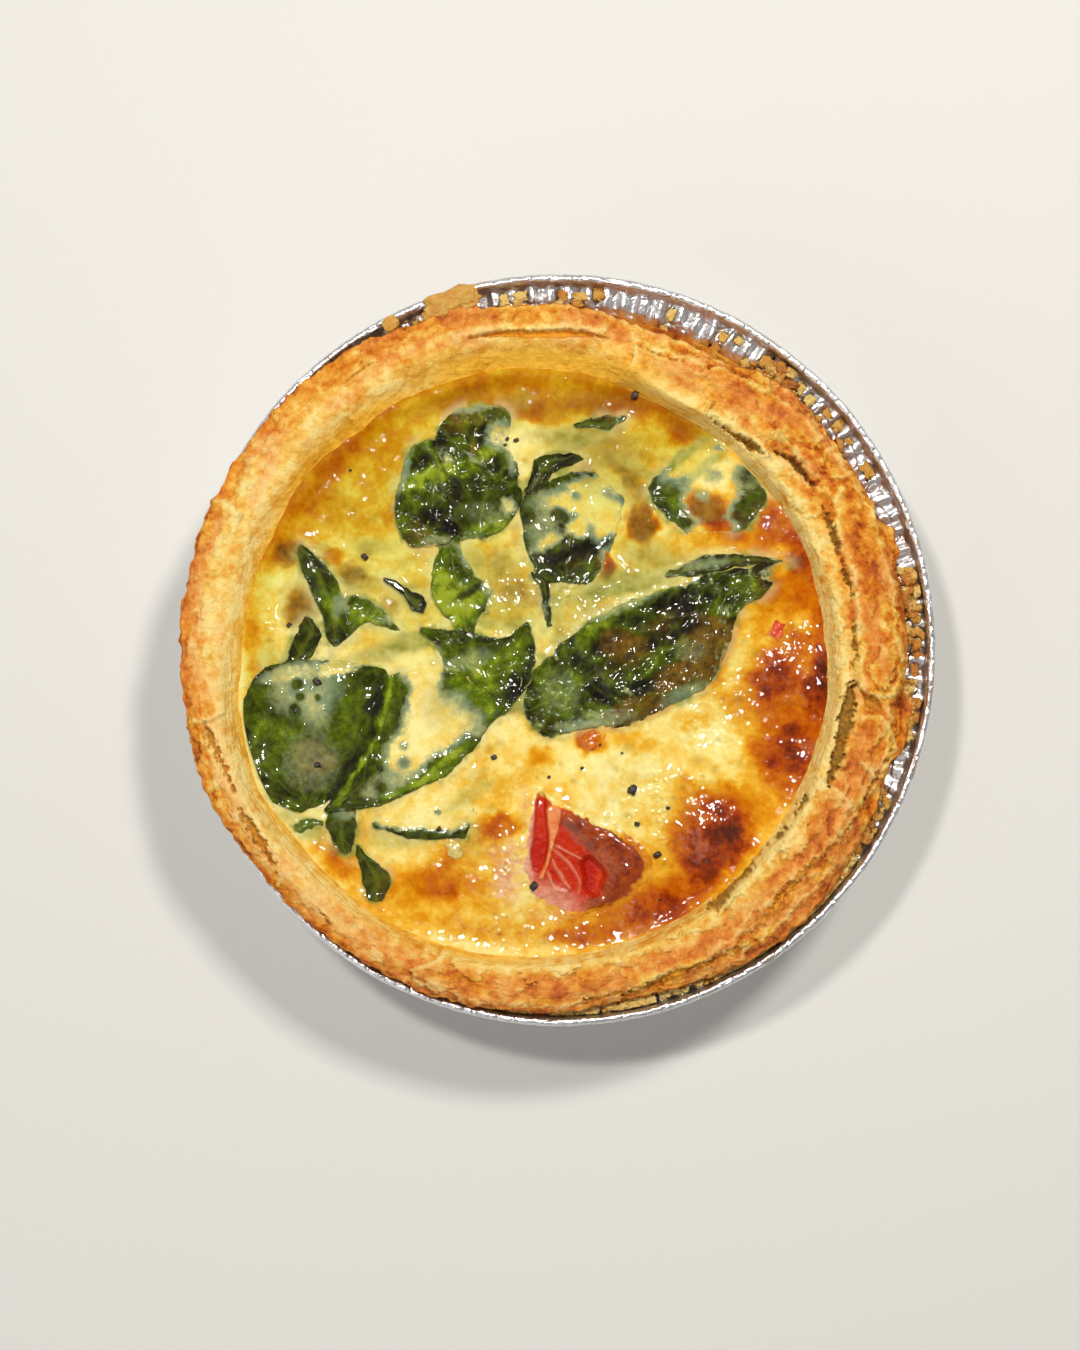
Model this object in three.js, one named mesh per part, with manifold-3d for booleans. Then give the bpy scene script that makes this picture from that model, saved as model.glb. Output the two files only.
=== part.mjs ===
// A small single-serving quiche of spinach and tomato, baked in its fluted foil tin.
// Millimetres, +Z up. The origin is the centre of the tin's flat base, where it stands.
// Angles run anticlockwise from +X, seen from above, in degrees unless a name says otherwise.
import * as THREE from "three";
import { mergeVertices } from "three/addons/utils/BufferGeometryUtils.js";
import Module from "manifold-3d";

const wasm = await Module();
wasm.setup();

// ---------------------------------------------------------------- driving dimensions

const GAP = 0.3; // clear space between pieces that touch
const MEETING_GAP = 0.4; // the same where two coarse meshes follow each other

const TIN = {
  rimRadius: 63.5,
  baseRadius: 45,
  cornerRadius: 2.5,
  wallTopRadius: 57.4,
  wallTopZ: 25,
  flangeZ: 26,
  lipRadius: 62.2,
  beadRadius: 0.7,
  beadZ: 28.8,
  foil: 0.45,
  flutes: 120,
  fluteDepth: 0.42,
  ringInner: 29,
  ringOuter: 34,
  ringHeight: 0.6,
};

const CUSTARD = {
  centreX: -4.1,
  centreY: -2.7,
  radius: 49.3,
  floorRadius: 41.5,
  floorZ: 4.9,
  level: 28.4,
  dome: 0.7,
  edgeRise: 0.6,
  edgeWidth: 2.5,
};

const CRUST = {
  centreX: -2.9,
  centreY: -1.2,
  radius: 61,
  baseZ: 1.4,
  seatZ: 27.3,
  overhangZ: 30.05,
  crownZ: 32.4,
  segments: 120,
};

const LEAF_THICKNESS = 0.45;

// ---------------------------------------------------------------- small helpers

const rad = (degrees) => (degrees * Math.PI) / 180;
const clamp01 = (v) => Math.min(1, Math.max(0, v));
const lerp = (a, b, t) => a + (b - a) * t;
const smooth = (from, to, v) => {
  const t = clamp01((v - from) / (to - from));
  return t * t * (3 - 2 * t);
};
// The angle between two directions, from 0 to 180.
const apart = (a, b) => Math.abs(((((a - b) % 360) + 540) % 360) - 180);

// A rounded hat: 1 at the middle of an arc of angles, 0 beyond its ends.
const over = (angle, from, to, fade) => {
  const half = (to - from) / 2;
  return 1 - smooth(half - fade, half + fade, apart(angle, from + half));
};

// Slow waviness round the pie, between about -1 and 1.
const ripple = (angle, phase) => {
  const a = rad(angle);
  return (
    0.45 * Math.sin(3 * a + phase) +
    0.3 * Math.sin(7 * a + 2.1 * phase) +
    0.25 * Math.sin(16 * a + 3.7 * phase)
  );
};

// How far a circle with its centre off the axis reaches in one direction.
const reach = (angle, cx, cy, radius) => {
  const c = Math.cos(rad(angle));
  const s = Math.sin(rad(angle));
  return cx * c + cy * s + Math.sqrt(radius ** 2 - (cx * s - cy * c) ** 2);
};

// ---------------------------------------------------------------- mesh making

// A ring of count points, at the radius and height that at(angle, index) gives.
const ring = (count, at) =>
  Array.from({ length: count }, (_, j) => {
    const angle = (360 * j) / count;
    const [r, z] = at(angle, j);
    return new THREE.Vector3(r * Math.cos(rad(angle)), r * Math.sin(rad(angle)), z);
  });

const pole = (x, y, z) => [new THREE.Vector3(x, y, z)];

// Joins two rings with triangles. One may have a whole number of times the other's points.
function stitch(triangles, a, b) {
  const few = Math.min(a.length, b.length);
  const step = Math.max(a.length, b.length) / few;
  const manyIsB = b.length >= a.length;
  const many = manyIsB ? b : a;
  const sparse = manyIsB ? a : b;
  const half = Math.ceil(step / 2);
  for (let j = 0; j < few; j++) {
    const s0 = sparse[j];
    const s1 = sparse[(j + 1) % few];
    for (let k = 0; k < step; k++) {
      const m0 = many[j * step + k];
      const m1 = many[(j * step + k + 1) % many.length];
      const s = k < half ? s0 : s1;
      triangles.push(manyIsB ? [s, m0, m1] : [m0, s, m1]);
      if (k === half - 1 && few > 1) {
        triangles.push(manyIsB ? [s0, m1, s1] : [m1, s0, s1]);
      }
    }
  }
}

// The signed volume of a closed set of triangles.
const signedVolume = (points, triangles) =>
  triangles.reduce(
    (sum, [a, b, c]) => sum + points[a].dot(new THREE.Vector3().crossVectors(points[b], points[c])) / 6,
    0,
  );

// A solid from points and triangles, turned to face outwards.
function solidFrom(points, triangles) {
  const turned = signedVolume(points, triangles) < 0 ? triangles.map(([a, b, c]) => [a, c, b]) : triangles;
  const geometry = new THREE.BufferGeometry();
  geometry.setAttribute("position", new THREE.Float32BufferAttribute(points.flatMap((p) => [p.x, p.y, p.z]), 3));
  geometry.setIndex(turned.flat());
  const merged = mergeVertices(geometry, 1e-4);
  return new wasm.Manifold(
    new wasm.Mesh({
      numProp: 3,
      vertProperties: new Float32Array(merged.attributes.position.array),
      triVerts: new Uint32Array(merged.index.array),
    }),
  );
}

// A closed solid skinned over rings, from one pole to the other.
function skin(rings) {
  const points = [];
  const numbered = rings.map((r) => r.map((p) => points.push(p) - 1));
  const triangles = [];
  for (let i = 0; i + 1 < numbered.length; i++) stitch(triangles, numbered[i], numbered[i + 1]);
  return solidFrom(points, triangles);
}

// The largest body of a solid that a cut may have split.
const largest = (solid) => solid.decompose().sort((a, b) => b.volume() - a.volume())[0];

function meshOf(name, solid, colour, roughness, metalness = 0) {
  const made = solid.getMesh();
  const geometry = new THREE.BufferGeometry();
  geometry.setAttribute("position", new THREE.BufferAttribute(new Float32Array(made.vertProperties), 3));
  geometry.setIndex(new THREE.BufferAttribute(new Uint32Array(made.triVerts), 1));
  const flat = geometry.toNonIndexed();
  flat.computeVertexNormals();
  const mesh = new THREE.Mesh(flat, new THREE.MeshStandardMaterial({ color: colour, roughness, metalness }));
  mesh.name = name;
  return mesh;
}

// ---------------------------------------------------------------- foil tin

// A pressed pan: flat base with a raised ring, sloping wall, crimped flange, short lip and a rolled bead.
function foilTin() {
  const t = TIN.foil;
  const fluted = TIN.flutes * 2;
  const plain = TIN.flutes;
  const coarse = TIN.flutes / 2;
  const crimp = (share) => (_, j) => (j % 2 ? share : -share) * TIN.fluteDepth;
  const at = (r, z) => () => [r, z];
  const crimped = (r, z, share) => {
    const lift = crimp(share);
    return (angle, j) => [r, z + lift(angle, j)];
  };
  // The wall leans out, so its thickness is taken along its own slope.
  const slope = Math.atan2(TIN.wallTopZ - TIN.cornerRadius, TIN.wallTopRadius - TIN.baseRadius - TIN.cornerRadius);
  const inX = t * Math.sin(slope);
  const inZ = t * Math.cos(slope);
  const kneeR = TIN.baseRadius + TIN.cornerRadius * 0.75;
  const kneeZ = TIN.cornerRadius * 0.3;
  const beadCentre = TIN.rimRadius - TIN.beadRadius;
  const bead = (degrees) => [
    beadCentre + TIN.beadRadius * Math.cos(rad(degrees)),
    TIN.beadZ + TIN.beadRadius * Math.sin(rad(degrees)),
  ];
  const under = [
    pole(0, 0, 0),
    ring(coarse / 4, at(TIN.ringInner - 1, 0)),
    ring(coarse / 2, at(TIN.ringInner, TIN.ringHeight)),
    ring(coarse / 2, at(TIN.ringOuter, TIN.ringHeight)),
    ring(coarse / 2, at(TIN.ringOuter + 1, 0)),
    ring(coarse, at(TIN.baseRadius, 0)),
    ring(coarse, at(kneeR, kneeZ)),
    ring(plain, at(TIN.baseRadius + TIN.cornerRadius, TIN.cornerRadius)),
    ring(plain, at(TIN.wallTopRadius, TIN.wallTopZ - 1)),
    ring(fluted, crimped(TIN.wallTopRadius + 1, TIN.flangeZ - 0.3, 0.5)),
    ring(fluted, crimped(TIN.lipRadius - 0.9, TIN.flangeZ, 1)),
    ring(plain, at(TIN.lipRadius + 0.1, TIN.flangeZ + 0.4)),
  ];
  const roll = [-80, -10, 60, 130, 190].map((degrees) => ring(coarse, at(...bead(degrees))));
  const inside = [
    ring(plain, at(TIN.lipRadius - t, TIN.flangeZ + 0.7)),
    ring(fluted, crimped(TIN.lipRadius - 0.9 - t * 0.5, TIN.flangeZ + t, 1)),
    ring(plain, at(TIN.wallTopRadius + 1 - t * 0.5, TIN.flangeZ - 0.3 + t)),
    ring(plain, at(TIN.wallTopRadius - inX, TIN.wallTopZ - 1 + inZ)),
    ring(plain, at(TIN.baseRadius + TIN.cornerRadius - inX, TIN.cornerRadius + inZ)),
    ring(coarse, at(kneeR - t * 0.4, kneeZ + t)),
    ring(coarse, at(TIN.baseRadius - t * 0.2, t)),
    ring(coarse / 2, at(TIN.ringOuter + 1, t)),
    ring(coarse / 2, at(TIN.ringOuter, TIN.ringHeight + t)),
    ring(coarse / 2, at(TIN.ringInner, TIN.ringHeight + t)),
    ring(coarse / 4, at(TIN.ringInner - 1, t)),
    pole(0, 0, t),
  ];
  return skin([...under, ...roll, ...inside]);
}

// ---------------------------------------------------------------- custard filling

// Browned blisters and soft mounds that stand up from the custard: x, y, radius, height.
const BLISTERS = [
  [25.4, -31.2, 6.5, 1.3],
  [37.2, -2.6, 5.5, 0.9],
  [42.2, -7.2, 4.2, 0.7],
  [40.5, 15.5, 6, 0.8],
  [-20.3, -39.6, 4.5, 0.6],
  [-6.8, 42, 7, 0.5],
  [13.9, 20.8, 3, 0.8],
  [8, 14.6, 2.6, 0.7],
  [-41, 7.8, 3, 0.4],
  [-4, -22, 6, -0.5],
  [12, -22, 7, -0.4],
];

// The custard's edge, where it meets the crust, at a height between its floor and its top.
function custardEdge(angle, z) {
  const share = clamp01((z - CUSTARD.floorZ) / (CUSTARD.level - CUSTARD.floorZ));
  const radius = lerp(CUSTARD.floorRadius, CUSTARD.radius, share ** 0.8) + 0.35 * ripple(angle, 1.3) * share;
  return reach(angle, CUSTARD.centreX * share, CUSTARD.centreY * share, radius);
}

// The height of the custard's top: a low dome with soft lumps, climbing a little where it meets the crust.
function custardTop(x, y) {
  const angle = (Math.atan2(y, x) * 180) / Math.PI;
  const inset = custardEdge(angle, CUSTARD.level) - Math.hypot(x, y);
  const fromCentre = Math.hypot(x - CUSTARD.centreX, y - CUSTARD.centreY) / CUSTARD.radius;
  let z = CUSTARD.level + CUSTARD.dome * (1 - fromCentre ** 2);
  z += 0.22 * Math.sin(x / 4.3 + 1.1) * Math.sin(y / 5.1 + 0.4) + 0.16 * Math.sin(x / 2.9 - y / 3.7);
  z += CUSTARD.edgeRise * (1 - smooth(0, CUSTARD.edgeWidth, inset));
  for (const [bx, by, radius, height] of BLISTERS) {
    z += height * Math.exp(-((x - bx) ** 2 + (y - by) ** 2) / (0.45 * radius ** 2));
  }
  return z;
}

function custardFilling() {
  const shares = [0.09, 0.2, 0.31, 0.42, 0.53, 0.64, 0.74, 0.83, 0.91, 0.96];
  const full = CRUST.segments / 2;
  const half = full / 2;
  const counts = [half / 2, half / 2, half, half, half, full, full, full, full, full];
  const inward = (angle, z) => custardEdge(angle, z) - (z < CUSTARD.level ? 2 * GAP : GAP);
  const centreTop = custardTop(0, 0);
  const top = shares.map((share, i) =>
    ring(counts[i], (angle) => {
      const r = inward(angle, CUSTARD.level) * share;
      return [r, custardTop(r * Math.cos(rad(angle)), r * Math.sin(rad(angle)))];
    }),
  );
  const rim = ring(full, (angle) => {
    const r = inward(angle, CUSTARD.level);
    return [r, custardTop(r * Math.cos(rad(angle)), r * Math.sin(rad(angle)))];
  });
  const side = [22, 12].map((z, i) => ring(i ? half : full, (angle) => [inward(angle, z), z]));
  const floorRing = ring(half, (angle) => [inward(angle, CUSTARD.floorZ), CUSTARD.floorZ + GAP]);
  return skin([pole(0, 0, centreTop), ...top, rim, ...side, floorRing, pole(0, 0, CUSTARD.floorZ + GAP)]);
}

// ---------------------------------------------------------------- pastry crust

// Splits and tears that follow the rim: from and to angles, place across the rim from 0 at the custard to 1
// at the outside, width across, and depth.
const TEARS = [
  { from: -64, to: -30, across: 0.2, width: 0.1, depth: 1.9 },
  { from: -28, to: -6, across: 0.22, width: 0.12, depth: 2.6 },
  { from: 8, to: 31, across: 0.24, width: 0.1, depth: 2.1 },
  { from: 33, to: 43, across: 0.3, width: 0.1, depth: 2.2 },
  { from: 43, to: 53, across: 0.12, width: 0.1, depth: 2 },
  { from: 80, to: 108, across: 0.55, width: 0.09, depth: 1.3 },
  { from: 122, to: 129, across: 0.56, width: 0.07, depth: 0.8 },
  { from: 191, to: 218, across: 0.7, width: 0.09, depth: 1.3 },
  { from: 273, to: 301, across: 0.72, width: 0.08, depth: 1.6 },
  { from: 303, to: 325, across: 0.72, width: 0.07, depth: 1.2 },
];

// Flakes that lie on the rim and stand a little above it: from and to angles, inner and outer edge, height.
const FLAKES = [
  { from: 330, to: 352, inner: 0.36, outer: 0.7, height: 0.6 },
  { from: 306, to: 329, inner: 0.24, outer: 0.62, height: 0.7 },
  { from: 352, to: 375, inner: 0.34, outer: 0.78, height: 0.5 },
  { from: 30, to: 42, inner: 0.5, outer: 0.78, height: 0.6 },
  { from: 43, to: 58, inner: 0.16, outer: 0.5, height: 0.7 },
  { from: 62, to: 76, inner: 0.1, outer: 0.5, height: 0.6 },
  { from: 109, to: 134, inner: 0.22, outer: 0.5, height: 0.5 },
  { from: 192, to: 219, inner: 0.35, outer: 0.66, height: 0.5 },
  { from: 248, to: 300, inner: 0.2, outer: 0.68, height: 0.6 },
];

// Tongues of dough that run out over the tin's rim: middle angle, half width in degrees, reach.
const TONGUES = [
  { at: 107.5, half: 4.5, reach: 64.6 },
  { at: 18, half: 3, reach: 59.6 },
  { at: 347, half: 5, reach: 60.2 },
];

// Outline of the rim seen from above. It stays inside the tin's lip, or lies over its bead, but never on the lip.
function crustOutline(angle) {
  let r = reach(angle, CRUST.centreX, CRUST.centreY, CRUST.radius) + 0.45 * ripple(angle, 0.4);
  r -= 2.9 * over(angle, 56, 80, 7) + 1.4 * over(angle, 80, 118, 7) + 1.6 * over(angle, 210, 290, 12);
  r += 1.2 * over(angle, 300, 335, 10);
  for (const tongue of TONGUES) {
    const share = over(angle, tongue.at - tongue.half, tongue.at + tongue.half, 1.2);
    r = lerp(r, Math.max(r, tongue.reach), share);
  }
  return r;
}

// Whether the rim hangs over the tin's bead at an angle: 1 where it does, 0 where it stays inside the lip.
function overBead(angle) {
  const hang = smooth(60.4, 61.2, crustOutline(angle));
  const beside = TONGUES.filter((tongue) => tongue.reach > TIN.lipRadius).map((tongue) =>
    over(angle, tongue.at - tongue.half - 3, tongue.at + tongue.half + 3, 1),
  );
  return Math.max(hang, ...beside);
}

// Height of the rim's top, across from 0 at the custard to 1 at the outside.
function rimTop(angle, across) {
  const start = CUSTARD.level + CUSTARD.edgeRise + 0.25;
  const steepness = lerp(0.16, 0.4, over(angle, 78, 250, 14));
  const rise = smooth(-0.05, steepness, across);
  const fall = smooth(0.66, 1.04, across);
  let z = lerp(start, CRUST.crownZ, rise) - lerp(2.6, 1.1, overBead(angle)) * fall;
  z += 0.35 * ripple(angle + 40 * across, 2.2) * rise;
  for (const flake of FLAKES) {
    const along = over(angle, flake.from, flake.to, 1.5);
    const inFlake = smooth(flake.inner - 0.06, flake.inner + 0.02, across) * (1 - smooth(flake.outer, flake.outer + 0.07, across));
    z += flake.height * along * inFlake;
  }
  for (const tear of TEARS) {
    const along = over(angle, tear.from, tear.to, 2.5);
    const inTear = 1 - smooth(0, tear.width / 2 + 0.02, Math.abs(across - tear.across) * 0.75);
    z -= tear.depth * along * inTear;
  }
  return z;
}

// A shell of short pastry: flat base, wall up the tin, and a thick flaky rim that lies on the flange.
function pastryCrust() {
  const full = CRUST.segments;
  const half = full / 2;
  const quarter = full / 4;
  const wallSlope = (TIN.wallTopRadius - TIN.baseRadius - TIN.cornerRadius) / (TIN.wallTopZ - 1 - TIN.cornerRadius);
  const tinInside = (z) => TIN.baseRadius + TIN.cornerRadius + (z - TIN.cornerRadius) * wallSlope - TIN.foil;
  const below = [
    pole(0, 0, CRUST.baseZ),
    ring(quarter / 2, () => [25, CRUST.baseZ]),
    ring(quarter, () => [TIN.baseRadius - 1, CRUST.baseZ]),
    ring(half, () => [tinInside(4) - GAP - 0.2, 4]),
    ring(half, () => [tinInside(TIN.wallTopZ - 1) - GAP - 0.2, TIN.wallTopZ - 1]),
    ring(full, () => [TIN.wallTopRadius - 0.2, CRUST.seatZ]),
    ring(full, (angle) => {
      const lift = overBead(angle);
      return [lerp(crustOutline(angle) - 0.7, 61.3, lift), lerp(CRUST.seatZ, CRUST.overhangZ, lift)];
    }),
    ring(full, (angle) => {
      const lift = overBead(angle);
      return [crustOutline(angle) - 0.05, lerp(CRUST.seatZ + 0.5, CRUST.overhangZ + 0.15, lift)];
    }),
  ];
  const edge = ring(full, (angle) => {
    const bottom = lerp(CRUST.seatZ + 0.5, CRUST.overhangZ + 0.15, overBead(angle));
    return [crustOutline(angle) + 0.2, lerp(bottom, rimTop(angle, 0.97), 0.55)];
  });
  const acrossRim = [0.97, 0.9, 0.8, 0.72, 0.64, 0.55, 0.46, 0.34, 0.25, 0.19, 0.09];
  const top = acrossRim.map((across) =>
    ring(full, (angle) => {
      const inner = custardEdge(angle, CUSTARD.level) + 0.1;
      return [lerp(inner, crustOutline(angle), across), rimTop(angle, across)];
    }),
  );
  const wall = [
    ring(half, (angle) => [custardEdge(angle, CUSTARD.level), rimTop(angle, 0)]),
    ring(half, (angle) => [custardEdge(angle, 22), 22]),
    ring(quarter, (angle) => [custardEdge(angle, 12), 12]),
    ring(quarter, (angle) => [custardEdge(angle, CUSTARD.floorZ), CUSTARD.floorZ]),
    pole(0, 0, CUSTARD.floorZ),
  ];
  return skin([...below, edge, ...top, ...wall]);
}

// ---------------------------------------------------------------- spinach leaves

// The leaves are drawn on a plan whose unit is PLAN.unit mm, with y down and the tin's axis at PLAN.x, PLAN.y.
const PLAN = { unit: 0.1689, x: 560, y: 650 };

// Each leaf is a row of ribs, x and y of one edge and then of the other, from its stalk to its tip.
// A leaf lies over those that come after it, which are cut short of it.
const LEAVES = {
  big_left: [
    [326, 807, 327, 810], [338, 779, 352, 806], [352, 752, 385, 801], [366, 715, 412, 788],
    [382, 674, 440, 776], [412, 668, 464, 755], [444, 672, 486, 731], [470, 682, 501, 712],
  ],
  big_round: [
    [305, 801, 315, 801], [278, 787, 331, 784], [252, 760, 342, 757], [247, 733, 354, 728],
    [255, 692, 364, 702], [272, 669, 352, 684], [290, 662, 325, 668],
  ],
  big_right: [
    [523, 703, 526, 720], [534, 672, 548, 738], [552, 652, 576, 730], [576, 631, 604, 727],
    [600, 614, 632, 726], [630, 600, 662, 710], [662, 591, 700, 692], [695, 579, 724, 662],
    [722, 571, 738, 615], [748, 567, 764, 594], [769, 562, 776, 588],
  ],
  top_edge: [
    [640, 575, 640, 578], [672, 570, 672, 577], [700, 557, 700, 574], [728, 553, 729, 568],
    [756, 556, 757, 563], [795, 562, 795, 565],
  ],
  middle_dark: [
    [420, 628, 421, 632], [446, 631, 450, 642], [474, 634, 480, 652], [504, 641, 490, 672],
    [528, 624, 498, 690], [534, 655, 505, 702], [524, 688, 505, 711],
  ],
  middle_folded: [[524, 489, 527, 493], [536, 470, 545, 481], [536, 459, 558, 470], [553, 456, 570, 463], [572, 456, 578, 460]],
  middle_veiled: [
    [548, 579, 588, 583], [531, 567, 597, 568], [525, 545, 606, 545], [521, 520, 622, 518],
    [522, 498, 628, 498], [545, 486, 610, 482], [560, 478, 590, 473],
  ],
  cluster_right: [[466, 539, 488, 536], [458, 522, 504, 524], [454, 506, 514, 506], [457, 494, 519, 493], [474, 486, 514, 478]],
  cluster_top: [
    [458, 484, 505, 474], [456, 466, 508, 462], [441, 445, 497, 444], [446, 429, 512, 432],
    [457, 414, 512, 418], [478, 406, 500, 408],
  ],
  cluster_left: [
    [412, 549, 420, 548], [403, 532, 444, 537], [395, 516, 449, 515], [400, 490, 452, 494],
    [405, 470, 456, 472], [413, 451, 450, 452], [428, 448, 440, 446],
  ],
  right_veiled: [
    [647, 483, 655, 507], [668, 472, 672, 522], [690, 457, 691, 532], [710, 443, 712, 530],
    [733, 450, 736, 530], [753, 471, 752, 512], [768, 487, 766, 494],
  ],
  top_small: [[574, 425, 576, 429], [588, 419, 592, 427], [604, 416, 606, 434], [618, 415, 618, 426], [630, 414, 630, 418]],
  left_spear: [
    [303, 541, 306, 542], [299, 560, 318, 557], [302, 578, 331, 572], [312, 599, 334, 592],
    [325, 614, 343, 608], [327, 630, 347, 628], [337, 642, 342, 643],
  ],
  left_curl: [[347, 590, 347, 622], [360, 590, 357, 620], [372, 600, 368, 624], [383, 611, 382, 630], [402, 626, 401, 631]],
  left_scrap: [[286, 655, 300, 660], [295, 641, 313, 650], [304, 626, 319, 634], [306, 622, 311, 623]],
  left_sliver: [[381, 577, 381, 581], [396, 582, 394, 588], [410, 591, 407, 598], [420, 594, 411, 609], [427, 605, 422, 612]],
  middle_bright: [
    [446, 538, 455, 539], [437, 553, 461, 556], [431, 572, 468, 574], [434, 592, 493, 590],
    [443, 609, 484, 607], [455, 622, 474, 622], [465, 631, 469, 632],
  ],
  stalk: [[530, 572, 548, 574], [540, 590, 550, 588], [543, 610, 551, 608], [546, 630, 553, 628]],
  low_veiled: [[372, 823, 372, 827], [394, 817, 394, 833], [418, 811, 416, 837], [444, 805, 440, 837], [470, 812, 464, 838]],
  low_wedge: [[333, 815, 355, 814], [327, 826, 358, 824], [332, 845, 354, 843], [339, 854, 351, 854]],
  low_spear: [[355, 847, 358, 847], [359, 866, 374, 865], [364, 884, 390, 880], [370, 900, 382, 899]],
  low_curl: [[289, 830, 294, 838], [300, 819, 303, 833], [314, 819, 314, 829], [323, 822, 323, 827]],
};

// Draws a point in from the crust, so that nothing on the custard touches it.
function withinCrust(x, y) {
  const dx = x - CUSTARD.centreX;
  const dy = y - CUSTARD.centreY;
  const share = Math.min(1, (CUSTARD.radius - 1.4) / Math.hypot(dx, dy));
  return new THREE.Vector3(CUSTARD.centreX + dx * share, CUSTARD.centreY + dy * share, 0);
}

// A leaf's two edges as smooth curves on the custard.
function leafEdges(ribs) {
  const along = (first) =>
    new THREE.CatmullRomCurve3(
      ribs.map((rib) => withinCrust((rib[first] - PLAN.x) * PLAN.unit, (PLAN.y - rib[first + 1]) * PLAN.unit)),
    );
  return [along(0), along(2)];
}

// A thin wavy blade: both faces have the same triangles, its edges ruffle and it folds along its midrib.
function leafBlade(ribs, groundAt) {
  const [edgeA, edgeB] = leafEdges(ribs);
  const stations = Math.round(ribs.length * 1.15);
  const width = Math.max(...ribs.map(([ax, ay, bx, by]) => Math.hypot(bx - ax, by - ay))) * PLAN.unit;
  const strips = width < 12 ? 2 : 4;
  const faces = [[], []];
  for (let i = 0; i <= stations; i++) {
    const along = i / stations;
    const [a, b] = [edgeA.getPoint(along), edgeB.getPoint(along)];
    const rows = [[], []];
    for (let j = 0; j <= strips; j++) {
      const side = (2 * j) / strips - 1;
      const p = a.clone().lerp(b, j / strips);
      const ruffle = 0.5 + 0.5 * Math.sin(0.9 * p.x + 1.3 * p.y + 2 * side);
      const lift = width * (0.025 * side ** 2 + 0.03 * ruffle);
      const low = groundAt(p.x, p.y) + MEETING_GAP + Math.min(lift, 0.9);
      rows[0].push(new THREE.Vector3(p.x, p.y, low));
      rows[1].push(new THREE.Vector3(p.x, p.y, low + LEAF_THICKNESS + 0.15 * (1 - Math.abs(side))));
    }
    faces.forEach((face, k) => face.push(rows[k]));
  }
  const points = [];
  const [low, high] = faces.map((rows) => rows.map((row) => row.map((p) => points.push(p) - 1)));
  const triangles = [];
  for (let i = 0; i < stations; i++) {
    for (let j = 0; j < strips; j++) {
      const quad = (rows) => [rows[i][j], rows[i + 1][j], rows[i + 1][j + 1], rows[i][j + 1]];
      const [h0, h1, h2, h3] = quad(high);
      const [l0, l1, l2, l3] = quad(low);
      triangles.push([h0, h1, h2], [h0, h2, h3], [l0, l2, l1], [l0, l3, l2]);
    }
  }
  const rimOf = (rows) => [
    ...rows[0],
    ...rows.slice(1).map((row) => row[strips]),
    ...rows[stations].slice(0, strips).reverse(),
    ...rows.slice(1, stations).reverse().map((row) => row[0]),
  ];
  const [lowRim, highRim] = [rimOf(low), rimOf(high)];
  lowRim.forEach((l, k) => {
    const n = (k + 1) % lowRim.length;
    triangles.push([l, highRim[k], highRim[n]], [l, highRim[n], lowRim[n]]);
  });
  return solidFrom(points, triangles);
}

// An upright prism over a leaf's outline, with a margin, that cuts the leaves beneath it short.
function leafShadow(ribs) {
  const [edgeA, edgeB] = leafEdges(ribs);
  const outline = [...edgeA.getPoints(8), ...edgeB.getPoints(8).reverse()].map((p) => [p.x, p.y]);
  const flat = new wasm.CrossSection([outline], "NonZero").offset(MEETING_GAP, "Miter", 2);
  return flat.extrude(20).translate([0, 0, CUSTARD.level - 5]);
}

// The height of a solid's top surface under a point, read from its own triangles.
function topOf(solid) {
  const { vertProperties: p, triVerts: t } = solid.getMesh();
  const corner = (k) => new THREE.Vector3(p[3 * t[k]], p[3 * t[k] + 1], p[3 * t[k] + 2]);
  const faces = [];
  for (let k = 0; k < t.length; k += 3) {
    const triangle = new THREE.Triangle(corner(k), corner(k + 1), corner(k + 2));
    if (triangle.getNormal(new THREE.Vector3()).z > 0.2) faces.push(triangle);
  }
  const down = new THREE.Vector3(0, 0, -1);
  const hit = new THREE.Vector3();
  return (x, y) => {
    const ray = new THREE.Ray(new THREE.Vector3(x, y, 100), down);
    let best = -Infinity;
    for (const f of faces) {
      if (ray.intersectTriangle(f.a, f.b, f.c, false, hit)) best = Math.max(best, hit.z);
    }
    if (best === -Infinity) throw new Error(`nothing lies under ${x.toFixed(1)}, ${y.toFixed(1)}`);
    return best;
  };
}

// ---------------------------------------------------------------- tomato and other pieces

const TOMATO = { x: 3.2, y: -34.8, length: 21.5, width: 18.5, heading: -28, proud: 0.7, sunk: 7 };

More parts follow.
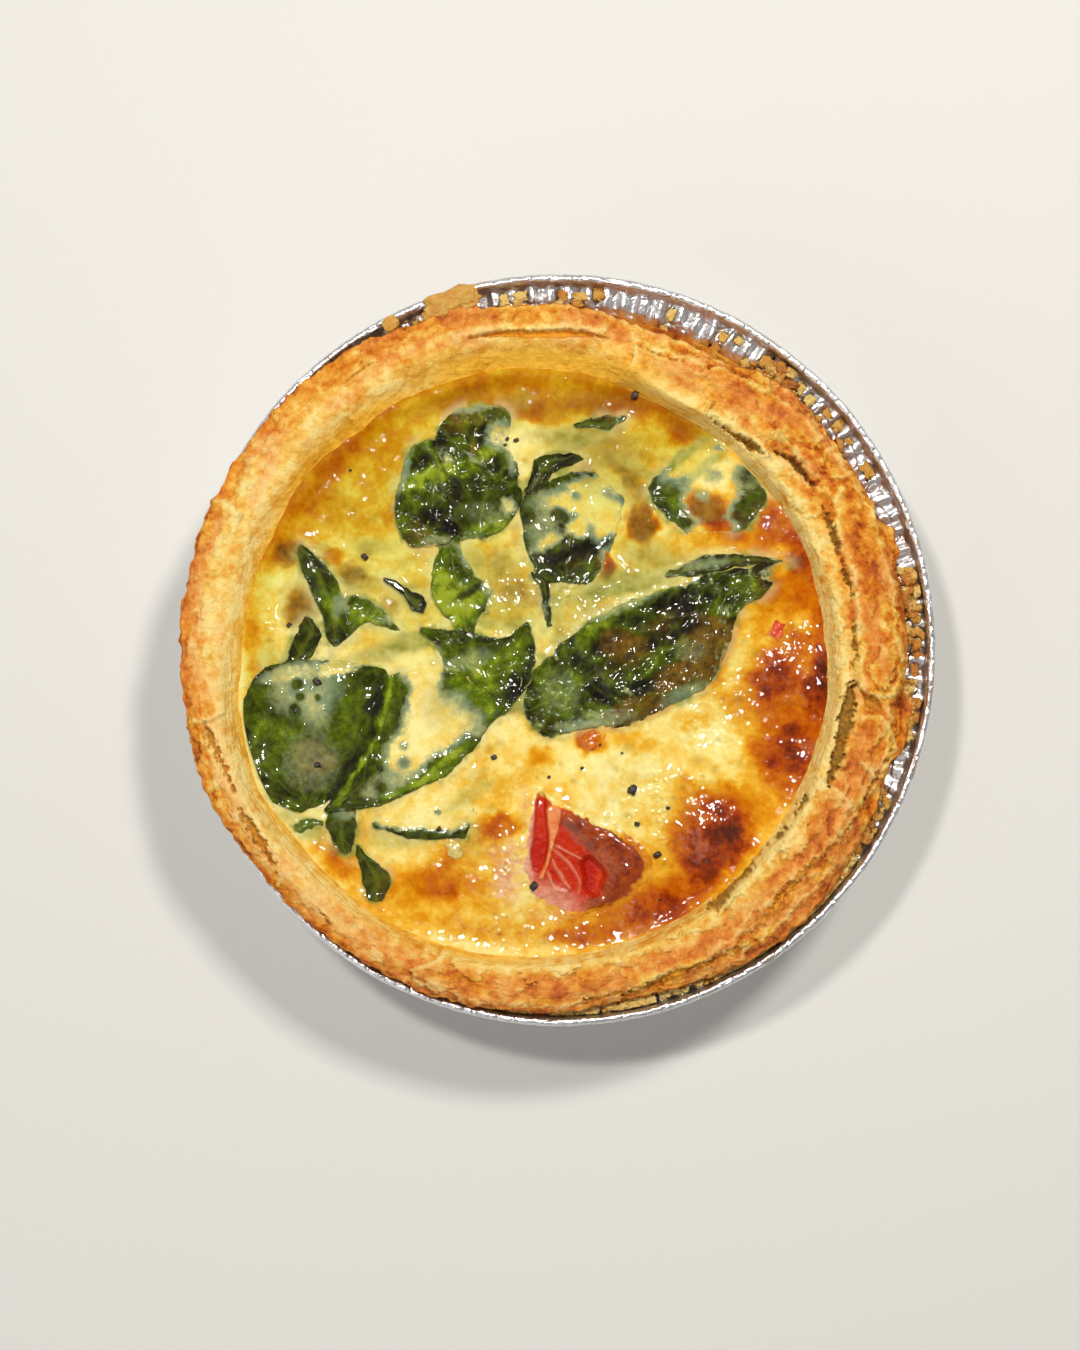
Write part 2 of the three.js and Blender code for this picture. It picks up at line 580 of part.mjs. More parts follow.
// Half a cherry tomato, cut face up: a fleshy wall, and seed hollows that thin ribs part.
function tomatoHalf(grow = 0) {
  const around = 24;
  const c = Math.cos(rad(TOMATO.heading));
  const s = Math.sin(rad(TOMATO.heading));
  const rimZ = custardTop(TOMATO.x, TOMATO.y) + TOMATO.proud;
  const ribs = [130, 250, 10];
  const place = (angle, share, z) => {
    const u = (TOMATO.length / 2 + grow) * share * Math.cos(rad(angle));
    const v = (TOMATO.width / 2 + grow) * share * Math.sin(rad(angle));
    return new THREE.Vector3(TOMATO.x + u * c - v * s, TOMATO.y + u * s + v * c, z);
  };
  const level = (count, share, height) =>
    Array.from({ length: count }, (_, j) => place((360 * j) / count, share, height((360 * j) / count)));
  const hollow = (angle) => Math.min(1, ...ribs.map((rib) => smooth(4, 26, apart(angle, rib))));
  const depths = [6.6, 4.4, 2];
  const belly = depths.map((depth) =>
    level(around, Math.sqrt(1 - (depth / TOMATO.sunk) ** 2) * 0.97, () => rimZ - depth - grow),
  );
  const face = [
    level(around, 1, () => rimZ - 0.5),
    level(around, 0.93, (angle) => rimZ + grow + 0.15 * Math.sin(rad(3 * angle))),
    level(around, 0.78, (angle) => rimZ + grow - 0.3 * hollow(angle)),
    level(around, 0.62, (angle) => rimZ + grow - 1.9 * hollow(angle)),
    level(around, 0.34, (angle) => rimZ + grow - 1.7 * hollow(angle)),
    level(around / 2, 0.14, () => rimZ + grow + 0.1),
  ];
  return skin([
    pole(TOMATO.x, TOMATO.y, rimZ - TOMATO.sunk - grow),
    ...belly,
    ...face,
    pole(TOMATO.x, TOMATO.y, rimZ + grow + 0.2),
  ]);
}

// Small chunks part sunk in the custard: x, y, length, width, heading, height above the custard.
const CHUNKS = {
  tomato_bit: [36.9, 3.3, 4.6, 3.2, 70, 0.5],
  browned_bit: [5.6, -15.6, 4.6, 4.2, 20, 0.8],
  onion_bit: [-18.2, -33.8, 4.4, 3, -50, 0.4],
};

function chunk([x, y, length, width, heading, proud], grow = 0) {
  const around = 12;
  const c = Math.cos(rad(heading));
  const s = Math.sin(rad(heading));
  const topZ = custardTop(x, y) + proud;
  const level = (share, z) =>
    Array.from({ length: around }, (_, j) => {
      const angle = (360 * j) / around;
      const lumpy = share * (1 + 0.1 * Math.sin(rad(2 * angle) + x));
      const u = (length / 2 + grow) * lumpy * Math.cos(rad(angle));
      const v = (width / 2 + grow) * lumpy * Math.sin(rad(angle));
      return new THREE.Vector3(x + u * c - v * s, y + u * s + v * c, z);
    });
  return skin([
    pole(x, y, topZ - 3 - grow),
    level(0.75, topZ - 2.5 - grow),
    level(1, topZ - 1.1),
    level(0.8, topZ - 0.25 + grow),
    pole(x, y, topZ + grow),
  ]);
}

// ---------------------------------------------------------------- the quiche

const COLOURS = {
  foil: 0xc9c9cc,
  crust: 0xd39648,
  custard: 0xe3bf62,
  leaf: 0x3d5a1e,
  tomato: 0xc2330f,
  browned: 0xc4660f,
  onion: 0xd8c27c,
};

const quiche = new THREE.Group();
quiche.name = "quiche";

const wholeCustard = custardFilling();
let custard = wholeCustard.subtract(tomatoHalf(GAP));
for (const piece of Object.values(CHUNKS)) custard = custard.subtract(chunk(piece, GAP));

quiche.add(meshOf("foil_tin", foilTin(), COLOURS.foil, 0.3, 1));
quiche.add(meshOf("pastry_crust", pastryCrust(), COLOURS.crust, 0.8));
quiche.add(meshOf("custard_filling", largest(custard), COLOURS.custard, 0.4));

const groundAt = topOf(wholeCustard);
const shadows = [];
for (const [name, ribs] of Object.entries(LEAVES)) {
  let blade = leafBlade(ribs, groundAt);
  for (const shadow of shadows) blade = blade.subtract(shadow);
  shadows.push(leafShadow(ribs));
  quiche.add(meshOf(`leaf_${name}`, largest(blade), COLOURS.leaf, 0.5));
}

quiche.add(meshOf("tomato_half", tomatoHalf(), COLOURS.tomato, 0.35));
quiche.add(meshOf("tomato_bit", chunk(CHUNKS.tomato_bit), COLOURS.tomato, 0.35));
quiche.add(meshOf("browned_bit", chunk(CHUNKS.browned_bit), COLOURS.browned, 0.5));
quiche.add(meshOf("onion_bit", chunk(CHUNKS.onion_bit), COLOURS.onion, 0.4));

export default quiche;
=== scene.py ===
"""A small quiche of spinach and tomato, baked in its fluted foil tin.

Everything is laid out in millimetres in the part's own frame, with the origin at the centre of the tin's
flat base and +Z up, and turned into metres when a mesh is made. The toppings are drawn on a plan (see Plan).
"""

from __future__ import annotations

import itertools
import logging
import math
from dataclasses import dataclass, field
from enum import Enum

import bpy
import numpy as np
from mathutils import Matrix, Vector

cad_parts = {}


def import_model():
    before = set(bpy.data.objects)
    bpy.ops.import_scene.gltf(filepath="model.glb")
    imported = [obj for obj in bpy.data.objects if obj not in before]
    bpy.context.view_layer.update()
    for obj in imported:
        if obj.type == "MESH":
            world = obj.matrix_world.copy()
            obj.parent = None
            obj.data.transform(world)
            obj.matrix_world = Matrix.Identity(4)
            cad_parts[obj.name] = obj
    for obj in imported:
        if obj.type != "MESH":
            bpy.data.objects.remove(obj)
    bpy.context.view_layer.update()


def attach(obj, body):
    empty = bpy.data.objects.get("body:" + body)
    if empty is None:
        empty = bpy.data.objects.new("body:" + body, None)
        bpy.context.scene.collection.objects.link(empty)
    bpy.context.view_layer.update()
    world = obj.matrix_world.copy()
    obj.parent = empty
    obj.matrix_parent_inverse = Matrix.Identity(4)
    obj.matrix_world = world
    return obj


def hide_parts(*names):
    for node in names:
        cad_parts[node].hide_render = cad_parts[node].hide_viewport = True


Array = np.ndarray
Colour = tuple[float, float, float]
Socket = bpy.types.NodeSocket

LOG = logging.getLogger("quiche")
MM = 0.001
RIM_MIDDLE = 55.0  # mm from the axis to the middle of the crust's rim


# ---------------------------------------------------------------------------- arithmetic


def smooth(low: float | Array, high: float | Array, value: float | Array) -> Array:
    """A soft step from 0 at low to 1 at high."""
    t = np.clip((value - low) / (high - low), 0.0, 1.0)
    return t * t * (3.0 - 2.0 * t)


def lerp(a: float | Array, b: float | Array, t: float | Array) -> Array:
    """The value a share t of the way from a to b."""
    return a + (b - a) * t


def apart(a: float | Array, b: float | Array) -> Array:
    """The angle between two directions in degrees, from 0 to 180."""
    return np.abs((a - b + 540.0) % 360.0 - 180.0)


def signed_apart(a: float | Array, b: float | Array) -> Array:
    """The turn from direction b to direction a in degrees, from -180 to 180."""
    return (a - b + 540.0) % 360.0 - 180.0


def over(angle: Array, start: float, end: float, fade: float) -> Array:
    """1 over an arc of angles from start to end, and 0 beyond its soft ends."""
    half = (end - start) / 2.0
    return 1.0 - smooth(half - fade, half + fade, apart(angle, start + half))


def ripple(angle: Array, phase: float) -> Array:
    """Slow waviness round the pie, between about -1 and 1.

    Args:
        angle: degrees round the pie.
        phase: which of its patterns to take.

    Returns:
        The waviness at each angle.
    """
    a = np.radians(angle)
    return (
        0.45 * np.sin(3 * a + phase)
        + 0.3 * np.sin(7 * a + 2.1 * phase)
        + 0.25 * np.sin(16 * a + 3.7 * phase)
    )


def reach(angle: Array, cx: float, cy: float, radius: float) -> Array:
    """How far a circle with its centre off the axis reaches in one direction."""
    c, s = np.cos(np.radians(angle)), np.sin(np.radians(angle))
    return cx * c + cy * s + np.sqrt(radius**2 - (cx * s - cy * c) ** 2)


def polar(far: float, turn: float) -> tuple[float, float]:
    """A place so far from the axis, at an angle in degrees."""
    return far * math.cos(math.radians(turn)), far * math.sin(math.radians(turn))


def turned(points: Array, turn: float) -> Array:
    """Points turned about the axis by an angle in degrees.

    Args:
        points: the points, one a row.
        turn: the angle.

    Returns:
        The turned points.
    """
    c, s = math.cos(math.radians(turn)), math.sin(math.radians(turn))
    x, y, z = points.T
    return np.column_stack([x * c - y * s, x * s + y * c, z])


def through(points: Array, t: Array) -> Array:
    """A smooth curve through points.

    Args:
        points: the points, one a row.
        t: places along the curve, from 0 to 1.

    Returns:
        The curve's points, one for each t.
    """
    n = len(points) - 1
    padded = np.vstack([2 * points[0] - points[1], points, 2 * points[-1] - points[-2]])
    at = np.clip(np.asarray(t) * n, 0, n - 1e-9)
    k = at.astype(int)
    f = (at - k)[:, None]
    p0, p1, p2, p3 = (padded[k + i] for i in range(4))
    return 0.5 * (
        2 * p1
        + (p2 - p0) * f
        + (2 * p0 - 5 * p1 + 4 * p2 - p3) * f**2
        + (3 * p1 - p0 - 3 * p2 + p3) * f**3
    )


class Noise:
    """Smooth seeded noise in space, between about -1 and 1."""

    def __init__(self, seed: int) -> None:
        """Draws the noise's directions from a seed.

        Args:
            seed: the seed.
        """
        rng = np.random.default_rng(seed)
        self.order = np.tile(rng.permutation(256), 3)
        slopes = rng.normal(size=(256, 3))
        self.slopes = slopes / np.linalg.norm(slopes, axis=1)[:, None]

    def at(self, x: Array, y: Array, z: float | Array = 0.0) -> Array:
        """One octave of noise, with features about one unit wide.

        Args:
            x: the places' x.
            y: the places' y.
            z: the places' z.

        Returns:
            The noise at each place, on both sides of 0.
        """
        x, y, z = np.broadcast_arrays(x, y, z)
        cell = [np.floor(v).astype(int) for v in (x, y, z)]
        part = [v - c for v, c in zip((x, y, z), cell)]
        fade = [p**3 * (p * (p * 6 - 15) + 10) for p in part]
        total = np.zeros(x.shape)
        for corner in itertools.product((0, 1), repeat=3):
            key = self.order[(cell[0] + corner[0]) & 255]
            key = self.order[(key + cell[1] + corner[1]) & 255]
            key = self.order[(key + cell[2] + corner[2]) & 255]
            slope = self.slopes[key]
            weight = np.ones(x.shape)
            dot = np.zeros(x.shape)
            for axis, c in enumerate(corner):
                weight = weight * (fade[axis] if c else 1 - fade[axis])
                dot = dot + slope[..., axis] * (part[axis] - c)
            total += weight * dot
        return total * 1.7

    def rough(self, x: Array, y: Array, z: float | Array = 0.0, octaves: int = 4, gain: float = 0.5) -> Array:
        """Several octaves of noise, each half as wide as the last.

        Args:
            x: the places' x.
            y: the places' y.
            z: the places' z.
            octaves: how many octaves.
            gain: how strong each is beside the last.

        Returns:
            The noise at each place, on both sides of 0.
        """
        total, size, share = np.zeros(np.broadcast(x, y, z).shape), 1.0, 1.0
        for octave in range(octaves):
            total += share * self.at(x * size + 7.3 * octave, y * size - 3.1 * octave, z * size)
            size, share = size * 2.03, share * gain
        return total

    def ridged(self, x: Array, y: Array, z: float | Array = 0.0, octaves: int = 3) -> Array:
        """Noise with sharp crests, from about 0 to 1.

        Args:
            x: the places' x.
            y: the places' y.
            z: the places' z.
            octaves: how many octaves.

        Returns:
            The noise at each place.
        """
        total, size, share, most = np.zeros(np.broadcast(x, y, z).shape), 1.0, 1.0, 0.0
        for octave in range(octaves):
            total += share * (1 - np.abs(self.at(x * size + 5.7 * octave, y * size, z * size)))
            most += share
            size, share = size * 2.1, share * 0.5
        return np.clip(total / most * 1.6 - 0.6, 0, 1)


# ---------------------------------------------------------------------------- the plan


@dataclass(frozen=True)
class Plan:
    """The drawing on which the toppings are laid out: y runs down it, and the tin's axis is at x, y."""

    unit: float = 0.1689
    x: float = 560.0
    y: float = 650.0

    def to_mm(self, px: Array, py: Array) -> tuple[Array, Array]:
        """Millimetres in the part's frame of a place on the plan."""
        return (np.asarray(px, float) - self.x) * self.unit, (self.y - np.asarray(py, float)) * self.unit

    def from_mm(self, x: Array, y: Array) -> tuple[Array, Array]:
        """The place on the plan of millimetres in the part's frame."""
        return x / self.unit + self.x, self.y - y / self.unit


PLAN = Plan()


@dataclass(frozen=True)
class Blot:
    """A soft-edged oval on the plan: its middle, half sizes, turn in degrees, strength and edge softness."""

    x: float
    y: float
    across: float
    down: float
    turn: float
    strength: float
    soft: float

    def shade(self, px: Array, py: Array) -> Array:
        """Its strength at places on the plan.

        Args:
            px: how far across the plan the places are.
            py: how far down the plan they are.

        Returns:
            The strength at each place.
        """
        c, s = math.cos(math.radians(self.turn)), math.sin(math.radians(self.turn))
        dx, dy = px - self.x, py - self.y
        u, v = (dx * c - dy * s) / self.across, (dx * s + dy * c) / self.down
        return self.strength * (1 - smooth(1 - self.soft, 1 + self.soft, np.hypot(u, v)))


@dataclass(frozen=True)
class Stain:
    """A named set of blots, with edges that wander."""

    blots: tuple[Blot, ...]
    seed: int
    wander: float = 3.0
    wander_size: float = 14.0

    def at(self, x: Array, y: Array) -> Array:
        """How strong the stain is at places in mm, from 0 to 1.

        Args:
            x: the places' x.
            y: the places' y.

        Returns:
            The strength at each place.
        """
        px, py = PLAN.from_mm(x, y)
        noise = Noise(self.seed)
        sx, sy = px / self.wander_size, py / self.wander_size
        px = px + self.wander * noise.rough(sx, sy, 0.0, 3)
        py = py + self.wander * noise.rough(sx, sy, 9.0, 3)
        clear = np.ones(px.shape)
        for blot in self.blots:
            clear = clear * (1 - blot.shade(px, py))
        return 1 - clear


def blots(*rows: tuple[float, ...], soft: float = 0.35) -> tuple[Blot, ...]:
    """Blots from rows of their values, which may stop before the turn, the strength or the softness.

    Args:
        rows: one blot's values each, in Blot's own order.
        soft: the softness of rows that don't state theirs.

    Returns:
        The blots.
    """
    rest = (0.0, 1.0, soft)
    return tuple(Blot(*row, *rest[len(row) - 4:]) for row in rows)


@dataclass(frozen=True)
class Stroke:
    """A line that widens and narrows: places as x, y and half width."""

    places: tuple[tuple[float, float, float], ...]

    def outside(self, x: Array, y: Array) -> Array:
        """How far places lie outside the line, less than 0 within it.

        Args:
            x: the places' x.
            y: the places' y.

        Returns:
            The distance at each place.
        """
        best = np.full(np.shape(x), 1e9)
        for (x0, y0, w0), (x1, y1, w1) in itertools.pairwise(self.places):
            dx, dy = x1 - x0, y1 - y0
            share = np.clip(((x - x0) * dx + (y - y0) * dy) / (dx * dx + dy * dy), 0, 1)
            best = np.minimum(best, np.hypot(x - x0 - share * dx, y - y0 - share * dy) - lerp(w0, w1, share))
        return best

    def shade(self, x: Array, y: Array, soft: float = 2.0) -> Array:
        """1 within the line, and 0 beyond its soft edge."""
        return 1 - smooth(-0.5 * soft, soft, self.outside(x, y))


# ---------------------------------------------------------------------------- meshes


@dataclass
class Skin:
    """A mesh in the making: points in mm, faces, and values painted on its points."""

    name: str
    points: Array
    faces: list[Array]
    paint: dict[str, Array] = field(default_factory=dict)

    def build(self, finish: bpy.types.Material, slot: str, nodes: tuple[str, ...] = ()) -> bpy.types.Object:
        """Makes the object, paints it, and gives it to the part.

        Args:
            finish: its material.
            slot: not used.
            nodes: the solids that it stands for.

        Returns:
            The object.
        """
        mesh = bpy.data.meshes.new(self.name)
        loops = np.concatenate([f.reshape(-1) for f in self.faces]).astype(np.int32)
        counts = np.concatenate([np.full(len(f), f.shape[1]) for f in self.faces])
        starts = np.concatenate([[0], np.cumsum(counts)[:-1]]).astype(np.int32)
        mesh.vertices.add(len(self.points))
        mesh.vertices.foreach_set("co", (self.points * MM).astype(np.float32).ravel())
        mesh.loops.add(len(loops))
        mesh.loops.foreach_set("vertex_index", loops)
        mesh.polygons.add(len(counts))
        mesh.polygons.foreach_set("loop_start", starts)
        mesh.update(calc_edges=True)
        mesh.validate()
        mesh.polygons.foreach_set("use_smooth", np.ones(len(mesh.polygons), bool))
        for name, values in self.paint.items():
            kind = "FLOAT" if values.ndim == 1 else "FLOAT_VECTOR"
            layer = mesh.attributes.new(name, kind, "POINT")
            key = "value" if values.ndim == 1 else "vector"
            layer.data.foreach_set(key, values.astype(np.float32).ravel())
        mesh.materials.append(finish)
        piece = bpy.data.objects.new(self.name, mesh)
        bpy.context.scene.collection.objects.link(piece)
        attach(piece, "root")
        if nodes:
            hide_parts(*nodes)
        LOG.info("%s: %d points, stands for %s", self.name, len(self.points), nodes or "nothing")
        return piece


def grid_faces(rows: int, columns: int, closed: bool, first: int = 0) -> Array:
    """Four-sided faces between rows of points.

    Args:
        rows: how many rows.
        columns: points in a row.
        closed: whether each row runs round to its start.
        first: the number of the first point.

    Returns:
        Point numbers, four for each face, with their front side up where rows run inwards to outwards.
    """
    number = np.arange(rows * columns).reshape(rows, columns) + first
    if closed:
        number = np.hstack([number, number[:, :1]])
    a, b, c, d = number[:-1, :-1], number[1:, :-1], number[1:, 1:], number[:-1, 1:]
    return np.stack([a, b, c, d], axis=-1).reshape(-1, 4)


def tube_faces(rows: int, columns: int) -> list[Array]:
    """Faces of a closed skin of round rows, with a pole beyond its first row and one beyond its last.

    Args:
        rows: how many rows.
        columns: points in a row.

    Returns:
        The faces between the rows, and a fan for each pole; the poles' numbers follow the other points'.
    """
    ring = np.arange(columns)
    after = (ring + 1) % columns
    last, count = (rows - 1) * columns, rows * columns
    low = np.stack([np.full(columns, count), ring, after], axis=-1)
    high = np.stack([last + ring, np.full(columns, count + 1), last + after], axis=-1)
    return [grid_faces(rows, columns, True), low, high]


def border(rows: int, columns: int) -> Array:
    """The numbers of a grid's outer points, in order round it."""
    number = np.arange(rows * columns).reshape(rows, columns)
    return np.concatenate([number[0, :-1], number[:-1, -1], number[-1, :0:-1], number[:0:-1, 0]])


def round_skin(name: str, radius: Array, height: Array, angle: Array, paint: dict[str, Array]) -> Skin:
    """A closed skin turned round the axis, from a pole at its first row to a pole at its last.

    Args:
        name: the piece's name.
        radius: mm, one row for each ring.
        height: mm, the same.
        angle: degrees, one for each column.
        paint: values by name, shaped as radius.

    Returns:
        The skin.
    """
    rows, columns = radius.shape
    x, y = radius * np.cos(np.radians(angle)), radius * np.sin(np.radians(angle))
    points = np.stack([x, y, height], axis=-1).reshape(-1, 3)
    ends = np.array([[0, 0, height[0].mean()], [0, 0, height[-1].mean()]])
    skin = Skin(name, np.vstack([points, ends]), tube_faces(rows, columns))
    for key, values in paint.items():
        flat = np.broadcast_to(values, radius.shape).reshape(-1)
        skin.paint[key] = np.concatenate([flat, [flat[0], flat[-1]]])
    return skin


class Relief:
    """A height map over the plan, onto which pieces are stamped so that others can lie on them."""

    HALF = 54.0
    STEP = 0.2

    def __init__(self) -> None:
        """Starts an empty map."""
        self.count = int(2 * self.HALF / self.STEP) + 1
        self.axis = np.linspace(-self.HALF, self.HALF, self.count)
        self.x, self.y = np.meshgrid(self.axis, self.axis)

    @staticmethod
    def dense(values: Array) -> Array:
        """A lattice with three new points between each two.

        Args:
            values: the lattice.

        Returns:
            The denser lattice.
        """
        for _ in range(2):
            for axis in (0, 1):
                first, then = (np.take(values, range(k, values.shape[axis] - 1 + k), axis) for k in (0, 1))
                woven = np.stack([first, (first + then) / 2], axis=axis + 1)
                woven = woven.reshape([n * (2 if k == axis else 1) for k, n in enumerate(first.shape)])
                values = np.concatenate([woven, np.take(values, [-1], axis)], axis=axis)
        return values

    def cells(self, x: Array, y: Array) -> tuple[Array, Array]:
        """The rows and columns of the cells at places in mm."""
        return tuple(np.rint((v + self.HALF) / self.STEP).astype(int).ravel() for v in (y, x))

    def stamp(self, field_: Array, x: Array, y: Array, z: Array) -> None:
        """Raises a map to z at the places of a lattice in mm, and leaves it where it is higher."""
        np.maximum.at(field_, self.cells(self.dense(x), self.dense(y)), self.dense(z).ravel())

    def sample(self, field_: Array, x: Array, y: Array) -> Array:
        """A map's value at places in mm, between its cells.

        Args:
            field_: the map.
            x: the places' x.
            y: the places' y.

        Returns:
            The map's value at each place.
        """
        u = np.clip((x + self.HALF) / self.STEP, 0, self.count - 1.001)
        v = np.clip((y + self.HALF) / self.STEP, 0, self.count - 1.001)
        j, i = u.astype(int), v.astype(int)
        fu, fv = u - j, v - i
        top = field_[i, j] * (1 - fu) + field_[i, j + 1] * fu
        low = field_[i + 1, j] * (1 - fu) + field_[i + 1, j + 1] * fu
        return top * (1 - fv) + low * fv

    def blur(self, field_: Array, size: float) -> Array:
        """A map softened over a size in mm.

        Args:
            field_: the map.
            size: the size.

        Returns:
            The softened map.
        """
        freq = np.fft.fftfreq(self.count, self.STEP)
        keep = np.exp(-2 * (np.pi * size) ** 2 * (freq[:, None] ** 2 + freq[None, :] ** 2))
        return np.real(np.fft.ifft2(np.fft.fft2(field_) * keep))


# ---------------------------------------------------------------------------- shader helpers


def tint(red: float, green: float, blue: float) -> tuple[float, float, float, float]:
    """A colour for a shader from everyday values of 0 to 255."""
    linear = [((v / 255 + 0.055) / 1.055) ** 2.4 if v > 10 else v / 255 / 12.92 for v in (red, green, blue)]
    return (*linear, 1.0)


@dataclass(frozen=True)
class Value:
    """A number that a material works out at each place, for use in sums."""

    shader: Shader
    socket: Socket

    def __add__(self, other: Value | float) -> Value:
        """The sum of the two."""
        return self.shader.math("ADD", self, other)

    def __sub__(self, other: Value | float) -> Value:
        """This less the other."""
        return self.shader.math("SUBTRACT", self, other)

    def __rsub__(self, other: float) -> Value:
        """The other less this."""
        return self.shader.math("SUBTRACT", other, self)

    def __mul__(self, other: Value | float) -> Value:
        """The product of the two."""
        return self.shader.math("MULTIPLY", self, other)


class Shader:
    """A material in the making, with short calls for the nodes that the finishes share."""

    def __init__(self, name: str) -> None:
        """Starts an empty material whose surface is one glossy-or-dull layer.

        Args:
            name: the material's name.
        """
        self.material = bpy.data.materials.new(name)
        self.material.use_nodes = True
        self.tree = self.material.node_tree
        self.tree.nodes.clear()
        out = self.tree.nodes.new("ShaderNodeOutputMaterial")
        self.surface = self.tree.nodes.new("ShaderNodeBsdfPrincipled")
        self.tree.links.new(self.surface.outputs[0], out.inputs["Surface"])
        self.place = self.add("ShaderNodeTexCoord").outputs["Object"]

    def add(
        self, kind: str, inputs: dict[str | int, object] | None = None, **settings: object
    ) -> bpy.types.Node:
        """Adds a node, sets it up, and joins or sets its inputs.

        Args:
            kind: the node's type.
            inputs: what its inputs are joined or set to, by name or number.
            settings: the node's own settings.

        Returns:
            The node.
        """
        node = self.tree.nodes.new(kind)
        for key, value in settings.items():
            setattr(node, key, value)
        for key, value in (inputs or {}).items():
            self.feed(node.inputs[key], value)
        return node

    def feed(self, socket: Socket, value: object) -> None:
        """Joins an input to another node, or sets it.

        Args:
            socket: the input.
            value: a node's output, or a plain value.
        """
        if isinstance(value, Value):
            value = value.socket
        if isinstance(value, Socket):
            self.tree.links.new(value, socket)
        else:
            socket.default_value = value

    def set(self, **inputs: object) -> None:
        """Sets or joins the surface's own sockets, named with underscores for spaces."""
        for key, value in inputs.items():
            self.feed(self.surface.inputs[key.replace("_", " ")], value)

    def value(
        self, kind: str, output: str | int, inputs: dict[str | int, object], **settings: object
    ) -> Value:
        """The number that a new node gives."""
        return Value(self, self.add(kind, inputs, **settings).outputs[output])

    def painted(self, name: str) -> Value:
        """A value painted on the mesh."""
        return self.value("ShaderNodeAttribute", "Fac", {}, attribute_name=name)

    def upright(self) -> Value:
        """How far up the surface faces: 1 where it lies level and 0 on a wall."""
        normal = self.add("ShaderNodeNewGeometry").outputs["True Normal"]
        return self.math("ABSOLUTE", self.value("ShaderNodeSeparateXYZ", "Z", {"Vector": normal}))

    def noise(
        self, width: float, detail: float = 3.0, rough: float = 0.55, place: Socket | None = None
    ) -> Value:
        """Noise whose lumps are about width mm wide, from 0 to 1.

        Args:
            width: how wide the lumps are.
            detail: how many finer octaves it has.
            rough: how strong these are.
            place: where it is read, unless that is the object's own space.

        Returns:
            The noise.
        """
        inputs = {"Vector": place or self.place, "Scale": 1 / (width * MM)}
        inputs |= {"Detail": detail, "Roughness": rough}
        return self.value("ShaderNodeTexNoise", "Fac", inputs)

    def cells(self, width: float, feature: str = "F1") -> Value:
        """The distance from the middle of cells about width mm wide."""
        inputs = {"Vector": self.place, "Scale": 1 / (width * MM)}
        return self.value("ShaderNodeTexVoronoi", "Distance", inputs, feature=feature)

    def math(self, operation: str, a: object, b: object = 0.0, clamp: bool = False) -> Value:
        """Arithmetic on two numbers, its result kept within 0 and 1 where clamp is set."""
        return self.value("ShaderNodeMath", 0, {0: a, 1: b}, operation=operation, use_clamp=clamp)

    def ease(self, value: Value, low: float, high: float) -> Value:
        """A soft step from 0 at low to 1 at high."""
        inputs = {"Value": value, "From Min": low, "From Max": high}
        return self.value("ShaderNodeMapRange", "Result", inputs, interpolation_type="SMOOTHSTEP")

    def ramp(self, value: Value, *stops: tuple[float, tuple[float, float, float, float]]) -> Socket:
        """A colour chosen by a value from stops of place and colour.

        Args:
            value: the value that chooses.
            stops: each stop's place and colour.

        Returns:
            The colour.
        """
        node = self.add("ShaderNodeValToRGB", {"Fac": value})
        elements = node.color_ramp.elements
        while len(elements) < len(stops):
            elements.new(0.5)
        for element, (place, colour) in zip(elements, stops):
            element.position, element.color = place, colour
        return node.outputs["Color"]

    def mix(self, share: object, a: object, b: object, blend: str = "MIX") -> Socket:
        """One colour over another.

        Args:
            share: how much of the second colour there is.
            a: the first colour.
            b: the second colour.
            blend: how the second is laid over the first.

        Returns:
            The mixed colour.
        """
        node = self.add("ShaderNodeMix", data_type="RGBA", blend_type=blend)
        for index, value in ((0, share), (6, a), (7, b)):
            self.feed(node.inputs[index], value)
        return node.outputs[2]

    def bump(self, height: Value, depth: float, strength: Value | float = 1.0) -> Socket:
        """A normal from a height, with its full depth in mm."""
        inputs: dict[str | int, object] = {"Height": height, "Distance": depth * MM, "Strength": strength}
        return self.add("ShaderNodeBump", inputs).outputs["Normal"]


# ---------------------------------------------------------------------------- finishes


@dataclass(frozen=True)
class FoilFinish:
    """Bright pressed aluminium foil, finely wrinkled, with baked-on butter in places."""

    roughness: float = 0.32
    wrinkle: float = 0.2

    def build(self) -> bpy.types.Material:
        """Makes the material.

        Returns:
            The material.
        """
        s = Shader("foil")
        coarse, fine = s.noise(3.4, 3), s.noise(0.9, 3)
        creases = s.cells(3.5, "DISTANCE_TO_EDGE")
        height = coarse + fine * 0.35
        height = height + s.ease(creases, 0.0, 0.12) * 0.25 * s.painted("crumpled")
        butter = s.ease(s.noise(7.0, 4), 0.54, 0.72)
        s.set(
            Base_Color=s.mix(butter * s.painted("butter"), tint(238, 238, 240), tint(206, 160, 92)),
            Metallic=1.0,
            Roughness=s.noise(2.0, 3) * 0.16 + (self.roughness - 0.06),
            Normal=s.bump(height, self.wrinkle * 2.2, s.painted("crumpled") * 0.5 + 0.5),
        )
        return s.material


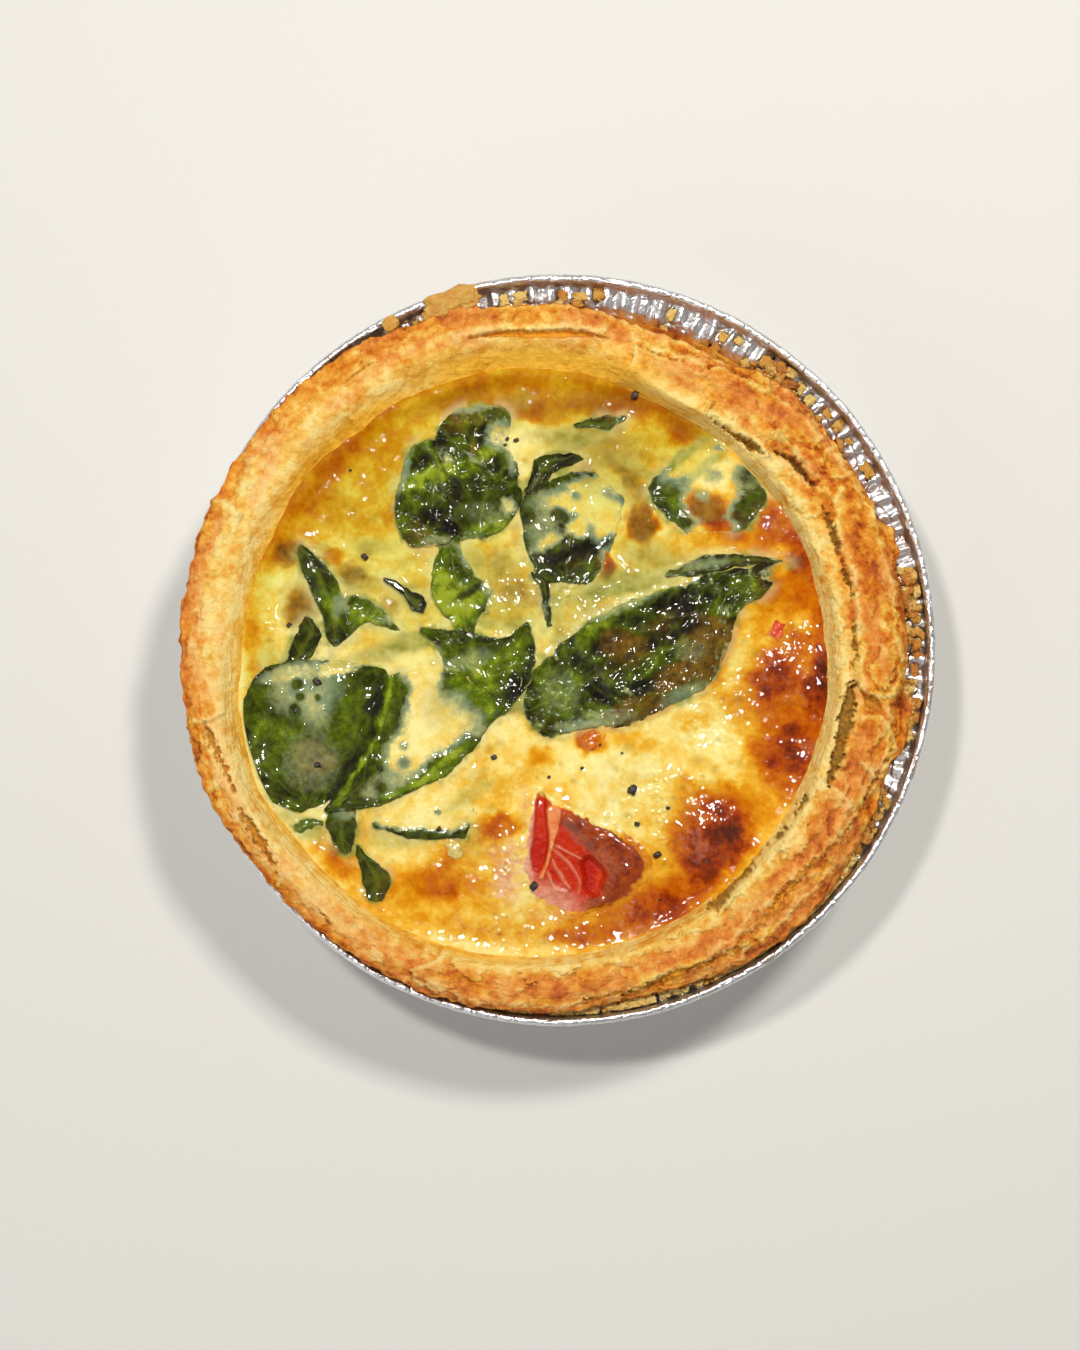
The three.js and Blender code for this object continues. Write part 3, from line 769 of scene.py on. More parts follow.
@dataclass(frozen=True)
class PastryFinish:
    """Baked short pastry: cream where sheltered, golden to orange-brown where it caught the heat, with
    painted shade in its cracks and hollows and painted light on the edges of its flakes.
    """

    crumb: float = 0.16

    def build(self) -> bpy.types.Material:
        """Makes the material.

        Returns:
            The material.
        """
        s = Shader("pastry")
        # how brown the pastry is: its toasting, with painted shade in its hollows and painted light on its
        # ledge edges and on the inner slope at the top
        toast = s.painted("toast")
        steep = s.ease(s.upright(), 0.85, 0.55)
        squashed = s.add("ShaderNodeMapping", {"Vector": s.place, "Scale": (0.3, 0.3, 2.2)}).outputs["Vector"]
        layers = (s.noise(1.3, 4, 0.6, squashed) - 0.5) * steep
        mottle = (s.ease(s.noise(2.4, 5, 0.62), 0.34, 0.66) - 0.5) * 0.32
        specks = (s.noise(0.5, 4, 0.65) - 0.5) * 0.4
        level = toast + mottle + (specks + layers * 0.7)
        baked = s.ramp(
            level,
            (0.0, tint(251, 224, 142)),
            (0.2, tint(245, 200, 100)),
            (0.42, tint(234, 164, 54)),
            (0.6, tint(221, 132, 28)),
            (0.78, tint(196, 96, 14)),
            (1.0, tint(134, 56, 6)),
        )
        blush = s.mix(
            s.painted("blush") * 0.6,
            baked,
            s.ramp(level, (0.1, tint(246, 190, 118)), (0.5, tint(230, 142, 66)), (0.9, tint(186, 92, 40))),
        )
        soaked = s.ramp(
            level,
            (0.0, tint(255, 190, 44)),
            (0.35, tint(222, 150, 10)),
            (0.7, tint(196, 116, 2)),
        )
        damp = s.mix(s.painted("damp"), blush, soaked)
        # painted shade inside the cracks: dark olive-brown deep in them, golden only where glow is high
        deep = s.painted("glow") + (s.noise(0.9, 4, 0.65) - 0.5) * 0.5
        hollow = s.ramp(
            deep,
            (0.0, tint(108, 76, 24)),
            (0.35, tint(166, 124, 46)),
            (0.65, tint(212, 142, 44)),
            (1.0, tint(238, 166, 42)),
        )
        # the painted crack shade laid over the pastry where the cracks are
        colour = s.mix(s.painted("crack_shade"), damp, hollow)
        height = s.noise(1.2, 5, 0.65) + s.noise(0.26, 2, 0.6) * 0.35
        height = height + s.cells(1.3, "F1") * 0.3
        height = height + layers * 1.6
        wet = s.painted("damp") * 0.06
        s.set(
            Base_Color=colour,
            Roughness=s.noise(1.6, 3) * 0.3 + 0.36 - wet,
            Specular_IOR_Level=0.2,
            Subsurface_Weight=0.08,
            Subsurface_Radius=(1.0, 0.7, 0.25),
            Subsurface_Scale=0.001,
            Normal=s.bump(height, self.crumb * 3.0),
        )
        return s.material


class Custards:
    """Colour and gloss that the custard shares with the film of it that lies over the leaves."""

    @staticmethod
    def colour(s: Shader) -> Socket:
        """Baked custard, from cream through gold and orange to dark brown, by the painted brown value.

        Args:
            s: the material that it is built in.

        Returns:
            The colour.
        """
        brown = s.painted("brown")
        cloud = (s.noise(4.5, 3, 0.6) - 0.5) * 0.34
        curds = (s.ease(s.noise(2.3, 5, 0.62), 0.38, 0.6) - 0.5) * 0.13
        pores = s.ease(s.cells(0.9), 0.22, 0.0) * s.ease(s.noise(3.1, 2), 0.5, 0.66)
        mottle = (s.noise(0.9, 4, 0.65) - 0.5) * 0.24
        level = s.math("ADD", brown, cloud + curds + (mottle + pores * 0.16), clamp=True)
        baked = s.ramp(
            level,
            (0.0, tint(248, 232, 154)),
            (0.15, tint(242, 213, 112)),
            (0.3, tint(234, 180, 52)),
            (0.45, tint(220, 146, 16)),
            (0.6, tint(202, 114, 0)),
            (0.73, tint(186, 86, 0)),
            (0.86, tint(150, 52, 0)),
            (1.0, tint(84, 28, 2)),
        )
        baked = s.mix(s.painted("ochre"), baked, tint(216, 226, 150), "MULTIPLY")
        # scorched olive brown, and painted shade in the bubble pits
        baked = s.mix(
            s.painted("scorch_and_pit_shade"),
            baked,
            s.ramp(s.noise(1.4, 4, 0.6), (0.3, tint(88, 60, 4)), (0.7, tint(158, 120, 36))),
        )
        juice = s.painted("juice") * s.ease(brown, 0.5, 0.2)
        baked = s.mix(
            juice * s.ease(s.noise(1.6, 3), 0.3, 0.6),
            baked,
            s.ramp(s.noise(1.1, 3), (0.35, tint(212, 130, 100)), (0.65, tint(236, 200, 166))),
        )
        milky = s.mix(s.painted("milk") * 0.42, baked, tint(218, 220, 160))
        return s.mix(
            s.painted("green"),
            milky,
            s.ramp(s.noise(2.0, 3), (0.35, tint(112, 122, 44)), (0.65, tint(172, 172, 92))),
        )

    @staticmethod
    def gloss(s: Shader) -> tuple[Value, Value]:
        """How wet it shines, and a height for the small bubbles and beads of butter on wet custard.

        Args:
            s: the material that they are built in.

        Returns:
            The wetness, from 0 to 1, and the height.
        """
        patch = (s.noise(3.6, 2) - 0.5) * 0.9
        shine = s.math("ADD", s.painted("wet"), patch, clamp=True)
        beads = s.ease(s.cells(1.15, "SMOOTH_F1"), 0.5, 0.05)
        beads = beads * s.ease(s.noise(2.6, 1), 0.42, 0.54)
        grain = s.noise(1.1, 1, 0.5) * (shine * 0.5 + 0.06)
        height = grain + beads * shine
        return shine, height


@dataclass(frozen=True)
class CustardFinish:
    """Moist baked egg custard."""

    bubble: float = 0.26
    bead: float = 0.24

    def build(self) -> bpy.types.Material:
        """Makes the material.

        Returns:
            The material.
        """
        s = Shader("custard")
        shine, height = Custards.gloss(s)
        s.set(
            Base_Color=Custards.colour(s),
            Roughness=s.noise(1.5, 3) * 0.2 + 0.34,
            Specular_IOR_Level=0.04,
            Coat_Weight=shine,
            Coat_Roughness=0.04,
            Subsurface_Weight=0.08,
            Subsurface_Radius=(1.0, 0.8, 0.3),
            Subsurface_Scale=0.001,
            Normal=s.bump(height, self.bubble),
            Coat_IOR=1.75,
            Coat_Normal=s.bump(height * 0.55 + s.noise(2.2, 1, 0.5) * shine, self.bead),
        )
        return s.material


@dataclass(frozen=True)
class LeafFinish:
    """A wilted spinach leaf, wet and veined, with a film of custard over parts of it, and painted light and
    shade on its folds.
    """

    wrinkle: float = 0.2

    def build(self) -> bpy.types.Material:
        """Makes the material.

        Returns:
            The material.
        """
        s = Shader("spinach")
        blotch = (s.noise(3.0, 5, 0.6) - 0.5) * 1.25
        cells = s.ease(s.cells(1.1, "DISTANCE_TO_EDGE"), 0.0, 0.12) * 0.1
        # lighter and darker green: painted light on crests and fold rims, the leaves' own paler patches, and
        # random blotches
        shade = s.painted("light") + blotch + (cells - 0.08)
        green = s.ramp(
            shade,
            (0.0, tint(18, 16, 4)),
            (0.25, tint(40, 42, 2)),
            (0.5, tint(64, 76, 1)),
            (0.75, tint(90, 110, 2)),
            (1.0, tint(146, 160, 34)),
        )
        vein = s.painted("vein")
        green = s.mix(vein * 0.25, green, tint(136, 148, 40))
        burnt = s.ease(s.painted("brown"), 0.25, 0.9)
        green = s.mix(
            burnt * 0.9,
            green,
            s.ramp(s.noise(1.2, 3), (0.3, tint(70, 46, 4)), (0.7, tint(134, 98, 22))),
        )
        # painted shade: folds, holes and the shadows along leaf edges, darkened to near-black
        green = s.mix(s.painted("painted_shade"), green, tint(20, 13, 8))
        film = s.painted("film")
        spots = (s.noise(1.1, 5, 0.7) - 0.5) * 0.7
        veil = (film + spots) * s.ease(film, 0.02, 0.2)
        milk = s.ramp(s.noise(5.0, 2), (0.4, tint(126, 144, 110)), (0.6, tint(164, 168, 112)))
        thin = s.mix(s.ease(veil, 0.0, 0.7), green, milk)
        colour = s.mix(s.ease(veil, 0.56, 1.0), thin, Custards.colour(s))
        _, beads = Custards.gloss(s)
        crinkled = s.ease(s.noise(5.0, 2), 0.42, 0.6) * 0.9 + 0.15
        wrinkles = s.noise(0.9, 3, 0.5) * crinkled + vein * -0.3
        bare = 1.0 - film * 0.6
        height = wrinkles * bare + beads * 0.5
        gloss = s.painted("wet") * 0.45 + s.noise(3.0, 2) * 0.5
        s.set(
            Base_Color=colour,
            Roughness=s.noise(1.5, 3) * 0.2 + 0.3,
            Specular_IOR_Level=0.06,
            Coat_Weight=gloss,
            Coat_Roughness=0.07,
            Normal=s.bump(height, self.wrinkle),
        )
        return s.material


@dataclass(frozen=True)
class TomatoFinish:
    """Cut tomato: wet red flesh, browned wall, a milky skin, and custard that has run over it, with painted
    highlights on its threads and painted shade in one hollow.
    """

    ripple: float = 0.34

    def build(self) -> bpy.types.Material:
        """Makes the material.

        Returns:
            The material.
        """
        s = Shader("tomato")
        level = s.painted("flesh") + (s.noise(1.3, 4) - 0.5) * 0.35
        flesh = s.ramp(
            level,
            (0.0, tint(238, 158, 96)),
            (0.25, tint(216, 82, 24)),
            (0.5, tint(196, 40, 4)),
            (0.75, tint(178, 24, 2)),
            (1.0, tint(120, 12, 2)),
        )
        wall = s.ramp(s.noise(1.8, 3), (0.3, tint(120, 36, 6)), (0.7, tint(176, 74, 8)))
        colour = s.mix(s.painted("wall"), flesh, wall)
        colour = s.mix(
            s.painted("skin"),
            colour,
            s.ramp(s.noise(1.0, 4), (0.35, tint(214, 140, 112)), (0.65, tint(236, 190, 160))),
        )
        colour = s.mix(s.ease(s.painted("film"), 0.15, 0.7), colour, Custards.colour(s))
        _, beads = Custards.gloss(s)
        s.set(
            Base_Color=colour,
            Roughness=s.noise(1.5, 3) * 0.2 + 0.2,
            Specular_IOR_Level=0.1,
            Coat_Weight=1.0,
            Coat_Roughness=0.09,
            Normal=s.bump(beads * 0.7 + s.noise(1.0, 3), self.ripple),
        )
        return s.material


@dataclass(frozen=True)
class MorselFinish:
    """A small soft chunk in the custard, glossy and see-through at its edges."""

    name: str
    deep: Colour
    pale: Colour

    def build(self) -> bpy.types.Material:
        """Makes the material.

        Returns:
            The material.
        """
        s = Shader(self.name)
        body = s.ramp(s.noise(1.0, 4, 0.6), (0.32, tint(*self.deep)), (0.68, tint(*self.pale)))
        _, beads = Custards.gloss(s)
        s.set(
            Base_Color=s.mix(s.ease(s.painted("film"), 0.2, 0.7), body, Custards.colour(s)),
            Roughness=s.noise(1.5, 3) * 0.2 + 0.2,
            Specular_IOR_Level=0.1,
            Coat_Weight=0.9,
            Coat_Roughness=0.1,
            Normal=s.bump(beads + s.noise(0.7, 3), 0.25),
        )
        return s.material


@dataclass(frozen=True)
class CrumbFinish:
    """Crumbs and squares of dough that baked hard on the foil."""

    def build(self) -> bpy.types.Material:
        """Makes the material.

        Returns:
            The material.
        """
        s = Shader("crumbs")
        mottle = (s.noise(1.3, 5, 0.65) - 0.5) * 1.1
        colour = s.ramp(
            s.painted("toast") + mottle,
            (0.0, tint(240, 206, 122)),
            (0.4, tint(214, 160, 66)),
            (0.7, tint(200, 124, 40)),
            (1.0, tint(154, 84, 26)),
        )
        s.set(
            Base_Color=colour,
            Roughness=0.42,
            Subsurface_Weight=0.15,
            Subsurface_Radius=(1.0, 0.5, 0.2),
            Subsurface_Scale=0.001,
            Normal=s.bump(s.noise(0.6, 5, 0.65), 0.42),
        )
        return s.material


@dataclass(frozen=True)
class PepperFinish:
    """Cracked black pepper."""

    def build(self) -> bpy.types.Material:
        """Makes the material.

        Returns:
            The material.
        """
        s = Shader("pepper")
        colour = s.ramp(s.noise(0.5, 3), (0.35, tint(22, 17, 14)), (0.7, tint(64, 46, 34)))
        s.set(Base_Color=colour, Roughness=0.35, Normal=s.bump(s.noise(0.2, 3), 0.08))
        return s.material


# ---------------------------------------------------------------------------- shapes that pieces share


@dataclass(frozen=True)
class FillingShape:
    """The custard's outline and the smooth height of its top."""

    cx: float = -4.1
    cy: float = -2.7
    radius: float = 49.3
    level: float = 28.4
    dome: float = 0.7
    edge_rise: float = 0.6
    edge_width: float = 2.5
    lumps: tuple[tuple[float, float, float, float], ...] = (
        (25.4, -31.2, 6.5, 1.3),
        (37.2, -2.6, 5.5, 0.9),
        (42.2, -7.2, 4.2, 0.7),
        (40.5, 15.5, 6.0, 0.8),
        (-20.3, -39.6, 4.5, 0.6),
        (-6.8, 42.0, 7.0, 0.5),
        (13.9, 20.8, 3.0, 0.8),
        (8.0, 14.6, 2.6, 0.7),
        (-41.0, 7.8, 3.0, 0.4),
        (-4.0, -22.0, 6.0, -0.5),
        (12.0, -22.0, 7.0, -0.4),
    )

    def edge(self, angle: Array) -> Array:
        """How far from the axis the custard meets the crust at its top.

        Args:
            angle: degrees round the pie.

        Returns:
            The distance at each angle, in mm.
        """
        return (
            reach(angle, self.cx, self.cy, self.radius)
            + 0.35 * ripple(angle, 1.3)
            + 1.5 * over(angle, 188, 212, 9)
        )

    def top(self, x: Array, y: Array) -> Array:
        """The smooth height of the custard's top.

        Args:
            x: the places' x.
            y: the places' y.

        Returns:
            The height at each place, in mm.
        """
        angle = np.degrees(np.arctan2(y, x))
        inset = self.edge(angle) - np.hypot(x, y)
        middle = np.hypot(x - self.cx, y - self.cy) / self.radius
        z = self.level + self.dome * (1 - middle**2)
        z = z + 0.22 * np.sin(x / 4.3 + 1.1) * np.sin(y / 5.1 + 0.4) + 0.16 * np.sin(x / 2.9 - y / 3.7)
        z = z + self.edge_rise * (1 - smooth(0, self.edge_width, inset))
        for lx, ly, size, height in self.lumps:
            z = z + height * np.exp(-((x - lx) ** 2 + (y - ly) ** 2) / (0.45 * size**2))
        return z


FILLING = FillingShape()

BROWN = Stain(
    blots(
        # along the top edge
        (540, 382, 130, 12, 0, 0.16), (534, 410, 34, 13, 0, 0.3, 0.6), (532, 414, 16, 9, 0, 0.35, 0.35),
        (440, 405, 46, 12, 25, 0.14, 0.6), (612, 402, 46, 14, 0, 0.34), (683, 420, 26, 18, -30, 0.38),
        (725, 440, 26, 14, -35, 0.24, 0.6), (680, 438, 14, 10, 0, 0.3),
        # among the leaves at the top right
        (706, 508, 22, 17, -20, 0.6), (727, 526, 20, 15, -30, 0.5), (642, 524, 16, 19, 0, 0.7, 0.3),
        (606, 565, 9, 13, 0, 0.75, 0.3), (585, 474, 8, 10, 0, 0.3, 0.4),
        # the right edge
        (812, 580, 18, 60, 14, 0.5), (832, 660, 14, 90, 0, 0.6), (815, 692, 14, 18, 0, 0.6),
        (802, 690, 34, 76, 4, 0.26, 0.3), (778, 690, 22, 34, 20, 0.2, 0.4),
        (730, 824, 50, 34, -14, 0.3, 0.3), (799, 552, 12, 30, 25, 0.5), (772, 520, 18, 22, 0, 0.5),
        (768, 590, 12, 24, 0, 0.3, 0.6), (773, 674, 24, 24, 0, 0.6, 0.45), (822, 668, 10, 20, 0, 0.6),
        (820, 700, 16, 26, 0, 0.5), (800, 745, 24, 26, 20, 0.5), (776, 750, 26, 16, 0, 0.35),
        (786, 772, 22, 30, 30, 0.45), (800, 640, 14, 20, 0, 0.25, 0.6), (742, 700, 20, 14, -30, 0.2, 0.6),
        (790, 596, 12, 20, 0, 0.3, 0.6),
        # the blister at the lower right, and the edge beneath it
        (712, 835, 44, 44, 0, 0.55, 0.3), (716, 836, 30, 30, 0, 0.6, 0.4), (690, 800, 22, 20, 0, 0.35),
        (684, 890, 34, 20, 30, 0.45), (648, 913, 34, 18, 15, 0.45), (704, 872, 20, 18, 0, 0.45),
        (636, 745, 22, 12, 0, 0.2, 0.6), (689, 720, 16, 10, 0, 0.3, 0.6), (730, 786, 14, 8, -20, 0.3, 0.6),
        # the bottom edge
        (590, 934, 40, 11, 0, 0.5), (470, 930, 40, 12, -14, 0.2), (612, 908, 40, 16, 0, 0.3, 0.6),
        (501, 826, 20, 12, 0, 0.6), (478, 832, 12, 12, 0, 0.3, 0.6),
        # the lower left
        (439, 882, 22, 20, 0, 0.4), (446, 890, 12, 10, 0, 0.35), (395, 886, 34, 16, -35, 0.2, 0.6),
        (344, 864, 20, 12, -40, 0.35), (327, 853, 16, 11, -30, 0.25), (442, 850, 20, 14, 0, 0.2, 0.6),
        # the middle
        (590, 740, 14, 14, 0, 0.55, 0.35), (541, 757, 12, 9, 0, 0.3, 0.6), (546, 722, 16, 10, 0, 0.3, 0.6),
        (560, 790, 10, 30, 0, 0.12, 0.6),
        # the left
        (288, 551, 13, 12, 20, 0.85), (300, 608, 13, 15, 0, 0.6, 0.6), (334, 556, 10, 8, 0, 0.4),
        (268, 545, 12, 26, -10, 0.3, 0.6), (252, 640, 7, 80, 4, 0.22, 0.6),
        (322, 482, 9, 60, -42, 0.15, 0.6), (388, 515, 10, 10, 0, 0.3, 0.6),
        # on the leaves
        (314, 760, 21, 22, 0, 0.78), (612, 640, 14, 13, 0, 0.7), (712, 640, 26, 22, 30, 0.7),
        (640, 706, 40, 14, 20, 0.6), (473, 449, 8, 9, 0, 0.6), (456, 428, 12, 8, 0, 0.45),
        (422, 540, 16, 9, 0, 0.4), (690, 672, 34, 14, 25, 0.6), (640, 650, 70, 26, 30, 0.28, 0.6),
        (700, 515, 14, 10, 0, 0.5), (628, 648, 18, 15, 0, 0.7), (708, 648, 20, 34, 10, 0.65),
        (616, 716, 16, 8, 0, 0.5), (476, 672, 9, 9, 0, 0.5, 0.6), (298, 740, 10, 8, 0, 0.3, 0.6),
        (580, 560, 24, 10, 20, 0.3, 0.6), (470, 420, 24, 8, 0, 0.35, 0.6), (416, 530, 12, 12, 0, 0.35, 0.6),
        (545, 690, 12, 16, 0, 0.3, 0.6), (672, 676, 24, 10, 20, 0.5, 0.6),
        (666, 620, 22, 10, 30, 0.45, 0.6),
        soft=0.5,
    ),
    seed=11,
    wander=5.0,
)

# where custard has scorched to an olive brown
SCORCH = Stain(
    blots(
        (604, 402, 44, 12, 0, 0.4), (452, 401, 44, 8, 18, 0.3), (690, 424, 26, 14, -30, 0.35),
        (540, 412, 30, 8, 0, 0.25), (288, 552, 14, 11, 20, 0.8), (302, 606, 17, 22, 0, 0.85, 0.7),
        (322, 552, 10, 8, 0, 0.4, 0.5), (352, 574, 14, 11, 0, 0.7, 0.5), (390, 606, 11, 10, 0, 0.55, 0.5),
        (323, 683, 7, 6, 0, 0.7, 0.5), (642, 524, 13, 16, 0, 0.8, 0.3), (706, 506, 18, 13, -20, 0.7, 0.5),
        (632, 478, 16, 8, -40, 0.6, 0.5), (646, 499, 9, 12, 20, 0.5, 0.5), (585, 477, 10, 12, 0, 0.45, 0.5),
        (498, 562, 12, 16, -20, 0.35), (516, 592, 16, 9, 20, 0.45), (572, 440, 30, 9, -8, 0.4),
        (596, 462, 40, 10, 10, 0.35), (655, 556, 26, 12, 0, 0.3), (366, 552, 10, 6, 0, 0.4, 0.5),
        (512, 708, 9, 8, 0, 0.7, 0.5), (372, 652, 26, 6, 15, 0.3), (545, 600, 8, 16, 0, 0.4),
        (705, 512, 14, 9, 0, 0.4, 0.5), (440, 445, 9, 7, 0, 0.4, 0.5), (360, 600, 8, 6, 0, 0.2, 0.5),
        (480, 775, 12, 6, 20, 0.2), (340, 500, 30, 8, -40, 0.12), (508, 580, 16, 24, 20, 0.4),
        (478, 560, 8, 12, 0, 0.3), (530, 600, 12, 8, 0, 0.35), (362, 584, 22, 10, -20, 0.35),
        (410, 560, 14, 6, 30, 0.2), (590, 612, 26, 6, 10, 0.3), (566, 628, 12, 6, 0, 0.3),
        (620, 470, 30, 5, -50, 0.5), (634, 500, 8, 20, 20, 0.4), (560, 452, 22, 6, 20, 0.3),
        (600, 440, 30, 5, 0, 0.3), (540, 430, 24, 6, 30, 0.25), (438, 662, 10, 5, 0, 0.3),
        (300, 640, 12, 6, 0, 0.4), (345, 640, 20, 5, 0, 0.25), (262, 700, 8, 20, 0, 0.3),
        (310, 575, 12, 6, -40, 0.35), (418, 585, 12, 4, 0, 0.2), (622, 584, 26, 8, 10, 0.35),
        (440, 700, 18, 24, -20, 0.22), (356, 576, 18, 7, -10, 0.4), (296, 560, 16, 10, 20, 0.3),
        (300, 610, 16, 16, 0, 0.3),
        soft=0.6,
    ),
    seed=14,
    wander=4.0,
    wander_size=9.0,
)

# where a leaf shows greenish through the custard
GREEN = Stain(
    blots(
        (604, 448, 40, 18, 0, 0.4), (606, 486, 22, 14, 0, 0.35), (660, 566, 40, 14, 0, 0.4),
        (620, 582, 26, 12, 0, 0.5), (640, 548, 20, 12, 0, 0.35), (418, 640, 36, 9, 10, 0.7, 0.5),
        (380, 655, 34, 8, 15, 0.5), (330, 664, 24, 7, 0, 0.5), (622, 580, 24, 8, -10, 0.5),
        (502, 612, 16, 10, 0, 0.3), (556, 604, 10, 26, 0, 0.5), (468, 796, 30, 8, 30, 0.4),
        (396, 838, 44, 10, 5, 0.4), (345, 824, 14, 9, 0, 0.5), (312, 832, 14, 10, 0, 0.6),
        (375, 545, 24, 7, 0, 0.35), (348, 606, 8, 22, -20, 0.5), (470, 560, 10, 20, 20, 0.35),
        (360, 790, 30, 8, -20, 0.4), (700, 470, 36, 5, 38, 0.6, 0.5), (756, 500, 9, 26, -20, 0.5),
        (745, 566, 26, 7, 0, 0.4), (450, 700, 26, 30, -20, 0.16), (330, 632, 16, 7, 0, 0.4),
        (270, 660, 12, 16, 0, 0.3), (520, 622, 16, 8, 20, 0.4), (681, 458, 40, 5, 38, 0.8),
        (522, 400, 16, 8, 0, 0.3), (575, 435, 34, 10, 10, 0.5), (640, 470, 26, 6, -36, 0.5),
        (620, 590, 50, 6, 12, 0.6), (490, 624, 30, 6, 0, 0.5), (560, 640, 10, 10, 0, 0.4),
        (590, 596, 24, 12, 20, 0.4), (410, 600, 22, 10, -30, 0.3), (366, 680, 40, 6, 10, 0.3),
        (468, 836, 14, 20, 20, 0.3), (300, 820, 30, 6, -14, 0.5),
        soft=0.6,
    ),
    seed=15,
)

PALE = Stain(
    blots(
        (712, 474, 26, 20, 0, 0.8), (747, 652, 12, 22, 40, 0.45, 0.5), (730, 668, 10, 26, 20, 0.4, 0.5),
        (640, 795, 56, 34, -20, 0.5), (660, 845, 14, 20, 0, 0.2), (804, 622, 9, 12, 0, 0.6, 0.5),
        (600, 765, 60, 14, 0, 0.4), (585, 505, 40, 30, 0, 0.8, 0.5), (430, 700, 50, 70, -20, 0.5, 0.5),
        (430, 820, 50, 22, 0, 0.8, 0.5), (400, 850, 34, 16, -10, 0.7, 0.5), (520, 884, 22, 30, 0, 0.7),
        (700, 760, 50, 14, -20, 0.3), (276, 598, 14, 30, 10, 0.4), (400, 560, 30, 26, 0, 0.35),
        (520, 830, 16, 14, 0, 0.3), (400, 845, 40, 20, 20, 0.3),
        soft=0.6,
    ),
    seed=12,
)

FILM = Stain(
    blots(
        # over the round leaf
        (306, 690, 34, 24, 10, 0.6), (290, 672, 32, 8, 14, 0.6, 0.5), (342, 664, 26, 9, 20, 1, 0.4),
        (366, 655, 30, 8, 30, 1, 0.4), (318, 712, 14, 18, 0, 0.4), (310, 762, 30, 30, 0, 0.3),
        # over the big left leaf, and the custard between it and the dark one
        (424, 690, 17, 34, -14, 1, 0.4), (432, 726, 30, 24, 10, 1, 0.4), (408, 752, 24, 20, 30, 1, 0.4),
        (446, 732, 32, 16, 35, 0.8, 0.5), (396, 776, 28, 12, 30, 0.6), (420, 664, 22, 22, 0, 1, 0.4),
        (376, 790, 18, 8, 20, 0.3), (474, 722, 12, 16, 30, 0.5, 0.5), (452, 700, 16, 12, 0, 0.6, 0.5),
        # over the veiled leaf in the middle
        (594, 506, 34, 13, -6, 1, 0.5), (608, 528, 18, 16, 0, 1, 0.5), (542, 520, 18, 28, 0, 0.42),
        (602, 486, 36, 10, 0, 1, 0.4), (566, 500, 22, 11, 0, 0.85), (560, 534, 34, 6, 32, 0.8, 0.5),
        (580, 530, 8, 8, 0, 0.9, 0.5), (616, 550, 16, 12, 30, 1, 0.4), (618, 575, 20, 10, 0, 1, 0.4),
        (585, 520, 14, 6, 20, 0.6, 0.5),
        # over the veiled leaf at the top right
        (712, 470, 38, 22, 10, 1, 0.4), (720, 490, 20, 14, -20, 1, 0.4), (706, 506, 25, 17, -16, 1, 0.35),
        (745, 480, 12, 10, 0, 0.5), (700, 498, 12, 8, 30, 0.5, 0.5), (690, 458, 34, 9, 38, 1, 0.5),
        (712, 530, 26, 10, 10, 1, 0.4), (740, 456, 14, 8, -30, 0.8, 0.5), (474, 404, 34, 8, 10, 0.6),
        (512, 446, 6, 26, 0, 0.7), (404, 470, 5, 30, -14, 0.5), (500, 520, 12, 12, 0, 0.15),
        (474, 545, 24, 5, 0, 0.4),
        # small ones
        (509, 506, 7, 9, 10, 0.8, 0.5), (500, 436, 14, 14, 0, 0.8, 0.5), (474, 552, 14, 14, 10, 0.9, 0.5),
        (424, 813, 50, 16, 6, 1, 0.2), (440, 812, 36, 20, 0, 1, 0.2), (345, 815, 12, 5, 0, 0.5),
        (594, 433, 16, 4, -8, 0.7, 0.5), (340, 604, 7, 14, -20, 0.5), (392, 618, 8, 6, 0, 0.5),
        (480, 512, 18, 12, 0, 0.22), (436, 541, 16, 6, 0, 0.4), (494, 574, 10, 20, -10, 0.9, 0.4),
        # over the big right leaf
        (684, 694, 26, 9, 24, 0.4), (560, 692, 24, 26, 20, 0.22), (757, 612, 12, 12, 0, 0.7, 0.5),
        (610, 716, 30, 7, 0, 0.3), (584, 726, 30, 6, 5, 0.5, 0.5), (612, 608, 50, 8, 20, 0.4),
        (700, 564, 30, 6, 5, 0.4, 0.5), (655, 576, 22, 4, 0, 0.3), (690, 650, 20, 12, 0, 0.25),
        (540, 612, 8, 10, 0, 0.4, 0.5), (470, 660, 24, 10, 20, 0.35),
        soft=0.6,
    ),
    seed=21,
    wander=2.6,
    wander_size=7.0,
)

EYES = Stain(
    blots(
        (297, 684, 5, 5, 0, 0.8, 0.7), (300, 697, 4, 4, 0, 0.8, 0.7), (295, 710, 5, 6, 0, 0.8, 0.7),
        (318, 697, 3, 3, 0, 1, 0.35), (404, 762, 6, 6, 0, 0.6), (404, 746, 5, 5, 0, 0.5),
        (403, 691, 9, 7, 0, 0.5), (382, 786, 7, 6, 0, 0.6), (558, 513, 6, 5, 0, 0.7),
        (561, 531, 5, 5, 0, 0.6), (530, 516, 5, 6, 0, 0.6), (577, 497, 5, 4, 0, 0.5),
        (608, 491, 6, 5, 0, 0.4), (612, 543, 10, 9, 0, 0.75, 0.7), (713, 476, 9, 7, 0, 0.35, 0.9),
        (742, 474, 9, 9, 0, 0.6, 0.9), (686, 480, 6, 5, 0, 0.4, 0.9), (438, 812, 4, 3, 0, 0.5, 0.35),
        (703, 496, 7, 5, 0, 0.4, 0.9), (446, 690, 8, 6, 0, 0.3, 0.9),
        soft=0.8,
    ),
    seed=22,
    wander=1.0,
)

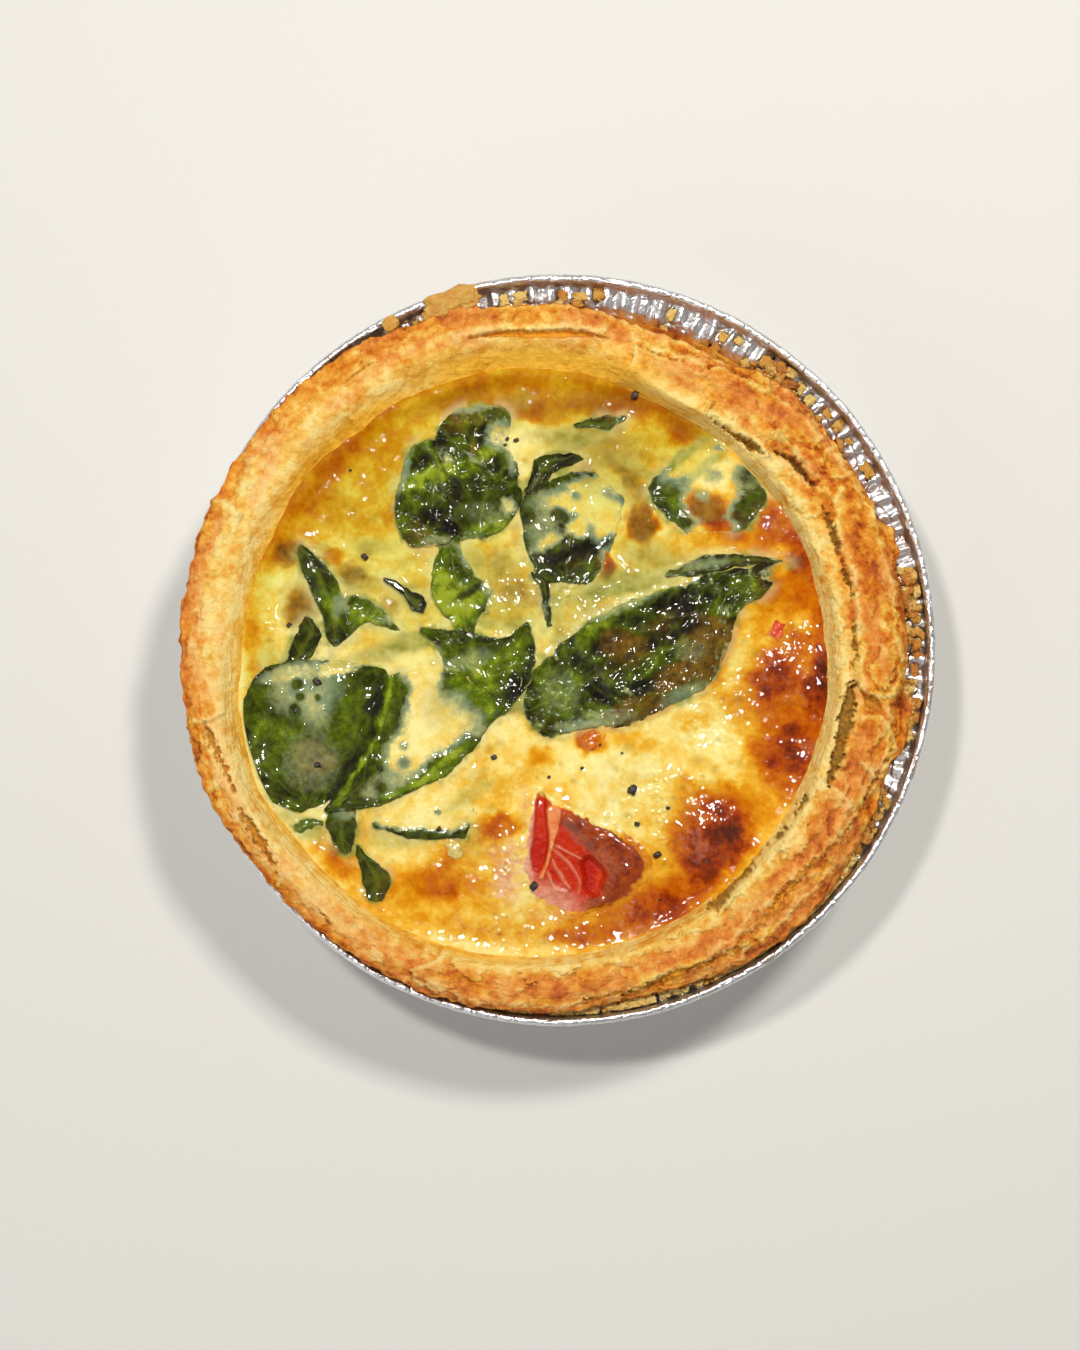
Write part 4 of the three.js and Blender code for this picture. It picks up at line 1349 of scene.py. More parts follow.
WET = Stain(
    blots(
        (600, 650, 60, 34, 25), (660, 605, 80, 18, 20), (640, 660, 60, 26, 25, 0.8),
        (510, 665, 24, 34, 0, 0.9), (560, 925, 120, 26, 4), (480, 860, 60, 40, -20, 0.8),
        (735, 700, 60, 40, 30, 0.8), (700, 830, 46, 46, 0, 0.8), (350, 780, 18, 40, -30, 0.9),
        (385, 705, 18, 30, -30, 0.8), (450, 770, 40, 20, 30, 0.7), (590, 870, 60, 60, 0, 0.9),
        (560, 585, 60, 24, 10, 0.9), (800, 660, 26, 40, 0, 0.7), (780, 520, 24, 24, 0, 0.7),
        (340, 835, 20, 20, 0, 0.9), (375, 885, 14, 18, 0, 0.9), (470, 590, 30, 30, 0, 0.6),
        (640, 790, 60, 30, 0, 0.6), (420, 830, 50, 14, 0, 0.7), (780, 760, 30, 40, 0, 0.5),
        (490, 705, 20, 14, 0, 0.9), (325, 640, 16, 10, 0, 0.5),
        soft=0.5,
    ),
    seed=31,
)

# the even golden tone that the oven gave, deepest at the upper left and round the edge
GOLD = Stain(
    blots(
        (345, 465, 74, 80, 35, 0.22, 0.5), (420, 420, 90, 34, 20, 0.2, 0.5),
        (560, 390, 160, 34, 0, 0.34, 0.5), (325, 470, 12, 90, -42, 0.2), (298, 530, 16, 40, -30, 0.2),
        (262, 640, 20, 120, 5, 0.2), (250, 540, 20, 60, -25, 0.3), (430, 560, 160, 110, 0, 0.1),
        (560, 600, 200, 100, 0, 0.1), (470, 800, 160, 80, 20, 0.16), (650, 430, 60, 50, 30, 0.2, 0.5),
        (600, 480, 70, 60, 0, 0.16, 0.5), (740, 500, 60, 60, 0, 0.24, 0.5),
        (785, 640, 50, 140, 4, 0.34, 0.5), (590, 915, 120, 46, 0, 0.34, 0.5),
        (430, 890, 100, 40, 24, 0.28, 0.5), (360, 850, 60, 40, 40, 0.16, 0.5),
        (680, 880, 60, 60, 0, 0.34, 0.5), (780, 770, 44, 60, 0, 0.36, 0.5), (740, 700, 50, 34, -30, 0.2),
        (310, 490, 16, 70, -40, 0.2), (390, 395, 60, 16, 40, 0.3), (690, 560, 60, 30, 0, 0.14),
        (500, 790, 60, 30, 0, 0.08), (625, 720, 40, 16, 20, 0.2), (694, 764, 44, 22, -20, 0.18),
        (664, 828, 20, 26, 0, 0.24), (320, 520, 14, 30, -30, 0.14), (645, 792, 44, 24, 0, 0.16),
        soft=0.6,
    ),
    seed=13,
    wander=7.0,
    wander_size=22.0,
)

# where the custard is a duller gold
OCHRE = Stain(
    blots(
        (345, 465, 80, 84, 35, 0.9, 0.5), (540, 390, 170, 34, 0, 0.95, 0.5),
        (430, 420, 60, 40, 20, 0.6, 0.5), (676, 434, 66, 44, 30, 0.8, 0.5), (256, 640, 22, 130, 4, 0.5),
        (560, 590, 190, 80, 0, 0.5), (270, 540, 40, 50, -20, 0.6), (600, 470, 70, 50, 0, 0.6),
        (400, 590, 120, 60, 0, 0.5),
        soft=0.6,
    ),
    seed=16,
    wander=8.0,
    wander_size=20.0,
)

# where tomato juice has run into the custard
JUICE = Stain(
    blots(
        (510, 868, 15, 26, -8, 0.75), (525, 806, 5, 20, 6, 0.4), (566, 917, 34, 9, -4, 0.5),
        (504, 892, 14, 12, 0, 0.7), (494, 850, 8, 12, 0, 0.4),
        soft=0.6,
    ),
    seed=17,
    wander=4.0,
    wander_size=8.0,
)


def topping_paint(x: Array, y: Array) -> dict[str, Array]:
    """What is painted on the custard and on all that lies on it, at places in mm.

    Args:
        x: the places' x.
        y: the places' y.

    Returns:
        The painted values, by their names.
    """
    brown = BROWN.at(x, y) * (1 - 0.8 * PALE.at(x, y))
    base = GOLD.at(x, y) * (1 - 0.75 * PALE.at(x, y))
    film = np.clip(FILM.at(x, y) - EYES.at(x, y), 0, 1)
    return {
        "brown": np.maximum(brown, 0) + base * (1 - brown),
        # scorched olive brown; the filling adds painted shade in its bubble pits
        "scorch_and_pit_shade": SCORCH.at(x, y),
        "ochre": OCHRE.at(x, y),
        "film": film,
        "wet": WET.at(x, y),
        "milk": np.zeros(x.shape),
        "green": GREEN.at(x, y),
        "juice": JUICE.at(x, y),
    }


# ---------------------------------------------------------------------------- the foil tin


@dataclass
class FoilTin:
    """A pressed pan: flat base with a raised ring, pleated wall, crimped flange, short lip, rolled bead."""

    rim_radius: float = 63.5
    wall_top_radius: float = 57.4
    wall_top: float = 25.0
    bead_radius: float = 0.7
    bead_height: float = 28.8
    foil: float = 0.3
    flutes: int = 120
    flute_depth: float = 0.42
    steps_per_flute: int = 8

    def profile(self) -> list[tuple[float, float, float, float]]:
        """The section from the base's centre, up the outside, over the bead and back down the inside.

        Returns:
            Rows of radius, height, share of the crimp, and share of the wall's pleats.
        """
        t = self.foil
        wall = [
            (lerp(47.5, self.wall_top_radius, k), lerp(2.5, self.wall_top - 0.6, k), 0.0, 0.25 + 0.75 * k)
            for k in np.linspace(0, 1, 13)
        ]
        under = [
            (1.0, 0.0, 0, 0), (20.0, 0.0, 0, 0), (28.0, 0.0, 0, 0),
            (28.6, 0.15, 0, 0), (29.2, 0.5, 0, 0), (29.8, 0.6, 0, 0),
            (33.2, 0.6, 0, 0), (33.8, 0.5, 0, 0), (34.4, 0.15, 0, 0),
            (35.0, 0.0, 0, 0), (40.0, 0.0, 0, 0), (44.6, 0.0, 0, 0),
            (45.6, 0.15, 0, 0.02), (46.5, 0.7, 0, 0.06), (47.1, 1.5, 0, 0.15), *wall,
            (57.6, 25.0, 0.1, 0.9), (58.1, 25.5, 0.5, 0.5), (58.8, 25.75, 0.9, 0.2), (59.8, 25.9, 1.0, 0.0),
            (60.8, 26.0, 1.0, 0.0), (61.6, 26.1, 0.9, 0.0), (62.2, 26.35, 0.5, 0.0),
            (62.38, 27.0, 0.2, 0.0), (62.42, 27.9, 0.1, 0.0),
        ]
        centre = self.rim_radius - self.bead_radius
        bead = [
            (
                centre + self.bead_radius * math.cos(a),
                self.bead_height + self.bead_radius * math.sin(a),
                0.0,
                0.0,
            )
            for a in np.radians(np.linspace(-100, 190, 13))
        ]
        inside = [
            (62.15, 28.3, 0.05, 0), (62.15, 27.6, 0.1, 0), (62.12, 27.0, 0.2, 0),
            (61.95, 26.6, 0.5, 0), (61.5, 26.45, 0.9, 0),
            (60.4, 26.35, 1.0, 0), (59.6, 26.25, 1.0, 0), (58.8, 26.1, 0.95, 0.1),
            (58.0, 25.8, 0.6, 0.3), (57.3, 25.2, 0.2, 0.8),
            (56.8, 24.2, 0, 1.0), (52.0, 13.0, 0, 0.6), (47.3, 2.9, 0, 0.2), (45.0, t, 0, 0), (1.0, t, 0, 0),
        ]
        return [*under, *bead, *inside]

    def build(self) -> bpy.types.Object:
        """Makes the tin.

        Returns:
            The tin.
        """
        count = self.flutes * self.steps_per_flute
        angle = np.arange(count) * 360.0 / count
        radius, height, crimp, pleat = (np.array(v, float)[:, None] for v in zip(*self.profile()))
        noise = Noise(5)
        a = np.radians(angle)[None, :]
        ring_x, ring_y = 10 * np.cos(a), 10 * np.sin(a)
        drift = 0.9 * noise.rough(ring_x * 2, ring_y * 2, 3.0, 3)
        wave = np.tanh(2.4 * np.cos(self.flutes * a + drift)) / math.tanh(2.4)
        uneven = 1 + 0.8 * noise.rough(ring_x * 1.8, ring_y * 1.8, 8.0, 2)
        z = height - crimp * self.flute_depth * wave * np.clip(uneven, 0.35, 1.35)
        folds = np.abs(np.sin(0.5 * self.flutes * a + 1.6 * drift)) ** 0.7 - 0.6
        r = radius + pleat * 0.34 * folds * np.clip(uneven, 0.4, 1.4)
        dents = 0.13 * noise.rough(ring_x * 1.1, ring_y * 1.1, radius * 0.15 + height * 0.1, 3)
        creased = noise.ridged(ring_x * 3.1, ring_y * 3.1, radius * 0.5 + height * 0.4)
        rough = (
            0.06 * noise.rough(ring_x * 5, ring_y * 5, radius * 0.6 + height * 0.6, 2)
            + 0.2 * creased
            - 0.1
        )
        thin = smooth(44.0, 50.0, radius)
        r = r + thin * (dents + rough) * np.where(radius > 62.4, 0.6, 1.0)
        z = z + thin * 0.8 * rough
        r = np.minimum(r, self.rim_radius + 0.25)
        butter = smooth(60.0, 62.0, radius) * 0.3 + 0.1 + 0 * a
        crumpled = 0.15 + 0.85 * smooth(56.5, 59.0, radius) + 0 * a
        skin = round_skin("foil_tin_piece", r, z, angle, {"butter": butter, "crumpled": crumpled})
        return skin.build(FoilFinish().build(), "foil", ("foil_tin",))


# ---------------------------------------------------------------------------- the pastry crust


class Run(Enum):
    """Which way an edge of a flake runs."""

    ROUND = "round the rim"
    ACROSS = "across the rim"


@dataclass(frozen=True)
class Crack:
    """A split in the rim, painted dark inside as shade: places as angle, radius and half width, its depth,
    and how golden it is inside.
    """

    places: tuple[tuple[float, float, float], ...]
    depth: float
    glow: float = 0.0
    ragged: float = 0.3


@dataclass(frozen=True)
class Ledge:
    """The raised edge of a flake, or of a whole layer.

    places are angle and radius. side is 1 where the flake lies outwards (or at the greater angle), and -1
    where it lies inwards. height is how far its edge curls up, and drop how far the rim is lower beyond it.
    """

    run: Run
    places: tuple[tuple[float, float], ...]
    height: float
    side: int
    fade: float = 5.0
    drop: float = 0.0


CRACKS = (
    # between the thin inner layer and the rim, from the lower right round to the top right
    Crack(
        (
            (-60.5, 49.6, 0.0), (-58.5, 50.2, 0.9), (-55.5, 49.3, 0.8), (-52.5, 48.9, 0.45), (-50, 48.5, 0.5),
            (-46, 47.9, 0.2), (-43, 47.8, 0.0),
        ),
        1.9, 0.36, 0.7,
    ),
    Crack(
        ((-43, 48.0, 0.0), (-40, 48.3, 0.3), (-36, 48.4, 0.2), (-33, 48.2, 0.35), (-29.5, 47.9, 0.0)),
        1.5, 0.3, 0.7,
    ),
    Crack(
        (
            (-27, 50.4, 0.0), (-24, 50.0, 0.6), (-21, 49.8, 1.0), (-18, 49.5, 0.8), (-14, 49.2, 1.3),
            (-10, 49.1, 1.0), (-7.5, 49.3, 0.6), (-5, 49.6, 0.0),
        ),
        2.1, 0.34, 0.9,
    ),
    Crack(((-5.5, 49.0, 0.0), (-2, 49.2, 0.3), (3, 49.3, 0.2), (6, 49.5, 0.0)), 1.0, 0.4, 0.8),
    Crack(
        (
            (9, 49.6, 0.0), (12, 49.7, 0.3), (15, 49.5, 0.45), (18, 49.4, 0.12), (22, 49.8, 0.45),
            (27, 49.9, 0.25), (29, 50.0, 0.0),
        ),
        1.4, 0.35, 0.8,
    ),
    Crack(
        ((32.5, 50.7, 0.0), (35, 50.4, 0.35), (37.5, 50.4, 0.7), (40, 49.9, 0.5), (43.5, 48.9, 0.0)),
        2.0, 0.2, 0.6,
    ),
    Crack(
        ((43.8, 47.4, 0.0), (46.5, 46.9, 0.7), (49, 46.7, 0.55), (52, 46.3, 0.2), (57, 46.2, 0.0)),
        1.8, 0.25, 0.5,
    ),
    Crack(((58.0, 48.6, 0.25), (58.25, 46.4, 0.0)), 0.8, 0.3, 0.4),
    # the long tear along the top
    Crack(
        (
            (80.5, 52.6, 0.0), (84, 53.1, 0.3), (89, 53.0, 0.7), (95, 53.1, 0.6), (100, 53.8, 0.5),
            (104, 54.2, 0.25), (108, 54.4, 0.0),
        ),
        1.3, 0.95, 0.4,
    ),
    Crack(((66.5, 52.6, 0.0), (69, 52.1, 0.12), (72, 52.1, 0.16), (76, 52.8, 0.0)), 0.6, 0.45, 0.4),
    Crack(((122.5, 57.3, 0.0), (124.5, 57.7, 0.18), (128.2, 57.5, 0.2), (129, 57.4, 0.0)), 0.8, 0.4, 0.3),
    # crumbly splits on the left shoulder
    Crack(
        ((191.8, 60.6, 0.0), (194, 60.3, 0.4), (198, 59.8, 0.45), (201.5, 59.4, 0.2), (204, 59.4, 0.0)),
        0.8, 0.6, 0.9,
    ),
    Crack(
        ((206, 60.2, 0.0), (208.5, 59.6, 0.5), (212, 59.5, 0.7), (215.5, 59.9, 0.5), (218, 60.4, 0.0)),
        1.0, 0.65, 1.0,
    ),
    Crack(((229.4, 61.0, 0.0), (229.9, 60.2, 0.3), (228.6, 59.6, 0.2), (226.5, 59.4, 0.0)), 0.8, 0.4, 0.4),
    # layers that have parted along the bottom
    Crack(
        (
            (273.5, 59.2, 0.0), (275, 58.9, 0.2), (280, 58.5, 0.4), (283.5, 58.3, 0.1), (284.5, 58.1, 0.35),
            (289, 57.7, 0.6), (293.5, 57.8, 0.4), (297, 58.5, 0.3), (301, 58.4, 0.0),
        ),
        0.7, 1.0, 1.3,
    ),
    Crack(
        (
            (301, 58.0, 0.0), (306, 57.3, 0.35), (309, 56.4, 0.1), (312, 55.6, 0.5), (317, 54.9, 0.4),
            (322, 55.9, 0.2), (329, 56.8, 0.0),
        ),
        0.7, 0.95, 1.4,
    ),
    Crack(((333, 56.8, 0.0), (337, 57.2, 0.3), (341, 57.6, 0.2), (343, 58.4, 0.0)), 1.0, 0.45, 0.7),
    Crack(((-10.6, 54.8, 0.2), (-9.6, 52.8, 1.2), (-8.4, 51.4, 0.3), (-7.6, 50.6, 0.0)), 1.2, 0.7, 0.3),
)

LEDGES = (
    # the layers that step down to the outside, from the lower left round to the top right
    Ledge(
        Run.ROUND,
        (
            (246, 61.0), (252, 60.4), (258, 60.6), (264, 60.0), (270, 60.2), (275, 58.9), (280, 58.5),
            (284, 57.9), (289, 57.2), (294, 57.4), (299, 57.6),
        ),
        0.45, -1, 3.0, 0.3,
    ),
    Ledge(
        Run.ROUND,
        (
            (296, 57.2), (301, 56.6), (305, 54.9), (311, 54.5), (318, 55.0), (324, 55.5), (329, 56.8),
            (332.5, 55.6),
        ),
        0.5, -1, 3.5, 0.4,
    ),
    Ledge(
        Run.ROUND,
        ((332, 56.4), (336, 57.6), (341, 58.0), (346, 57.2), (351, 56.6), (356, 57.4), (362, 57.2)),
        0.4, -1, 3.0, 0.6,
    ),
    Ledge(
        Run.ROUND,
        ((-1, 57.0), (4, 56.6), (9, 57.2), (14, 56.8), (20, 57.4), (26, 57.0), (31, 56.6)),
        0.35, -1, 3.0, 0.5,
    ),
    Ledge(
        Run.ROUND,
        ((300, 59.9), (306, 59.2), (312, 58.6), (318, 58.8), (324, 59.3), (330, 59.9)), 0.4, -1, 2.0, 0.35,
    ),
    Ledge(Run.ROUND, ((38, 56.2), (43, 56.8), (49, 56.0), (55, 55.4), (60, 54.6)), 0.35, -1, 2.5, 0.5),
    # the inner edges of the plates, over the custard
    Ledge(
        Run.ROUND, ((303, 49.6), (309, 49.0), (314, 48.1), (320, 48.7), (326, 48.2), (333.5, 48.1)), 0.9, 1
    ),
    Ledge(
        Run.ROUND,
        (
            (-7.5, 50.8), (-4, 50.2), (0, 50.6), (5, 50.0), (10, 50.4), (16, 50.8), (22, 50.2), (27, 51.4),
            (30, 53.6),
        ),
        0.9, 1,
    ),
    Ledge(Run.ROUND, ((29, 51.8), (34, 51.3), (40, 51.2), (46, 50.9)), 0.7, 1),
    Ledge(Run.ROUND, ((30.5, 51.9), (36, 49.8), (41, 48.6), (44.5, 47.2)), 0.5, -1, 3.0),
    Ledge(Run.ROUND, ((43.5, 47.6), (48, 47.6), (53, 46.8), (58.3, 46.2)), 0.7, 1),
    # breaks across the rim
    Ledge(Run.ACROSS, ((31.0, 56.8), (31.3, 55.0), (32.2, 53.8)), 0.7, 1, 2.5),
    Ledge(Run.ACROSS, ((37.0, 57.2), (37.2, 55.6), (36.2, 54.0)), 0.6, -1, 2.5),
    Ledge(Run.ACROSS, ((38.2, 57.6), (38.8, 55.6), (39.6, 54.4)), 0.5, 1, 3.0),
    Ledge(Run.ACROSS, ((76.2, 52.0), (76.0, 50.0), (77.2, 47.8), (78.4, 46.2)), 0.8, -1, 4.0),
    Ledge(Run.ROUND, ((81, 53.7), (89, 53.9), (97, 54.0), (104, 54.9), (109, 55.2)), 0.5, 1, 3.0),
    Ledge(Run.ROUND, ((60, 54.3), (66, 53.2), (72, 52.8), (78, 54.2)), 0.5, 1, 3.0),
    Ledge(Run.ACROSS, ((131.2, 56.0), (131.0, 54.4)), 0.35, 1, 2.0),
    Ledge(Run.ACROSS, ((156.2, 63.2), (156.0, 60.8), (156.8, 58.2)), 0.9, 1, 6.0),
    Ledge(Run.ACROSS, ((191.3, 62.6), (191.6, 60.0), (190.8, 57.2)), 0.6, -1, 4.0),
    Ledge(Run.ROUND, ((191, 59.9), (198, 59.0), (205, 59.1), (212, 58.6), (219, 59.6)), 0.4, -1, 4.0),
    Ledge(Run.ACROSS, ((219.5, 61.8), (218.4, 59.8), (220.0, 57.6)), 0.5, 1, 4.0),
    Ledge(Run.ACROSS, ((245.5, 59.6), (244.6, 59.2), (248.0, 56.0), (249.0, 53.4)), 0.9, 1, 6.0),
    Ledge(Run.ACROSS, ((332.0, 55.4), (333.2, 53.0), (333.6, 50.0), (333.8, 48.4)), 0.7, -1, 4.0),
    Ledge(Run.ACROSS, ((338.2, 58.8), (337.6, 56.4), (339.6, 53.0)), 0.7, 1, 5.0),
    Ledge(Run.ACROSS, ((343.8, 59.2), (347.6, 56.4), (348.6, 54.6), (347.8, 51.8)), 0.7, -1, 5.0),
    Ledge(Run.ACROSS, ((352.2, 57.2), (351.2, 54.0), (351.8, 51.6), (354.0, 49.6)), 0.8, 1, 5.0),
)


@dataclass
class PastryCrust:
    """A shell of short pastry: base and wall inside the tin, and a thick flaky rim that shows."""

    cx: float = -2.9
    cy: float = -1.2
    radius: float = 61.0
    seat: float = 27.3
    overhang: float = 30.05
    crown: float = 32.3
    columns: int = 1200
    rows_across: int = 64
    rows_side: int = 8
    flakes: int = 900
    inside_lip: float = 61.4
    highest: float = 33.8
    easing: float = 0.5

    def plain_outline(self, angle: Array) -> Array:
        """The rim's outer edge, seen from above, without the tongues that stick out of it.

        Args:
            angle: degrees round the pie.

        Returns:
            The edge's distance from the axis, in mm.
        """
        r = reach(angle, self.cx, self.cy, self.radius) + 0.45 * ripple(angle, 0.4)
        r = r - 2.9 * over(angle, 56, 80, 7) - 1.4 * over(angle, 80, 118, 7) - 1.6 * over(angle, 210, 290, 12)
        return r + 1.2 * over(angle, 300, 335, 10)

    def outline(self, angle: Array) -> Array:
        """The rim's outer edge with its tongues.

        Args:
            angle: degrees round the pie.

        Returns:
            The edge's distance from the axis, in mm.
        """
        r = self.plain_outline(angle)
        for at, half, tip, soft in ((107.6, 4.2, 60.6, 0.8), (18.0, 3.0, 59.6, 1.2), (347.0, 5.0, 60.2, 1.2)):
            r = lerp(r, np.maximum(r, tip), over(angle, at - half, at + half, soft))
        return r

    def hang(self, angle: Array) -> Array:
        """1 where the rim hangs over the tin's bead, 0 where it stays inside the lip."""
        return smooth(60.4, 61.2, self.plain_outline(angle))

    def body(self, angle: Array, across: Array) -> Array:
        """The smooth height of the rim, across from 0 at the custard to 1 at the outside.

        Args:
            angle: degrees round the pie.
            across: the place across the rim.

        Returns:
            The height at each place, in mm.
        """
        start = FILLING.level + FILLING.edge_rise - 0.6
        steep = lerp(0.16, 0.42, over(angle, 78, 250, 14)) + 0.14 * over(angle, 76, 124, 10)
        rise = smooth(-0.07, steep, across)
        fall = smooth(0.6, 1.06, across)
        deep = lerp(2.2, 1.2, smooth(60.4, 61.2, self.plain_outline(angle)))
        z = lerp(start, self.crown, rise) - deep * fall
        return z + 0.35 * ripple(angle + 40 * across, 2.2) * rise

    def scales(self, radius: Array, arc: Array, rag: Array, dense: Array) -> Array:
        """The height of many thin ragged flakes that lie over one another.

        Args:
            radius: mm from the axis, one row for each ring.
            arc: mm round the rim of each column.
            rag: unevenness for their edges, shaped as radius.
            dense: how likely and how thick flakes are at each place, from 0 to 1.

        Returns:
            What the flakes add to the height.
        """
        rng = np.random.default_rng(44)
        lift = np.zeros(radius.shape)
        step = arc[1] - arc[0]
        for _ in range(self.flakes):
            column = int(rng.integers(self.columns))
            row = int(rng.uniform(0.06, 1.0) * (self.rows_across - 1))
            long, shift, tilt = rng.uniform(0.8, 3.8), int(rng.integers(self.columns)), rng.normal(0, 0.4)
            wide, thick = long * rng.uniform(0.32, 0.7), rng.uniform(0.14, 0.46)
            likely = dense[row, column]
            if rng.uniform() > 0.15 + 0.85 * likely:
                continue
            reach_ = int(long * 1.5 / step)
            columns = (column + np.arange(-reach_, reach_ + 1)) % self.columns
            along = (np.arange(-reach_, reach_ + 1) * step)[None, :]
            up = radius[:, columns] - radius[row, column]
            u, v = along + tilt * up, up - tilt * along
            away = (
                (np.abs(u / long) ** 2.6 + np.abs(v / wide) ** 2.6) ** (1 / 2.6)
                + 0.34 * rag[:, (columns + shift) % self.columns]
            )
            base = 0.75 * lift[row, column] + thick * (0.4 + 0.6 * likely)
            scale = (base + 0.12 * v / wide) * smooth(1.0, 0.84, away)
            lift[:, columns] = np.maximum(lift[:, columns], scale)
        return lift

    def relief(self, angle: Array, radius: Array, across: Array) -> tuple[Array, dict[str, Array]]:
        """The flakes, ledges and cracks of the rim.

        Args:
            angle: degrees, one row for each ring.
            radius: mm from the axis, the same.
            across: the share of the rim's width, the same.

        Returns:
            What to add to the smooth height, and the values to paint.
        """
        noise = Noise(41)
        a = np.radians(angle)
        ring_x, ring_y = RIM_MIDDLE * np.cos(a), RIM_MIDDLE * np.sin(a)
        arc = a * RIM_MIDDLE

        def along(size: float, width: float, layer: float, octaves: int = 3) -> Array:
            """Noise stretched along the rim."""
            return noise.rough(ring_x / size, ring_y / size, radius / width + layer, octaves)

        outer = smooth(0.5, 0.9, across)
        lower_right = over(angle, 240, 420, 12)
        crumbly = np.clip(
            over(angle, 284, 352, 5) * smooth(55.4, 57.4, radius)
            + 0.8 * over(angle, 190, 220, 4) * smooth(58.4, 59.6, radius)
            + 0.6 * over(angle, -8, 125, 8) * outer
            + 0.5 * over(angle, 328, 350, 3) * (1 - smooth(54, 55, radius))
            + 0.6 * over(angle, -62, 34, 5) * (1 - smooth(0.16, 0.34, across))
            + 0.4 * over(angle, 118, 200, 8) * outer,
            0,
            1,
        )
        smooth_band = np.maximum(
            over(angle, 60, 245, 8) * (1 - smooth(0.45, 0.62, across)),
            0.8 * (1 - smooth(0.1, 0.2, across)) * over(angle, 60, 255, 8),
        )
        dense = np.clip(0.3 + 0.35 * lower_right + 0.3 * outer + 0.4 * crumbly - 0.75 * smooth_band, 0.0, 1)
        rag = noise.rough(arc / 0.75, radius / 0.75, 30.0, 3) + 0.6 * noise.at(arc / 2.2, radius / 2.2, 31.0)
        z = 0.24 * along(9.0, 4.0, 0.0) + 0.14 * along(3.2, 1.6, 20.0) * (1 - 0.4 * smooth_band)
        flaky = self.scales(radius, arc[0], rag, dense)
        z = z + flaky * (0.5 + 0.5 * dense) - 0.12
        creases = noise.ridged(ring_x / 1.1, ring_y / 1.1, radius / 9.0 + 70)
        creases = 0.26 * creases * over(angle, 140, 176, 8) * smooth(0.15, 0.35, across)
        z = z - creases * (1 - smooth(0.8, 0.95, across))
        grit = noise.rough(ring_x / 0.8, ring_y / 0.8, radius / 0.8, 3)
        z = z + grit * (0.03 + 0.07 * dense + 0.2 * crumbly)
        z = z - 0.9 * over(angle, 149, 155.8, 1.0) * smooth(59.4, 61.6, radius)
        ragged = 0.22 * rag
        jagged = 0.7 * noise.rough(ring_x / 2.4, ring_y / 2.4, radius / 6.0 + 60.0, 3)
        # where the ledges' edges curl up, for the painted highlight along them
        edges = np.zeros(z.shape)
        for ledge in LEDGES:
            turn, far = (np.array(v, float) for v in zip(*ledge.places))
            if ledge.run is Run.ROUND:
                middle = (turn[0] + turn[-1]) / 2
                here = signed_apart(angle, middle)
                edge = np.interp(here, turn - middle, far)
                span = (turn[-1] - turn[0]) / 2
                within = 1 - smooth(span - 0.8, span + 1.2, np.abs(here) + 3 * ragged)
                inside = ledge.side * (radius - edge) + ragged * 1.5 + jagged
            else:
                order = np.argsort(far)
                edge = np.interp(radius, far[order], turn[order])
                within = (
                    smooth(far.min() - 0.7, far.min() + 0.2, radius)
                    * (1 - smooth(far.max() - 0.2, far.max() + 0.9, radius))
                )
                inside = ledge.side * np.radians(signed_apart(angle, edge)) * RIM_MIDDLE + ragged
                within = within * (np.abs(inside) < 3 * ledge.fade)
            if ledge.run is Run.ROUND:
                steps = (
                    smooth(-0.05, 0.14, inside + 0.4 * k + (k > 0) * np.roll(ragged, 97 * k, axis=1))
                    for k in (0, 1, 2)
                )
                on = sum(steps) / 3
            else:
                on = smooth(-0.05, 0.14, inside)
            curl = ledge.height * on * np.exp(-np.maximum(inside, 0) / ledge.fade)
            z = z + within * (curl - ledge.drop * (1 - on))
            edges = np.maximum(edges, within * np.exp(-np.abs(inside - 0.25) / 0.35))
        # painted shade in the cracks: the pastry is painted dark where they shut, golden only as far as glow
        # reaches
        crack_shade = np.zeros(z.shape)
        glow = np.zeros(z.shape)
        for crack in CRACKS:
            turn, far, _ = (np.array(v, float) for v in zip(*crack.places))
            middle = (turn.min() + turn.max()) / 2
            here = signed_apart(angle, middle)
            near = (
                (np.abs(here) < (turn.max() - turn.min()) / 2 + 2)
                & (radius > far.min() - 3)
                & (radius < far.max() + 3)
            )
            line = Stroke(tuple((math.radians(t - middle) * RIM_MIDDLE, r, w) for t, r, w in crack.places))
            best = line.outside(np.radians(here[near]) * RIM_MIDDLE, radius[near])
            best = best + crack.ragged * 0.8 * rag[near] * (0.35 + 0.65 * smooth(-1.0, 0.2, best))
            floor = 0.85 + 0.25 * rag[near]
            z[near] = (
                z[near]
                - crack.depth * floor * smooth(0.12, -0.3, best)
                + 0.14 * np.exp(-np.abs(best - 0.3) / 0.3)
            )
            shut = smooth(0.06, -0.3, best)
            crack_shade[near] = np.maximum(crack_shade[near], shut)
            golden = np.clip(crack.glow + 0.3 * (1 - shut) + 0.15 * rag[near], 0, 1)
            glow[near] = np.where(shut > 0.02, golden, glow[near])
        # painted shade and light: how far each place lies below the mean of its neighbours, painted darker in
        # hollows and paler on what stands above
        around = sum(np.roll(z, k, axis=1) for k in (-6, -4, -2, 0, 2, 4, 6)) / 7
        around = sum(around[np.clip(np.arange(len(z)) + k, 0, len(z) - 1)] for k in (-5, -3, -1, 1, 3, 5)) / 6
        hollow = np.clip((around - z) / 0.5, -0.5, 1)
        toast = (
            self.toast(angle, across)
            + 0.15 * along(7.0, 4.0, 150.0)
            + 0.1 * along(2.0, 1.4, 160.0)
        )
